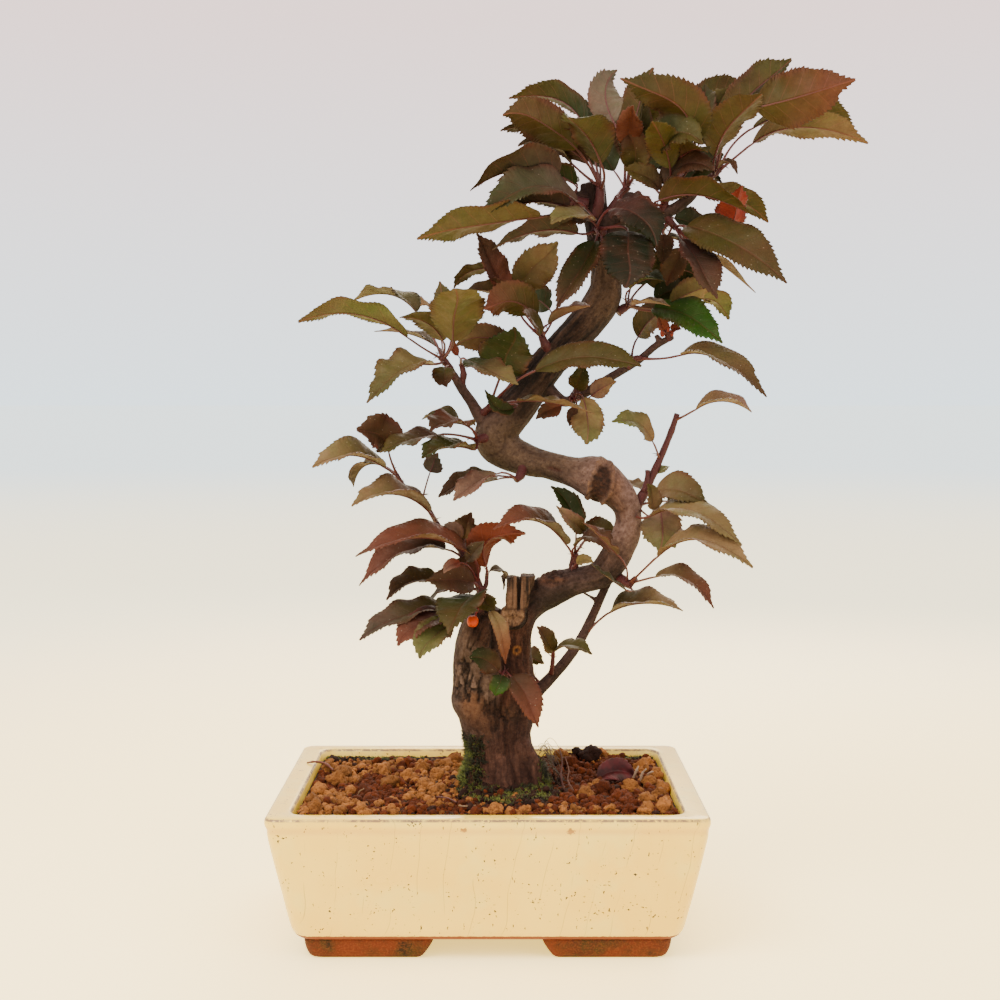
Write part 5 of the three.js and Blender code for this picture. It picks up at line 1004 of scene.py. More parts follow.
def leaf_material():
    """Leaf: its own tint with crimson midrib and side veins read from the blade's UV place, maroon clouds
    and margins, a fine net of small veins, pale dust, a soft gloss above, and some light let through."""
    made = Finish("leaf", Roughness=0.5, Specular_IOR_Level=0.14)
    tint = made.attribute()
    own, upper_side = tint["Color"], tint["Alpha"]
    uv = made.parts(made.uv())
    place = made.place()
    across = made.math("MULTIPLY_ADD", uv["Y"], 2.0, -1.0)
    lean = made.math("ABSOLUTE", across)
    phase = made.math("MULTIPLY_ADD", uv["X"], float(VEINS), made.times(lean, -1.3))
    phase = made.plus(phase, made.times(made.math("GREATER_THAN", across, 0.0), 0.5))
    phase = made.plus(phase, made.times(made.noise(place, 90.0), 0.16))
    ridge = made.math("ABSOLUTE", made.math("SUBTRACT", made.math("FRACT", phase), 0.5))
    side_vein = made.times(made.range(ridge, 0.455, 0.5), made.range(lean, 0.9, 0.5, 0.25, 1.0))
    midrib = made.range(lean, 0.055, 0.012)
    veins = made.math("MAXIMUM", made.times(side_vein, 0.6), midrib)
    net = made.range(made.cells(place, 700.0, "DISTANCE_TO_EDGE"), 0.0, 0.12, 1.0, 0.0)
    mottle = made.noise(place, 260.0, 4.0, 0.65)
    clouds = made.noise(place, 70.0, 3.0, 0.6)

    greener = made.range(clouds, 0.55, 0.3, 0.0, 0.4)
    green = made.mix(greener, own, made.toned(own, (0.5, 1.0, 0.5)))
    maroon = made.range(clouds, 0.46, 0.72, 0.0, 0.45)
    base = made.mix(maroon, green, made.mix(0.5, green, (0.075, 0.018, 0.010)))
    darker = made.range(mottle, 0.3, 0.75, 0.0, 0.35)
    base = made.mix(darker, base, made.toned(base, (0.45, 0.38, 0.35)))
    base = made.mix(made.times(net, 0.14), base, (0.02, 0.012, 0.006))
    vein_colour = made.mix(upper_side, (0.15, 0.050, 0.035), (0.085, 0.024, 0.018))
    shown = made.range(upper_side, 0.0, 1.0, 0.55, 0.28)
    base = made.mix(made.times(veins, shown), base, vein_colour)
    edge = made.times(made.range(lean, 0.72, 1.0), made.range(clouds, 0.3, 0.6, 0.15, 0.6))
    base = made.mix(edge, base, (0.07, 0.018, 0.012))
    dust = made.times(made.range(made.cells(place, 430.0), 0.10, 0.05), upper_side)
    base = made.mix(made.times(dust, 0.35), base, (0.4, 0.34, 0.27))
    made.set(Base_Color=base, Roughness=made.range(mottle, 0.3, 0.7, 0.46, 0.68))
    height = made.math("MULTIPLY_ADD", mottle, 0.35, made.times(veins, -0.8))
    height = made.plus(height, made.times(net, -0.2))
    made.set(Normal=made.bump(height, 0.0003, 0.6))
    glow = made.node("BsdfTranslucent", {"Color": made.toned(base, (1.0, 0.72, 0.4))})
    both = made.node("MixShader", {0: 0.25, 1: made.shader.outputs[0], 2: glow.outputs[0]})
    made.tree.links.new(both.outputs[0], made.output.inputs["Surface"])
    return made.material


def stalk_material():
    """Stalks: crimson with paler and darker stretches along their length."""
    made = Finish("stalk", Roughness=0.5, Specular_IOR_Level=0.3)
    streak = made.noise(made.scaled(made.uv(), (6.0, 3.0, 1.0)), 4.0)
    crimson = made.range(streak, 0.35, 0.7, 0.0, 0.5)
    made.set(Base_Color=made.mix(crimson, made.attribute()["Color"], (0.10, 0.016, 0.016)))
    made.set(Normal=made.bump(streak, 0.0002, 0.5))
    return made.material


def twig_material():
    """Young bark: red-brown, with fine rings across the twig and pale dots."""
    made = Finish("twig", Roughness=0.6, Specular_IOR_Level=0.25)
    own = made.attribute()["Color"]
    rings = made.noise(made.scaled(made.uv(), (14.0, 2.0, 1.0)), 5.0, 2.0)
    dots = made.range(made.cells(made.place(), 900.0), 0.10, 0.2, 1.0, 0.0)
    base = made.mix(made.range(rings, 0.35, 0.65), made.mix(0.5, own, (0.014, 0.005, 0.004)), own)
    base = made.mix(made.times(dots, 0.25), base, (0.22, 0.14, 0.10))
    made.set(Base_Color=base, Normal=made.bump(made.plus(rings, dots), 0.0003, 0.6))
    return made.material


# Old wood

BARK_VOXEL = 0.6
LIMB_SIDES = 28
SAWN_STUB = {"from": [10.4, 2.0, 134.2], "to": [10.6, -9.6, 136.4], "radius": 5.1}

# The stump's planks: their edges at the foot and at the top, and how high, deep and thick they are
PLANK_FOOT = 136.0
STUMP_PLANKS = [
    {"low": [7.3, 12.5], "high": [7.9, 13.2], "top": 152.6, "depth": -5.6, "thickness": 10.6, "seed": 3},
    {"low": [12.9, 15.4], "high": [13.8, 20.5], "top": 152.9, "depth": -5.4, "thickness": 10.8, "seed": 4},
]

# Root ridges run from the stem into the soil: x, y, z and radius in the pot's frame
ROOT_RIDGES = [
    [[0, -2, 76, 5], [-6, -4, 66, 5], [-8.5, -5, 58, 4.5]],
    [[14, -3, 78, 5], [20, -5, 67, 4.5], [23, -6, 57, 4]],
    [[6, -6, 72, 5], [7, -9, 63, 4.5], [7, -11, 56, 4]],
    [[12, 5, 76, 5], [17, 8, 66, 4.5], [19, 9, 57, 4]],
    [[-1, 4, 74, 5], [-5, 7, 65, 4.5], [-6, 8.5, 57, 4]],
]

# Kinds of bark on the front view, the last a patch of painted shadow: middle x and z, half width and half
# height, dark and light tone, how cracked and how fibrous
BARK_REGIONS = [
    [55, 186, 22, 30, 0x44312A, 0x84695C, 0.0, 0.15],
    [54.5, 190, 4, 10, 0x3A231A, 0x7C5C48, 0.15, 0.5],
    [12, 207, 30, 14, 0x38281F, 0x66523F, 0.1, 0.2],
    [26, 248, 26, 24, 0x1C100B, 0x503A2C, 0.1, 1.2],
    [49, 278, 10, 18, 0x33241A, 0x5C4737, 0.0, 0.5],
    [46, 310, 10, 16, 0x180A06, 0x2C1710, 0.1, 0.6],
    [38, 150, 22, 12, 0x1E110D, 0x54413B, 0.1, 0.4],
    [28, 143.5, 10, 5, 0x180D0A, 0x36261F, 0.1, 0.4],
    [25, 152, 7, 3.5, 0x26120B, 0x5F4030, 0.7, 0.5],
    [12, 112, 8, 30, 0x34190F, 0x5C3A2A, 0.2, 1.0],
    [-6, 106, 10, 26, 0x24150E, 0x7C6658, 1.0, 0.35],
    [-1, 131, 5, 10, 0x180B06, 0x55392A, 0.3, 1.0],
    [0, 91, 14, 7, 0x2C160C, 0x5E412F, 0.7, 0.4],
    [-7, 98, 5, 5.5, 0x2E190C, 0x735139, 1.0, 0.1],
    [6, 69, 26, 15, 0x381F14, 0x5D3E2E, 0.15, 0.75],
    # Painted shadow: the limb's bark right of the stump, darkened as it lies in shade
    [19.5, 143, 3, 6, 0x140A06, 0x33201A, 0.3, 0.8],
]


def centre_lines():
    """Every old limb as a dense line of place and radius."""
    lines = []
    for rows in OLD_WOOD.values():
        line = smooth_line(rows, 8)
        lines.append((seen(line), np.maximum(line[:, 3], 0.4)))
    return lines


def plank(low, high, top, depth, thickness, seed):
    """An upright slab of weathered wood: a squarish ring, cos and sin to the power 1/2, carried upwards from
    the low to the high pair of edges. The top is broken off: its height wavers by noise of the place."""
    turn = np.linspace(0, 2 * np.pi, 40, endpoint=False)
    square_x = np.sign(np.cos(turn)) * np.abs(np.cos(turn)) ** 0.5
    square_y = np.sign(np.sin(turn)) * np.abs(np.sin(turn)) ** 0.5
    up = np.linspace(0, 1, 16)[:, None]
    left = low[0] + (high[0] - low[0]) * up
    right = low[1] + (high[1] - low[1]) * up
    x = (left + right) / 2 + (right - left) / 2 * square_x
    y = depth + thickness / 2 * square_y + 0 * up
    broken = 1.1 * noise(np.stack([x, y, 0 * x], -1), 1.8, seed)
    return np.stack([x, y, PLANK_FOOT + (top - PLANK_FOOT) * up + up**4 * broken], -1)


def wood_skin(lines):
    """Old wood before its bark: all limbs, root ridges, the sawn stub and the stump's two planks."""
    skin = Skin()
    for path, radii in lines:
        skin.add(tube(path, radii, LIMB_SIDES))
    for rows in ROOT_RIDGES:
        line = smooth_line(rows, 6)
        skin.add(tube(line[:, :3], line[:, 3], 16))
    stub = np.linspace(SAWN_STUB["from"], SAWN_STUB["to"], 8)
    skin.add(tube(stub, np.full(8, SAWN_STUB["radius"]), 40))
    for slab in STUMP_PLANKS:
        skin.add(plank(**slab))
    return skin


def one_skin(mesh, voxel):
    """The union of overlapping closed skins as one even skin, by a voxel remesh and a light smoothing."""
    helper = new_object("helper", mesh)
    remesh = helper.modifiers.new("union", "REMESH")
    remesh.mode = "VOXEL"
    remesh.voxel_size = voxel * MM
    helper.modifiers.new("smooth", "SMOOTH").iterations = 3
    made = finished_mesh(helper)
    bpy.data.objects.remove(helper)
    made.materials.clear()
    return made


def mesh_arrays(mesh):
    """Points in the pot's frame in millimetres, and the unit normals there."""
    count = len(mesh.vertices)
    points, normals = np.empty((2, count * 3), np.float32)
    mesh.vertices.foreach_get("co", points)
    mesh.vertex_normals.foreach_get("vector", normals)
    points = (points.reshape(-1, 3).astype(float) - POT_PLACE) / MM
    return points, normals.reshape(-1, 3).astype(float)


def limb_places(points, lines):
    """For each point the nearest limb: how far along it in millimetres, the offset from its middle in
    the limb's own two square directions, and its radius. Three numbers follow the grain of the bark."""
    places, arcs, frames, radii = [], [], [], []
    start = 0.0
    for path, radius in lines:
        arc = arc_length(path)
        places.append(path)
        arcs.append(start + arc)
        frames.append(np.stack(directions(path)[1:], 1))
        radii.append(radius)
        start += arc[-1] + 40
    places, arcs, frames, radii = map(np.concatenate, (places, arcs, frames, radii))
    nearest = np.empty(len(points), int)
    for block in range(0, len(points), 4096):
        part = points[block:block + 4096]
        distance = np.linalg.norm(part[:, None] - places[None], axis=2) - radii[None]
        nearest[block:block + 4096] = distance.argmin(1)
    offset = points - places[nearest]
    square = np.einsum("pij,pj->pi", frames[nearest], offset)
    return np.column_stack([arcs[nearest], square]), radii[nearest]


def band(value, middle, width):
    """1 where a value is the middle one, falling away on both sides as exp(-d²)."""
    return np.exp(-(((value - middle) / width) ** 2))


class Bark:
    """The old wood's skin while it is dressed: its points and normals, how far the relief stands out from
    it and its shade, point by point. Each wound changes both."""

    def __init__(self, mesh):
        self.points, self.normals = mesh_arrays(mesh)
        self.x, self.y, self.z = self.points.T
        self.height, self.shade = 0 * self.x, 0 * self.points
        self.front = (self.normals[:, 1] < 0.15) & (self.y < 0)

    def patch(self, x, z, half_x, half_z, soft=0.3):
        """1 inside an ellipse on the front view and 0 outside, blended across its edge."""
        reach = np.hypot((self.x - x) / half_x, (self.z - z) / half_z)
        return 1 - ease(reach, 1 - soft, 1 + soft)

    def tone(self, code, share):
        """Blends a colour into the shade by this share."""
        self.shade = blend_colours(self.shade, colour(code), share)


def plain_bark(bark, grain, radius):
    """Bark relief and tones from noise that runs with the grain: long fibres, plates between cracks, lumps
    and grit, with the amounts of each region. The tones follow the relief, partly as painted shade in the
    cracks, and painted light makes the bark lighter where it faces up and darker below. Returns how fibrous
    each point is, and the grit."""
    points = bark.points
    thick = ease(radius, 1.8, 5.0)
    dark, light = (np.full(points.shape, colour(code)) for code in (0x261713, 0x4C3731))
    cracked, fibrous = np.full(len(points), 0.05), np.full(len(points), 0.3)
    drift = np.stack([noise(points, 7, 95), 0 * radius, noise(points, 7, 96)], -1) * [2.2, 0, 3.5]
    drifted = points + drift
    for x, z, half_x, half_z, dark_tone, light_tone, cracks, fibres in BARK_REGIONS:
        reach = np.hypot((drifted[:, 0] - x) / half_x, (drifted[:, 2] - z) / half_z)
        share = (1 - ease(reach, 0.55, 1.45)) * thick
        dark = blend_colours(dark, colour(dark_tone), share)
        light = blend_colours(light, colour(light_tone), share)
        cracked += (cracks - cracked) * share
        fibrous += (fibres - fibrous) * share

    fibre = rough(grain * [0.13, 1, 1], 1.5, 11)
    lumps = rough(grain * [0.5, 1, 1], 9, 21)
    grit = rough(points, 1.5, 31, 2)
    stretched = grain * [0.6, 1, 1] + 0.5 * noise(grain, 2.2, 3)[:, None]
    gap, plate = cells(stretched, 3.1, 5)
    flaked = cracked * ease(noise(points, 6, 61), -0.5, 0.2)
    open_crack = flaked * (1 - ease(gap, 0.03, 0.22))
    height = thick * (0.6 * lumps + 0.4 * fibrous * fibre - 0.75 * open_crack + 0.8 * flaked * (plate - 0.5))
    bark.height = height + (0.06 + 0.2 * flaked) * grit
    # The tone follows the relief, lighter on lumps and plates and darker in open cracks: partly the bark's
    # own colour, partly painted light and shade.
    tone = 0.5 + 0.3 * lumps + 0.75 * fibrous * fibre + 0.28 * grit + 0.9 * flaked * (plate - 0.5)
    bark.shade = blend_colours(dark, light, np.clip(tone, 0, 1))
    bark.tone(0x120906, 0.95 * open_crack)
    blotch = flaked * ease(noise(points, 4.5, 91), 0.15, 0.5)
    bark.tone(0x1E100A, 0.6 * blotch)
    # Painted light: lighter where the bark faces up, darker on its undersides, by the normal; then toned down
    # overall.
    under = bark.normals[:, 2:]
    bark.shade = bark.shade * (1 + np.where(under > 0, 0.32, 0.66) * under) * [0.76, 0.76, 0.84]
    return fibrous * thick, grit


def press_cleft(bark):
    """The cleft down the stem below the stump: a groove that leans a little, darkened with painted shade, and
    the bumps beside it.
    """
    bark.height += 1.0 * bark.patch(-14.5, 97.5, 3, 4, 0.9) - 0.9 * bark.patch(-13, 88.5, 3, 3, 0.9)
    cleft = band(bark.x, 2.6 - 0.03 * (bark.z - 125), 1.3) * bark.front
    cleft *= ease(bark.z, 108, 118) * (1 - ease(bark.z, 133, 138))
    bark.height -= 2.6 * cleft
    # Painted shade darkens the cleft's groove.
    bark.tone(0x120806, 0.85 * cleft)
    flaky = bark.patch(25, 153, 6.5, 3.2, 0.6) * ease(bark.normals[:, 2], 0.0, 0.6)
    bark.height += flaky * (0.7 + 0.9 * rough(bark.points, 2.4, 71, 2))


def weather_stump(bark):
    """The two standing planks, between their slanting edges: upright fibres, with the split between them.
    Painted shade darkens the split and a line along the planks' foot. Returns 1 on their wood and 0
    elsewhere."""
    low, high, top = (STUMP_PLANKS[1][key] for key in ("low", "high", "top"))
    edge = low[1] + (high[1] - low[1]) * ((bark.z - PLANK_FOOT) / (top - PLANK_FOOT))
    inside = (bark.x > 7.0) & (bark.x < edge + 0.5) & (bark.y < 0.5) & (bark.z < 155)
    wood = ease(bark.z, 138.0, 138.8) * inside
    upright = rough(bark.points * [1, 1, 0.1], 1.3, 41)
    split = band(bark.x, 13.2 + 0.04 * (bark.z - 145), 0.45)
    weathered_and_shaded = blend_colours(colour(0x150802), colour(0x533C2D), np.clip(0.4 + 1.2 * upright, 0, 1))
    # Painted shade: the split between the planks and a line along their foot are darkened.
    weathered_and_shaded = blend_colours(weathered_and_shaded, colour(0x160B07), np.clip(split + 0.7 * band(bark.z, 138.6, 0.6), 0, 1))
    bark.shade = blend_colours(bark.shade, weathered_and_shaded, wood)
    bark.height = bark.height * (1 - wood) + wood * (0.35 * upright - 0.8 * split)
    return wood


def cut_stub(bark, wood, grit):
    """The sawn face with its rays, and the collar of bark that has grown round it."""
    cut = np.hypot(bark.x - 10.6, (bark.z - 136.4) * 1.02) / SAWN_STUB["radius"]
    face = (1 - ease(cut, 0.9, 1.0)) * (bark.normals[:, 1] < -0.6) * (bark.y < -8) * (1 - wood)
    turn = np.arctan2(bark.z - 137, bark.x - 10.4)
    ray = noise(np.column_stack([5 * turn, cut, 0 * cut]), 0.7, 51)
    sawn = blend_colours(colour(0x322116), colour(0x7A5E48), np.clip(0.6 + 0.5 * ray + 0.3 * grit, 0, 1))
    bark.shade = blend_colours(bark.shade, sawn, face)
    collar = band(cut, 1.16, 0.14) * bark.front * (bark.z < 139) * (1 - wood)
    bark.height = bark.height * (1 - face) + 1.1 * collar
    rim = ease(cut, 0.94, 1.0) * (1 - ease(cut, 1.2, 1.4)) * bark.front * (bark.z < 138.5) * (1 - wood)
    bark.tone(0x180C07, 0.85 * rim)


def ring_knot(bark):
    """The knot: a pale ring round a dark pith with five points."""
    x, z = bark.x - 12.4, bark.z - 120.4
    knot = np.hypot(x, z) / 1.9
    star = 0.16 * np.cos(5 * np.arctan2(z, x) + 0.6)
    ring = band(knot, 0.8, 0.28) * bark.front
    pith = (1 - ease(knot + star, 0.2, 0.45)) * bark.front
    bark.height += 0.6 * ring - 0.6 * pith
    bark.tone(0x84572C, 0.9 * ring)
    bark.tone(0x100806, pith)


def hollow_scar(bark, grit):
    """The long hollow scar on the loop: a leaning ellipse pressed in by (1-d²)^.6, rotten inside, with a
    raised lip. Its two axes are the front view's, turned by its lean."""
    x, z = bark.x - 48.0, bark.z - 193.0
    lean = -0.28
    along = z * np.cos(lean) - x * np.sin(lean)
    lying = x * np.cos(lean) + z * np.sin(lean)
    hollow = np.hypot(along / 9.8, lying / 4.7) + 0.09 * noise(bark.points, 1.6, 81)
    inside = (1 - hollow**2).clip(0) ** 0.6 * bark.front
    lip = band(hollow, 1.06, 0.1) * bark.front
    bark.height += 0.9 * lip + 1.2 * bark.patch(45.5, 203.5, 3.5, 2, 0.8) * bark.front - 3.4 * inside
    rotten = blend_colours(colour(0x1A0C07), colour(0x3C241A), np.clip(0.45 + 0.6 * grit, 0, 1))
    bark.shade = blend_colours(bark.shade, rotten, (1 - ease(hollow, 0.82, 1.0)) * bark.front)
    bark.tone(0x6E503C, lip * np.clip(0.5 + 0.8 * grit, 0, 1))


def small_marks(bark):
    """A slit above the bend, an old ring on the turn, and a green patch beside the stump."""
    x = bark.x - 28.3
    slit = np.hypot(x / 3.8, (bark.z - 199.2 + 0.22 * x) / 1.15)
    opened = (1 - slit**2).clip(0) * bark.front
    bark.height -= 0.9 * opened
    bark.tone(0x331C14, np.clip(1.5 * opened, 0, 1))
    ring = band(np.hypot(bark.x - 0.5, bark.z - 212), 7.0, 0.55) * bark.front * (bark.z < 214)
    bark.height -= 0.4 * ring
    bark.tone(0x24150F, 0.6 * ring)
    bark.tone(0x2C3A16, 0.8 * bark.patch(6.2, 145, 1.6, 2.2, 0.5) * bark.front)


def dress_bark(mesh, lines):
    """Moves each point out along its normal by the relief, and keeps the shade, how fibrous the bark is and
    the place along the grain as attributes."""
    bark = Bark(mesh)
    grain, radius = limb_places(bark.points, lines)
    fibrous, grit = plain_bark(bark, grain, radius)
    press_cleft(bark)
    wood = weather_stump(bark)
    cut_stub(bark, wood, grit)
    ring_knot(bark)
    hollow_scar(bark, grit)
    small_marks(bark)
    moved = to_part(bark.points + bark.normals * bark.height[:, None])
    mesh.vertices.foreach_set("co", moved.astype(np.float32).ravel())
    mesh.update()
    set_colours(mesh, "tint", np.column_stack([bark.shade, fibrous * (1 - wood)]))
    set_colours(mesh, "grain", np.column_stack([grain, radius]))
    mesh.shade_smooth()


def bark_material():
    """Bark: the tint worked out with its relief, crossed by thin fibres that run with the grain, which the
    tint's fourth value strengthens, with dark specks where the bark is smooth, and grit in the light."""
    made = Finish("bark", Roughness=0.85, Specular_IOR_Level=0.2)
    tint, grain = made.attribute(), made.attribute("grain")
    place = made.place()
    fine = made.noise(place, 850.0, 4.0, 0.7)
    fibre = made.noise(made.scaled(grain["Vector"], (0.13, 1, 1)), 1.3, 4.0, 0.7)
    streak = made.times(made.range(fibre, 0.42, 0.62, 1.0, 0.0), tint["Alpha"])
    speck = made.range(made.noise(place, 620.0, 2.0, 0.5), 0.62, 0.7)
    base = made.toned(tint["Color"], (0.42, 0.36, 0.33), made.range(fine, 0.3, 0.7, 0.5, 0.0))
    base = made.toned(base, (1.7, 1.6, 1.5), made.range(fine, 0.62, 0.8, 0.0, 0.5))
    base = made.toned(base, (0.35, 0.28, 0.25), made.times(streak, 0.65))
    base = made.toned(base, (0.3, 0.22, 0.2), made.times(speck, 0.6))
    made.set(Base_Color=base, Roughness=made.range(fine, 0.3, 0.7, 0.95, 0.72))
    relief = made.math("SUBTRACT", fine, made.times(streak, 0.6))
    made.set(Normal=made.bump(relief, 0.0006, 0.8))
    return made.material


def make_trunk():
    """All old wood as one piece of bark."""
    lines = centre_lines()
    mesh = one_skin(wood_skin(lines).mesh("trunk_wood"), BARK_VOXEL)
    dress_bark(mesh, lines)
    place_piece("trunk_bark", mesh, [bark_material()], ["trunk"])


# Pot

# The pot's section from below: rows of height and how far the surface stands out from the plain wall
OUTER_PROFILE = np.array([
    [8.4, -4.4], [8.6, -3.0], [9.2, -1.8], [10.2, -0.9], [11.6, -0.35], [13.4, -0.08], [16, 0], [20, 0],
    [26, 0], [32, 0], [38, 0], [44, 0], [49, 0], [52.4, -0.03], [54.2, -0.16], [55.6, -0.36], [56.6, -0.46],
    [57.4, -0.36], [58.2, -0.12], [59, 0], [60, 0], [60.6, -0.15], [61.2, -0.5], [61.55, -1.0], [61.7, -1.6],
])
INNER_PROFILE = np.array([
    [61.7, 1.6], [61.55, 1.0], [61.2, 0.5], [60.6, 0.15], [60, 0], [57, 0], [52, 0], [45, 0], [36, 0],
    [26, 0], [18.4, -0.3], [16.2, -1.2], [15.4, -3.2],
])

# How far a foot draws in at the ground, and the radius of its outer corner
FOOT_TUCK = {"end": 5.5, "face": 2.2, "corner": 5.0}

# Rust on the glaze: x, y, z and radius
RUST_DABS = [
    [-9.5, -59.5, 57.2, 1.9], [-6.0, -59.5, 57.6, 0.9], [1.0, -59.5, 57.4, 1.0], [33.5, -59.5, 56.6, 2.1],
]


def pot_outer(z):
    """Half length and half depth of the outer wall at height z: straight lip, then an even taper."""
    below = np.clip((POT_HEIGHT - LIP_HEIGHT - z) / (POT_HEIGHT - LIP_HEIGHT - FOOT_HEIGHT), 0, 1)
    return POT_HALF - WALL_TAPER * np.asarray(below)[..., None]


def pot_inner(z):
    """Half length and half depth of the cavity at height z: it narrows evenly from the rim down."""
    down = (POT_HEIGHT - np.asarray(z)) / (POT_HEIGHT - CAVITY_FLOOR)
    return POT_HALF - RIM - INNER_TAPER * down[..., None]


def pot_rings():
    """The pot's section carried round it: rounded bottom edge, wall, soft step, lip, rim, then down the
    cavity."""
    out_half = pot_outer(OUTER_PROFILE[:, 0]) + OUTER_PROFILE[:, 1:]
    in_half = pot_inner(INNER_PROFILE[:, 0]) + INNER_PROFILE[:, 1:]
    half = np.vstack([out_half, in_half])
    z, out = np.vstack([OUTER_PROFILE, INNER_PROFILE]).T
    corner = np.full(len(z), INNER_CORNER)
    outer = slice(0, len(OUTER_PROFILE))
    corner[outer] = POT_CORNER + (np.minimum(out[outer], 0) * 0.5 + 3 * ease(POT_HEIGHT - z[outer], 20, 60))
    rings = rounded_rectangle(half[:, 0], half[:, 1], corner, z, arc=10, straight=40)
    drift = 0.35 * noise(rings, 30, 61) + 0.10 * noise(rings, 8, 62)
    flat = rings * [1, 1, 0]
    return rings + unit(flat) * np.minimum(drift, 0.0)[..., None] * (z < 57)[:, None, None]


def round_outline(corners, radii, steps=6):
    """A closed outline with its corners rounded: at each corner a parabola that the corner pulls, and even
    steps along the sides. corners is (levels, corners, 2)."""
    before = unit(np.roll(corners, 1, axis=1) - corners)
    after = unit(np.roll(corners, -1, axis=1) - corners)
    radii = np.asarray(radii)[None, :, None]
    starts, ends = corners + before * radii, corners + after * radii
    bends = parabola(starts, corners, ends, np.linspace(0, 1, steps)[:, None, None, None])
    share = np.linspace(0, 1, 8)[1:-1, None, None, None]
    sides = ends * (1 - share) + np.roll(starts, -1, axis=1) * share
    return np.moveaxis(np.concatenate([bends, sides]), 0, 2).reshape(corners.shape[0], -1, 2)


def foot_arm(long, short):
    """An angle foot: its two outer faces lean in towards the ground in a curve, its arms' ends slope in.
    An outline with six rounded corners carried upwards."""
    z = np.array([0, 0.35, 1.2, 2.4, 4, 5.8, 7.4, FOOT_HEIGHT + FOOT_SINK])
    down = 1 - z / z[-1]
    rounding = np.interp(z, [0, 0.35, 1.2], [0.7, 0.3, 0])
    face = FOOT_TUCK["face"] * down**2.2 + rounding
    end = FOOT_TUCK["end"] * down**1.3 + rounding
    inner = FOOT_WIDTH - 0.5 * face
    corners = [
        [face, face], [long - end, face], [long - end, inner],
        [inner, inner], [inner, short - end], [face, short - end],
    ]
    corners = np.moveaxis(np.array(corners), 2, 0)
    outline = round_outline(corners, [FOOT_TUCK["corner"], 1.6, 1.2, 1.2, 1.2, 1.6])
    return np.concatenate([outline, np.broadcast_to(z[:, None, None], (*outline.shape[:2], 1))], -1)


def mirrored(rings, sign_x, sign_y):
    """The rings mirrored in X or Y, turned round again where that reverses them."""
    made = rings * [sign_x, sign_y, 1]
    return made[:, ::-1] if sign_x * sign_y < 0 else made


def make_pot():
    """The pot as one piece: the glazed body with its drain holes cut out, and the four clay feet."""
    body, feet, holes = Skin(), Skin(), Skin()
    body.add(pot_rings())
    corner = foot_arm(FOOT_ARMS["front"], FOOT_ARMS["side"]) - np.append(FOOT_CORNER, 0)
    for sign_x, sign_y in CORNERS:
        feet.add(mirrored(corner, sign_x, sign_y), finish=1)
    height = np.array([[0, 0, -2.0], [0, 0, CAVITY_FLOOR + 4]])
    for x, y in DRAINS:
        holes.add(tube(height + [x, y, 0], np.full(2, DRAIN_RADIUS), 48))
    joined = bmesh.new()
    joined.from_mesh(cut_out(body.mesh("pot_body"), holes.mesh("drain_holes")))
    joined.from_mesh(feet.mesh("pot_feet"))
    made = bpy.data.meshes.new("pot_glazed")
    joined.to_mesh(made)
    joined.free()
    place_piece("pot_glazed", made, [glaze_material(), clay_material()], ["pot"])


def cut_out(mesh, tool_mesh):
    """The first mesh less the second."""
    holder, tool = new_object(mesh.name, mesh), new_object(tool_mesh.name, tool_mesh)
    cut = holder.modifiers.new("cut", "BOOLEAN")
    cut.operation = "DIFFERENCE"
    cut.object = tool
    made = finished_mesh(holder)
    bpy.data.objects.remove(holder)
    bpy.data.objects.remove(tool)
    return made


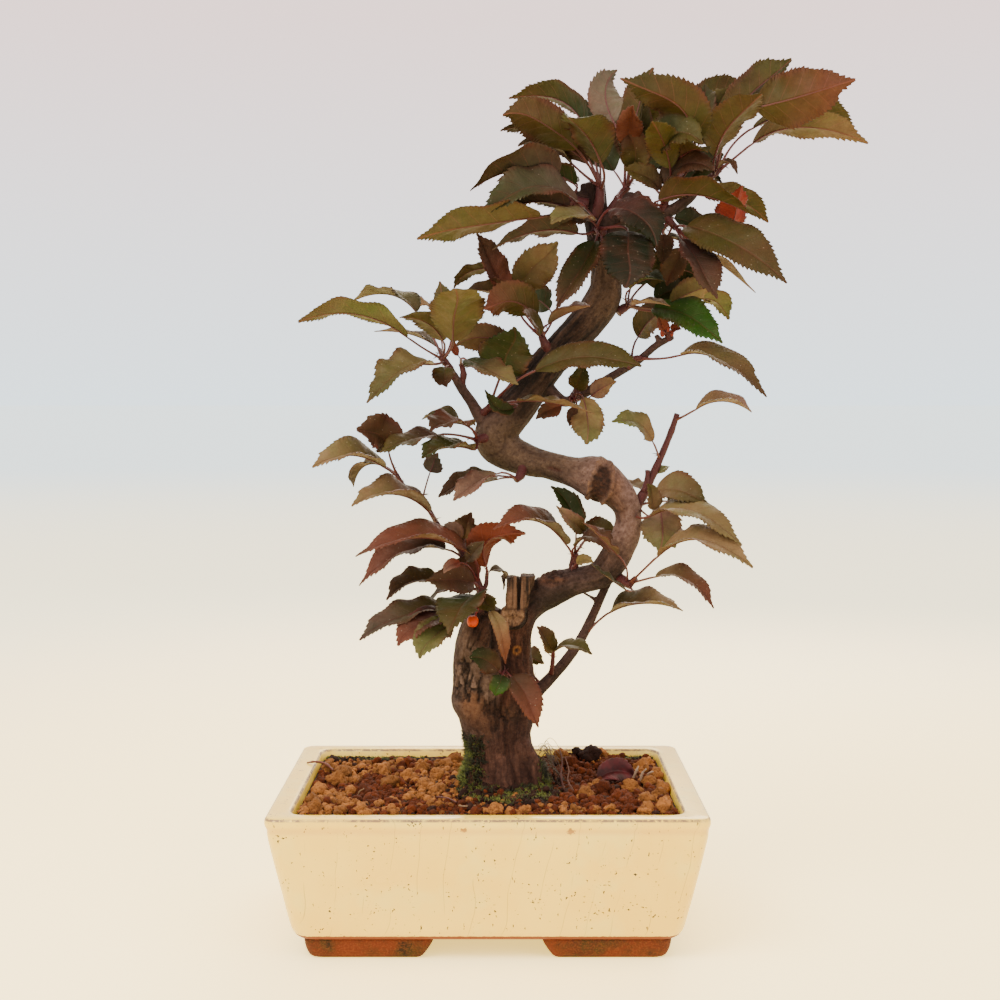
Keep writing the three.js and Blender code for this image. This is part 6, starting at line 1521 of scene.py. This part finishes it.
def glaze_material():
    """Cream glaze: gloss over soft clouds of colour, thin wandering craze lines, dark specks and short
    scratches, worn speckled edges on the rim, a few rust dabs, a band of painted shadow under the lip's
    step, and bare red-brown clay under the wall.
    Heights are in metres from the pot's foot."""
    made = Finish("cream_glaze", Coat_Weight=0.25, Coat_Roughness=0.1, Specular_IOR_Level=0.35)
    place = made.place()
    parts = made.parts(place)
    height = parts["Z"]
    clouds = made.noise(place, 20.0, 3.0)
    drift = made.noise(place, 55.0, 2.0)
    base = made.mix(made.range(clouds, 0.35, 0.65), 0xE0C24E, 0xDCB940)
    base = made.mix(made.range(drift, 0.5, 0.7, 0.0, 0.5), base, 0xD6C562)

    run = made.plus(parts["X"], parts["Y"])
    sway = made.noise(made.scaled(place, (1.0, 1.0, 0.8)), 13.0, 3.0, 0.5)
    run = made.math("MULTIPLY_ADD", sway, 0.034, run)
    line = made.math("FRACT", made.math("DIVIDE", run, 0.0125))
    line = made.math("ABSOLUTE", made.math("SUBTRACT", line, 0.5))
    upright = made.range(line, 0.006, 0.014, 1.0, 0.0, "LINEAR")
    broken = made.range(made.noise(made.scaled(place, (1.0, 1.0, 0.5)), 75.0, 2.0), 0.44, 0.52)
    craze = made.times(upright, broken)
    base = made.mix(made.times(craze, 0.42), base, 0x6E5A34)

    grain = made.noise(place, 700.0, 3.0, 0.7)
    rare = made.noise(place, 170.0, 1.0)
    dots = made.range(made.noise(place, 900.0, 1.0, 0.6), 0.66, 0.68)
    dots = made.times(dots, made.range(rare, 0.55, 0.63))
    nicks = made.noise(made.scaled(place, (1.0, 1.0, 0.3)), 900.0, 2.0, 0.6)
    nicks = made.times(made.range(nicks, 0.67, 0.69), made.range(rare, 0.45, 0.40))
    base = made.mix(made.math("MAXIMUM", dots, nicks), base, 0x1E160C)

    edge = made.times(made.range(height, 0.0603, 0.0608), made.range(height, 0.0616, 0.0613))
    worn = made.times(edge, made.range(grain, 0.30, 0.52))
    worn = made.times(worn, made.range(rare, 0.30, 0.50, 0.4, 1.0))
    base = made.mix(made.times(worn, 0.85), base, 0x503A42)
    for x, y, z, size in RUST_DABS:
        spot = tuple(to_part(np.array([x, y, z])))
        far = made.node("VectorMath", {0: place, 1: spot}, operation="DISTANCE").outputs["Value"]
        far = made.math("MULTIPLY_ADD", grain, 0.004, far)
        dab = made.range(far, size * MM + 0.0017, size * MM + 0.0011)
        base = made.mix(made.times(dab, 0.85), base, 0x5E2C08)
    # Painted shadow: a darker ochre band at the step under the lip
    lip_step_shadow = made.times(made.range(height, 0.0590, 0.0562), made.range(height, 0.0542, 0.0562))
    base = made.mix(made.times(lip_step_shadow, 0.35), base, 0xC28E48)
    bare = made.range(made.math("MULTIPLY_ADD", grain, 0.0010, height), 0.0112, 0.0116, 1.0, 0.0)
    base = made.mix(bare, base, 0x6A3012)
    rough_parts = made.math("MAXIMUM", made.times(worn, 0.5), made.times(bare, 0.7))
    made.set(Base_Color=base, Roughness=made.plus(rough_parts, made.range(clouds, 0.3, 0.7, 0.18, 0.28)))
    relief = made.plus(made.times(craze, -0.4), made.times(drift, 0.6))
    made.set(Normal=made.bump(relief, 0.0004, 0.35))
    return made.material


def clay_material():
    """Feet: bare orange-brown clay with olive and dark blotches and a fine sandy grain."""
    made = Finish("bare_clay", Roughness=0.75, Specular_IOR_Level=0.2)
    place = made.place()
    blotch = made.noise(place, 120.0, 4.0, 0.65)
    large = made.noise(place, 35.0, 2.0)
    sand = made.noise(place, 1300.0, 2.0)
    base = made.mix(made.range(large, 0.4, 0.6), 0x52200B, 0x3A1A0A)
    olive = made.times(made.range(blotch, 0.46, 0.6), made.range(large, 0.42, 0.58, 0.35, 1.0))
    base = made.mix(olive, base, 0x30240A)
    base = made.mix(made.range(blotch, 0.58, 0.68, 0.0, 0.9), base, 0x150D06)
    base = made.mix(made.range(sand, 0.4, 0.7, 0.0, 0.3), base, 0x7C401A)
    made.set(Base_Color=base, Normal=made.bump(made.plus(sand, blotch), 0.0004, 0.6))
    return made.material


# Soil

# Lumps that were seen: x, y, radius and kind
WET, DRY, DARK = range(3)
LUMP_ROW = [
    [-71, -44.5, 3.2, DRY], [-60, -45.5, 2.4, DRY], [-52, -45.8, 3.4, DRY], [-39.5, -45.5, 2.2, DRY],
    [-31, -45.5, 2.5, WET], [-23, -46, 2.0, DARK], [-5, -46, 1.6, DRY], [3, -46.4, 2.8, DRY],
    [8.6, -46.4, 2.0, DRY], [15.5, -46.4, 2.5, DRY], [26, -46.2, 1.5, DRY], [31, -46.2, 2.4, DRY],
    [36, -46.5, 2.2, DRY], [44, -46, 2.6, DRY], [49.5, -46, 2.9, DRY], [58, -45.5, 2.6, WET],
    [66, -44.5, 3.0, DRY], [72.5, -42.5, 3.2, DRY], [75, -34, 3.0, DRY], [73, -22, 3.4, DRY],
    [67, -31, 3.2, DRY], [60, -37, 2.6, WET], [-74, -30, 3.4, DRY], [-73, -14, 3.8, DRY],
    [-68, 3, 4.2, DRY], [-66, 16, 3.6, DRY], [-73.5, 26, 3.2, DRY], [-54, -12, 3.2, WET],
    [-44, -3, 3.6, DRY], [-36, 8, 3.4, DRY], [-48, 20, 3.8, DRY], [-30, 22, 3.6, DRY],
    [-20, 30, 3.4, DRY], [-16, 38, 3.8, DRY], [-38, 34, 3.2, WET], [-28, -6, 2.8, DRY], [-22, 8, 3.2, DRY],
    [34, 33, 3.6, DRY], [41, 37, 3.0, DARK], [47, 33, 4.2, DARK], [52, 39, 3.6, DRY], [58, 30, 3.0, WET],
    [38, 26, 3.4, WET], [70, 26, 3.6, DRY], [76, 12, 3.2, DRY], [71, 2, 3.4, DRY], [62, -8, 3.4, DRY],
    [50, -14, 3.6, WET], [42, -22, 3.4, DRY], [55, -24, 3.0, WET], [46, -33, 2.6, WET], [77, -8, 3.0, DRY],
    [64, 14, 2.8, WET], [74, 34, 3.2, DRY],
]
GRAIN_COLOURS = {WET: 0x783814, DRY: 0xC48042, DARK: 0x40241A}


def soil_height(x, y):
    """The soil's top: level, with a mound at the trunk, a heap at the right rear and a rise to the front.
    Both hills fall away as exp(-d²)."""
    height = np.full(np.shape(x), SOIL_EDGE)
    for hill in (MOUND, HEAP):
        (middle_x, middle_y), (reach_x, reach_y) = hill["place"], hill["reach"]
        spread = ((x - middle_x) / reach_x) ** 2 + ((y - middle_y) / reach_y) ** 2
        height = height + hill["height"] * np.exp(-spread)
    return height + FRONT_RISE["height"] * ease(-y, FRONT_RISE["from"], FRONT_RISE["to"])


def make_soil():
    """The soil: a bed that fills the cavity, its top drawn in ring by ring to the middle and roughened, and
    the grains on it."""
    z = np.array([CAVITY_FLOOR + 0.5, 40.0, SOIL_EDGE])
    half = pot_inner(z) - 0.3
    sides = rounded_rectangle(half[:, 0], half[:, 1], INNER_CORNER - 0.3, z, 6, 24)
    top = sides[-1] * np.linspace(1, 0.02, 40)[1:, None, None]
    top[..., 2] = soil_height(top[..., 0], top[..., 1]) + 1.1 * rough(top * [1, 1, 0], 5, 71)
    skin = Skin()
    skin.add(np.concatenate([sides, top]))
    skin.piece("soil_bed", [soil_material()], ["soil"])
    random = np.random.default_rng(81)
    scatter_grains("soil_crumbs", 2.0, 1, 0.65, 1.35, random)
    scatter_grains("soil_grains", 3.3, 2, 1.0, 2.3, random)
    place_lumps(random)


def clear_of_stem(spots, reach=1.0):
    """True where a place on the soil lies outside the ellipse that the stem and its roots fill."""
    return ((spots[:, 0] - 9) / 15) ** 2 + (spots[:, 1] / 11) ** 2 > reach


def mossy(spots):
    """From 0 to 1: how much moss and dark debris covers the soil, near the stem and along the back wall."""
    x, y = spots[:, 0], spots[:, 1]
    stem = 1 - ease(np.hypot((x - 9) / 27, (y + 10) / 31), 0.72, 1.05)
    back_left = ease(y, 41, 45) * ease(-x, 8, 20)
    back_right = ease(y, 40, 45) * ease(x, 54, 62)
    return np.clip(stem + back_left + back_right, 0, 1)


def scatter_grains(name, pitch, detail, low, high, random):
    """Clay grains: one ball of few faces for each place of a jittered grid, from the low to the high radius.
    Noise of the place tells dry from wet, and the moss hides some."""
    half = pot_inner(np.array(SOIL_EDGE)) - 0.8
    grid = np.stack(np.meshgrid(*(np.arange(-reach, reach, pitch) for reach in half)), -1)
    spots = grid.reshape(-1, 2) + random.uniform(-0.5, 0.5, (grid.size // 2, 2)) * pitch
    size = low + (high - low) * random.random(len(spots)) ** 1.8
    keep = (np.abs(spots) < half - size[:, None] * 0.85).all(1) & clear_of_stem(spots)
    keep &= random.random(len(spots)) > 0.75 * mossy(spots) * (detail > 1)
    spots, size = spots[keep], size[keep]
    lift = size * random.uniform(0.0, 0.75, len(size))
    place = np.column_stack([spots, 0 * size])
    dry = noise(place, 16, 83) + 0.5 * noise(place, 6, 84) + 0.45 * (detail > 1)
    dry = dry - 0.6 * ease(spots[:, 0], 5, 36)
    kinds = np.where(dry > random.uniform(0.0, 0.9, len(size)), DRY, WET)
    kinds = np.where(random.random(len(size)) < 0.035 + 0.8 * mossy(spots), DARK, kinds)
    centres = np.column_stack([spots, soil_height(*spots.T) + lift])
    add_lumps(name, ball(detail), centres, size, kinds, random)


def place_lumps(random):
    """The large lumps where they were seen, each with three smaller ones beside it."""
    half = pot_inner(np.array(SOIL_EDGE)) - 0.8
    rows = np.array(LUMP_ROW, float)
    size = rows[:, 2]
    around = random.uniform(-1, 1, (len(rows), 3, 2)) * [4.2, 3.2]
    spots = np.concatenate([rows[:, :2], (rows[:, None, :2] + around).reshape(-1, 2)])
    size = np.concatenate([size, np.repeat(size, 3) * random.uniform(0.45, 0.7, 3 * len(rows))])
    kinds = np.concatenate([rows[:, 3], np.repeat(rows[:, 3], 3)]).astype(int)
    spots = np.clip(spots, size[:, None] - half - 0.2, half - size[:, None] + 0.2)
    keep = clear_of_stem(spots, 1.35)
    centres = np.column_stack([spots, soil_height(*spots.T) + size * 0.55])[keep]
    add_lumps("soil_lumps", ball(3), centres, size[keep], kinds[keep], random)


def add_lumps(name, shape, centres, size, kinds, random):
    """One ball for each centre as a piece of soil; a ball of more faces is more knobbly."""
    points, triangles = shape
    skin = Skin()
    lumps = turned_lumps(points, centres, size, random, 0.24 if len(points) < 100 else 0.34, 0.9)
    skin.add_copies(lumps, triangles, grain_tints(kinds, random))
    skin.piece(name, [GRAIN])


def turned_lumps(points, centres, size, random, relief, relief_size):
    """The ball's points made into many lumps: squashed along three axes, turned at random, and pushed in
    and out by fields of the given size and smaller, which makes them knobbly."""
    count = len(centres)
    turns = unit(random.standard_normal((count, 4)))
    w, x, y, z = turns.T
    rotation = np.stack([
        1 - 2 * (y * y + z * z), 2 * (x * y - w * z), 2 * (x * z + w * y),
        2 * (x * y + w * z), 1 - 2 * (x * x + z * z), 2 * (y * z - w * x),
        2 * (x * z - w * y), 2 * (y * z + w * x), 1 - 2 * (x * x + y * y),
    ], -1).reshape(count, 3, 3)
    squash = random.uniform(0.72, 1.15, (count, 3))
    lumps = points[None] * squash[:, None]
    seat = centres[:, None] * 7.3
    spot = lumps * size[:, None, None] + seat
    bumps = 1 + relief * noise(spot, relief_size, 91) + relief * 0.9 * noise(spot, relief_size * 2.3, 92)
    turned = np.einsum("nij,npj->npi", rotation, lumps * bumps[..., None])
    return centres[:, None] + turned * size[:, None, None]


def grain_tints(kinds, random):
    """Clay colours of the kinds, each a little lighter or darker, with a random fourth value."""
    picked = np.stack([LIGHT_SHARE * colour(code) for code in GRAIN_COLOURS.values()])[kinds]
    count = len(kinds)
    return np.column_stack([picked * random.uniform(0.6, 1.25, (count, 1)), random.random(count)])


def grain_material():
    """Clay grains: own tint, a rough knobbly face, painted shade darkening the hollows between the knobs."""
    made = Finish("clay_grain", Roughness=0.9, Specular_IOR_Level=0.15)
    own = made.attribute()["Color"]
    place = made.place()
    knobs = made.noise(place, 1100.0, 3.0, 0.65)
    large = made.noise(place, 420.0, 2.0)
    # Painted shade: darker where the knobs' noise is low, in the hollows that the bump presses in
    base = made.mix(made.range(knobs, 0.55, 0.3, 0.0, 0.75), own, made.toned(own, (0.30, 0.22, 0.18)))
    base = made.mix(made.range(large, 0.5, 0.75, 0.0, 0.4), base, made.toned(base, (1.5, 1.4, 1.2)))
    made.set(Base_Color=base, Normal=made.bump(made.plus(knobs, large), 0.0009, 1.0))
    return made.material


def soil_material():
    """Soil between the grains: dark, damp and crumbly."""
    made = Finish("soil_bed", Roughness=0.95, Specular_IOR_Level=0.15)
    place = made.place()
    crumbs = made.cells(place, 600.0)
    damp = made.range(made.noise(place, 150.0, 4.0), 0.35, 0.65)
    base = made.mix(damp, (0.030, 0.012, 0.006), (0.075, 0.030, 0.012))
    base = made.mix(made.range(crumbs, 0.2, 0.7), base, (0.010, 0.005, 0.003))
    made.set(Base_Color=base, Normal=made.bump(crumbs, 0.001, 0.9))
    return made.material


# Nets, fruit and the leaf on the soil

def net_material():
    """Plastic mesh over the drain holes: dark, with fine ribs and dust."""
    made = Finish("net", Roughness=0.55, Specular_IOR_Level=0.4)
    dust = made.noise(made.place(), 400.0, 3.0)
    made.set(Base_Color=made.mix(made.range(dust, 0.45, 0.7), 0x20241F, 0x5C4A38))
    made.set(Normal=made.bump(dust, 0.0003, 0.5))
    return made.material


def make_fruit():
    """The fruit on its curved stalk: a ball drawn in at both ends, with its radius round the stalk
    (sin t)^.9·(1 + .03·cos 5·turn·cos² t)."""
    skin = Skin()
    centre = seen([[-7, 132, -12]])[0]
    t = np.linspace(0.03, 0.97, 28)[:, None] * np.pi
    turn = np.linspace(0, 2 * np.pi, 32, endpoint=False)[None]
    out = np.sin(t) ** 0.9 * (1 + 0.03 * np.cos(5 * turn) * np.cos(t) ** 2)
    rise = -np.cos(t) * (1 - 0.18 * np.exp(-((np.sin(t) / 0.35) ** 2)))
    ball_points = np.broadcast_arrays(out * np.cos(turn), out * np.sin(turn), rise * 1.08)
    skin.add(centre + 2.5 * np.stack(ball_points, -1))
    path = seen(smooth_line([[-6.6, 133, -11.5], [-5.4, 136, -9], [-4.3, 138.5, -6.6]], 8))
    skin.add_tube(path, np.linspace(0.4, 0.6, len(path)), 8, colour(0x6E2420), 1)
    made = Finish("fruit", Roughness=0.5, Specular_IOR_Level=0.2)
    spots = made.noise(made.place(), 500.0, 3.0)
    blush = made.noise(made.place(), 130.0, 2.0)
    base = made.mix(made.range(blush, 0.35, 0.65), 0xA83A04, 0x8C2606)
    made.set(Base_Color=made.mix(made.range(spots, 0.6, 0.75, 0.0, 0.35), base, 0xC06818))
    made.set(Normal=made.bump(spots, 0.0002, 0.3))
    skin.piece("fruit_on_stalk", [made.material, STALK], ["fruit"])


def make_fallen_leaf():
    """The dry, arched leaf on the soil: a blade like the others, without a stalk."""
    rib = np.array([[48.5, 1, 61.2], [57, 4, 64.0], [66, 6, 60.8]])
    rings, uv, _ = blade(rib, [0, -0.75, 0.7], 5.6, np.random.default_rng(5))
    skin = Skin()
    skin.add(rings, colour(0x4A1F2A), 0, uv)
    skin.piece("fallen_leaf_dry", [dry_leaf_material()], ["fallen_leaf"])


def dry_leaf_material():
    """The dry leaf: dark purple-brown, glossy, with pale worn patches."""
    made = Finish("dry_leaf", Roughness=0.45, Specular_IOR_Level=0.15)
    place = made.place()
    blotch = made.noise(place, 160.0, 4.0)
    base = made.mix(made.range(blotch, 0.35, 0.65), (0.014, 0.0018, 0.002), (0.050, 0.005, 0.007))
    base = made.mix(made.range(blotch, 0.62, 0.75, 0.0, 0.4), base, (0.07, 0.02, 0.02))
    made.set(Base_Color=base, Normal=made.bump(blotch, 0.0006, 0.6))
    return made.material


# Moss and litter

# Threads and dry bits: each a line of x, y, z and radius on the soil, and its colour
STRAW, HUSK = 0xB49A70, 0xC9B092
LITTER = [
    ([[-84, 26, 62.0, 0.35], [-80, 24, 63.0, 0.5], [-75, 22, 62.6, 0.55], [-71, 19, 60.2, 0.4]], 0x7A3A1A),
    ([[33, -14, 60, 0.3], [31.5, -12, 66, 0.35], [32, -10, 72, 0.3], [31, -9, 77, 0.25]], 0x4A2A1E),
    ([[37, -14, 60, 0.3], [34.5, -11, 64, 0.35], [35.0, -9, 68, 0.3], [33.5, -6, 73, 0.2]], 0x6A4A32),
    ([[64, 4, 60, 0.4], [65.5, 3, 64, 0.7], [66.5, 3, 66.5, 0.3]], HUSK),
    ([[67, 1, 59.5, 0.4], [68, 1, 63.5, 0.6], [69.6, 0, 66, 0.3]], HUSK),
    ([[70, 4, 60, 0.3], [71, 3, 63, 0.5], [73, 2, 64.4, 0.3]], HUSK),
    ([[-12, -42, 62, 0.25], [-9, -44, 62.3, 0.3], [-5, -42, 62.1, 0.25]], STRAW),
    ([[-22, -26, 61, 0.3], [-17, -30, 61.6, 0.35], [-13, -36, 61.5, 0.3]], 0x5A2A1C),
    ([[-56, -20, 60, 0.25], [-55, -21, 62, 0.3], [-53, -22, 63.4, 0.25]], STRAW),
]
THREADS = 26
MOSS_TRIES = 26000
MOSS_LOW = np.array([0.010, 0.011, 0.003])
MOSS_BRIGHT = np.array([0.15, 0.19, 0.018])


def moss_places(random):
    """Where moss grows: on the trunk's foot, thick at the left up to the bulge and at the right, and on the
    soil round it and along the back wall. Rows of place, direction and how thick it stands there."""
    points, normals = mesh_arrays(bpy.data.objects["trunk_bark"].data)
    x, y, z = points.T
    above = z > 56
    left = ease(-x, -1, 5) * (1 - ease(z + 0.5 * rough(points, 8, 201), 78, 86)) * above
    right = ease(x, 20.5, 24) * (1 - ease(z + 3 * noise(points, 6, 202), 68, 78)) * above
    foot = (1 - ease(z + 2 * noise(points, 5, 203), 58.5, 63)) * above
    back = ease(y, 4, 8) * (1 - ease(z, 64, 76)) * above
    share = np.clip(left + right + 0.5 * foot + 0.6 * back, 0, 1)
    chosen = random.random(len(points)) < share * 0.42
    spots = random.uniform(-1, 1, (MOSS_TRIES, 2)) * (pot_inner(np.array(SOIL_EDGE)) - 1.5)
    flat = np.column_stack([spots, soil_height(*spots.T) + 0.4])
    patchy = ease(mossy(spots) * (0.75 + 0.8 * noise(flat, 7, 204)), 0.35, 0.8)
    lying = (random.random(len(spots)) < patchy * 0.5) & clear_of_stem(spots, 0.7)
    places = np.vstack([points[chosen], flat[lying]])
    ups = np.vstack([normals[chosen], np.broadcast_to([0, 0, 1.0], (int(lying.sum()), 3))])
    thick = np.concatenate([share[chosen], 0.35 + 0 * flat[lying, 0]])
    return places, ups, thick


def make_moss():
    """Moss: from each place a tuft of three leaning blades, each a thin pyramid, black-green below with
    clusters of bright tips."""
    random = np.random.default_rng(205)
    places, ups, thick = (np.repeat(part, 3, axis=0) for part in moss_places(random))
    count = len(places)
    lean = unit(ups + 0.55 * random.standard_normal((count, 3)) + [0, 0, 0.35])
    reach = random.uniform(0.8, 1.9, count) * (0.6 + 1.0 * thick)
    side = unit(np.cross(lean, random.standard_normal((count, 3))))
    other = np.cross(lean, side)
    turn = (np.array([0, 2, 4]) * np.pi / 3)[:, None]
    wide = random.uniform(0.16, 0.34, count)[:, None, None]
    foot = places[:, None] + wide * (np.cos(turn) * side[:, None] + np.sin(turn) * other[:, None])
    foot = foot + random.uniform(-0.5, 0.5, (count, 1, 3))
    tips = places + lean * reach[:, None] + random.uniform(-0.3, 0.3, (count, 3))
    points = np.concatenate([foot, tips[:, None]], axis=1)
    triangles = np.array([[0, 2, 1], [0, 1, 3], [1, 2, 3], [2, 0, 3]])
    clusters = noise(places, 5.5, 206) + 0.7 * noise(places, 2.2, 207) + 0.5 * ease(-places[:, 2], -80, -66)
    fresh = ease(clusters, 0.15, 0.75) * random.uniform(0.3, 1, count)
    tint = np.ones((count, 4, 4))
    tint[:, :3, :3] = MOSS_LOW
    tint[:, 3, :3] = blend_colours(MOSS_LOW * 1.6, MOSS_BRIGHT, fresh)
    skin = Skin()
    skin.add_copies(points, triangles, tint)
    skin.piece("moss", [moss_material()])


def moss_material():
    """Moss: its own tint, darker and lighter in small patches, with a faint gleam of damp."""
    made = Finish("moss", Roughness=0.6, Specular_IOR_Level=0.3)
    own = made.attribute()["Color"]
    patch = made.noise(made.place(), 300.0, 3.0)
    darker = made.range(patch, 0.35, 0.65, 0.0, 0.6)
    made.set(Base_Color=made.mix(darker, own, made.toned(own, (0.5, 0.45, 0.4))))
    made.set(Normal=made.bump(patch, 0.0003, 0.5))
    return made.material


def make_litter():
    """Dry bits on the soil and threads that arch from the trunk's foot: tubes along smooth lines. A thread is
    root + t·reach + 4t(1-t)·arch - t^2.2·fall."""
    random = np.random.default_rng(211)
    skin = Skin()
    for rows, code in LITTER:
        line = smooth_line(rows, 8)
        radii = line[:, 3] * random.uniform(0.75, 1.25, len(line))
        skin.add_tube(line[:, :3], radii, 7, LIGHT_SHARE * colour(code))
    t = np.linspace(0, 1, 14)[:, None]
    for _ in range(THREADS):
        root = random.uniform([21.5, -10, 66], [25, 6, 78])
        reach = random.uniform([2, -5, 1], [9, 4, 5])
        fall = np.array([random.uniform(0, 3), 0, random.uniform(5, 13)])
        line = root + reach * t + 4 * t * (1 - t) * [0, 0, random.uniform(1, 3)] - fall * t**2.2 * [-1, 0, 1]
        skin.add_tube(line, np.full(14, 0.11), 5, (0.02, 0.028, 0.012))
    skin.piece("litter", [STALK])


# Stage, camera and light

# Soft lamps: place in the pot's frame, size in metres and power
LAMPS = {
    "key": ((-380, -420, 700), 0.45, 11.0),
    "fill": ((600, -520, 520), 0.45, 3.0),
    "back": ((150, 600, 600), 0.6, 8.0),
}


def make_floor():
    """A level pale floor that meets the studio's pale wall far off. It glows, with a painted pool of warm
    light round the pot that fades to a pale blue glow far off.
    """
    floor_mesh = bpy.data.meshes.new("floor")
    reach = 60.0
    corners = [(reach * sign_x, reach * sign_y, 0) for sign_x, sign_y in CORNERS]
    floor_mesh.from_pydata(corners, [], [(2, 3, 0, 1)])
    pale = Finish("pale_floor", Roughness=0.9, Specular_IOR_Level=0.1, Emission_Strength=1.0)
    distance = pale.node("VectorMath", {0: pale.place()}, operation="LENGTH").outputs["Value"]
    far = pale.range(distance, 0.9, 4.5)
    middle = pale.range(distance, 0.2, 1.1)
    pale.set(Base_Color=pale.mix(far, (0.88, 0.78, 0.55), (0.80, 0.83, 0.86)))
    # Painted light: a strong warm glow round the pot, a pool of light on the floor
    glow = pale.mix(middle, (1.45, 1.05, 0.22), (0.85, 1.0, 0.80))
    pale.set(Emission_Color=pale.mix(far, glow, (0.11, 0.52, 0.72)))
    floor_mesh.materials.append(pale.material)
    new_object("floor", floor_mesh)


def make_studio():
    """Light from all round: pale blue below, rose just above the floor and cream higher up."""
    world = bpy.data.worlds.new("studio")
    bpy.context.scene.world = world
    world.use_nodes = True
    nodes, links = world.node_tree.nodes, world.node_tree.links
    height = nodes.new("ShaderNodeSeparateXYZ")
    links.new(nodes.new("ShaderNodeTexCoord").outputs["Generated"], height.inputs[0])
    ramp = nodes.new("ShaderNodeValToRGB")
    links.new(height.outputs["Z"], ramp.inputs[0])
    ramp.color_ramp.elements[0].color = (0.80, 0.92, 0.98, 1)
    ramp.color_ramp.elements[1].position = 0.26
    ramp.color_ramp.elements[1].color = (0.90, 0.70, 0.67, 1)
    ramp.color_ramp.elements.new(0.6).color = (1.0, 0.86, 0.70, 1)
    links.new(ramp.outputs["Color"], nodes["Background"].inputs["Color"])
    nodes["Background"].inputs["Strength"].default_value = 2.3


def make_stage():
    """Floor, studio, the soft lamps, which point at the tree's middle, and the camera of the front view."""
    make_floor()
    make_studio()
    centre = Vector(to_part(np.array([20.0, 0.0, 190.0])))
    for name, (place, size, power) in LAMPS.items():
        lamp = bpy.data.lights.new(name, "AREA")
        lamp.size = size
        lamp.energy = power
        lamp.color = (1.0, 0.9, 0.76)
        holder = new_object(name, lamp)
        holder.location = to_part(np.array(place, float))
        holder.rotation_euler = (centre - holder.location).to_track_quat("-Z", "Y").to_euler()

    camera = bpy.data.cameras.new("front_view")
    camera.lens = CAMERA_LENS
    camera.sensor_width = 36
    camera.clip_start = 0.02
    holder = new_object("front_view", camera)
    holder.location = to_part(EYE)
    holder.rotation_euler = (radians(90 - CAMERA_PITCH), 0, 0)
    bpy.context.scene.camera = holder


# The whole plant in its pot

LEAF = leaf_material()
STALK = stalk_material()
TWIG = twig_material()
GRAIN = grain_material()

make_stage()
make_pot()
make_soil()
make_trunk()
for number, spray in enumerate(LEAVES):
    make_spray(spray, np.random.default_rng(100 + number))
make_fruit()
make_fallen_leaf()
make_moss()
make_litter()
net_finish = net_material()
for name in ("drain_net_1", "drain_net_2"):
    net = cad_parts[name]
    net.data.materials.clear()
    net.data.materials.append(net_finish)
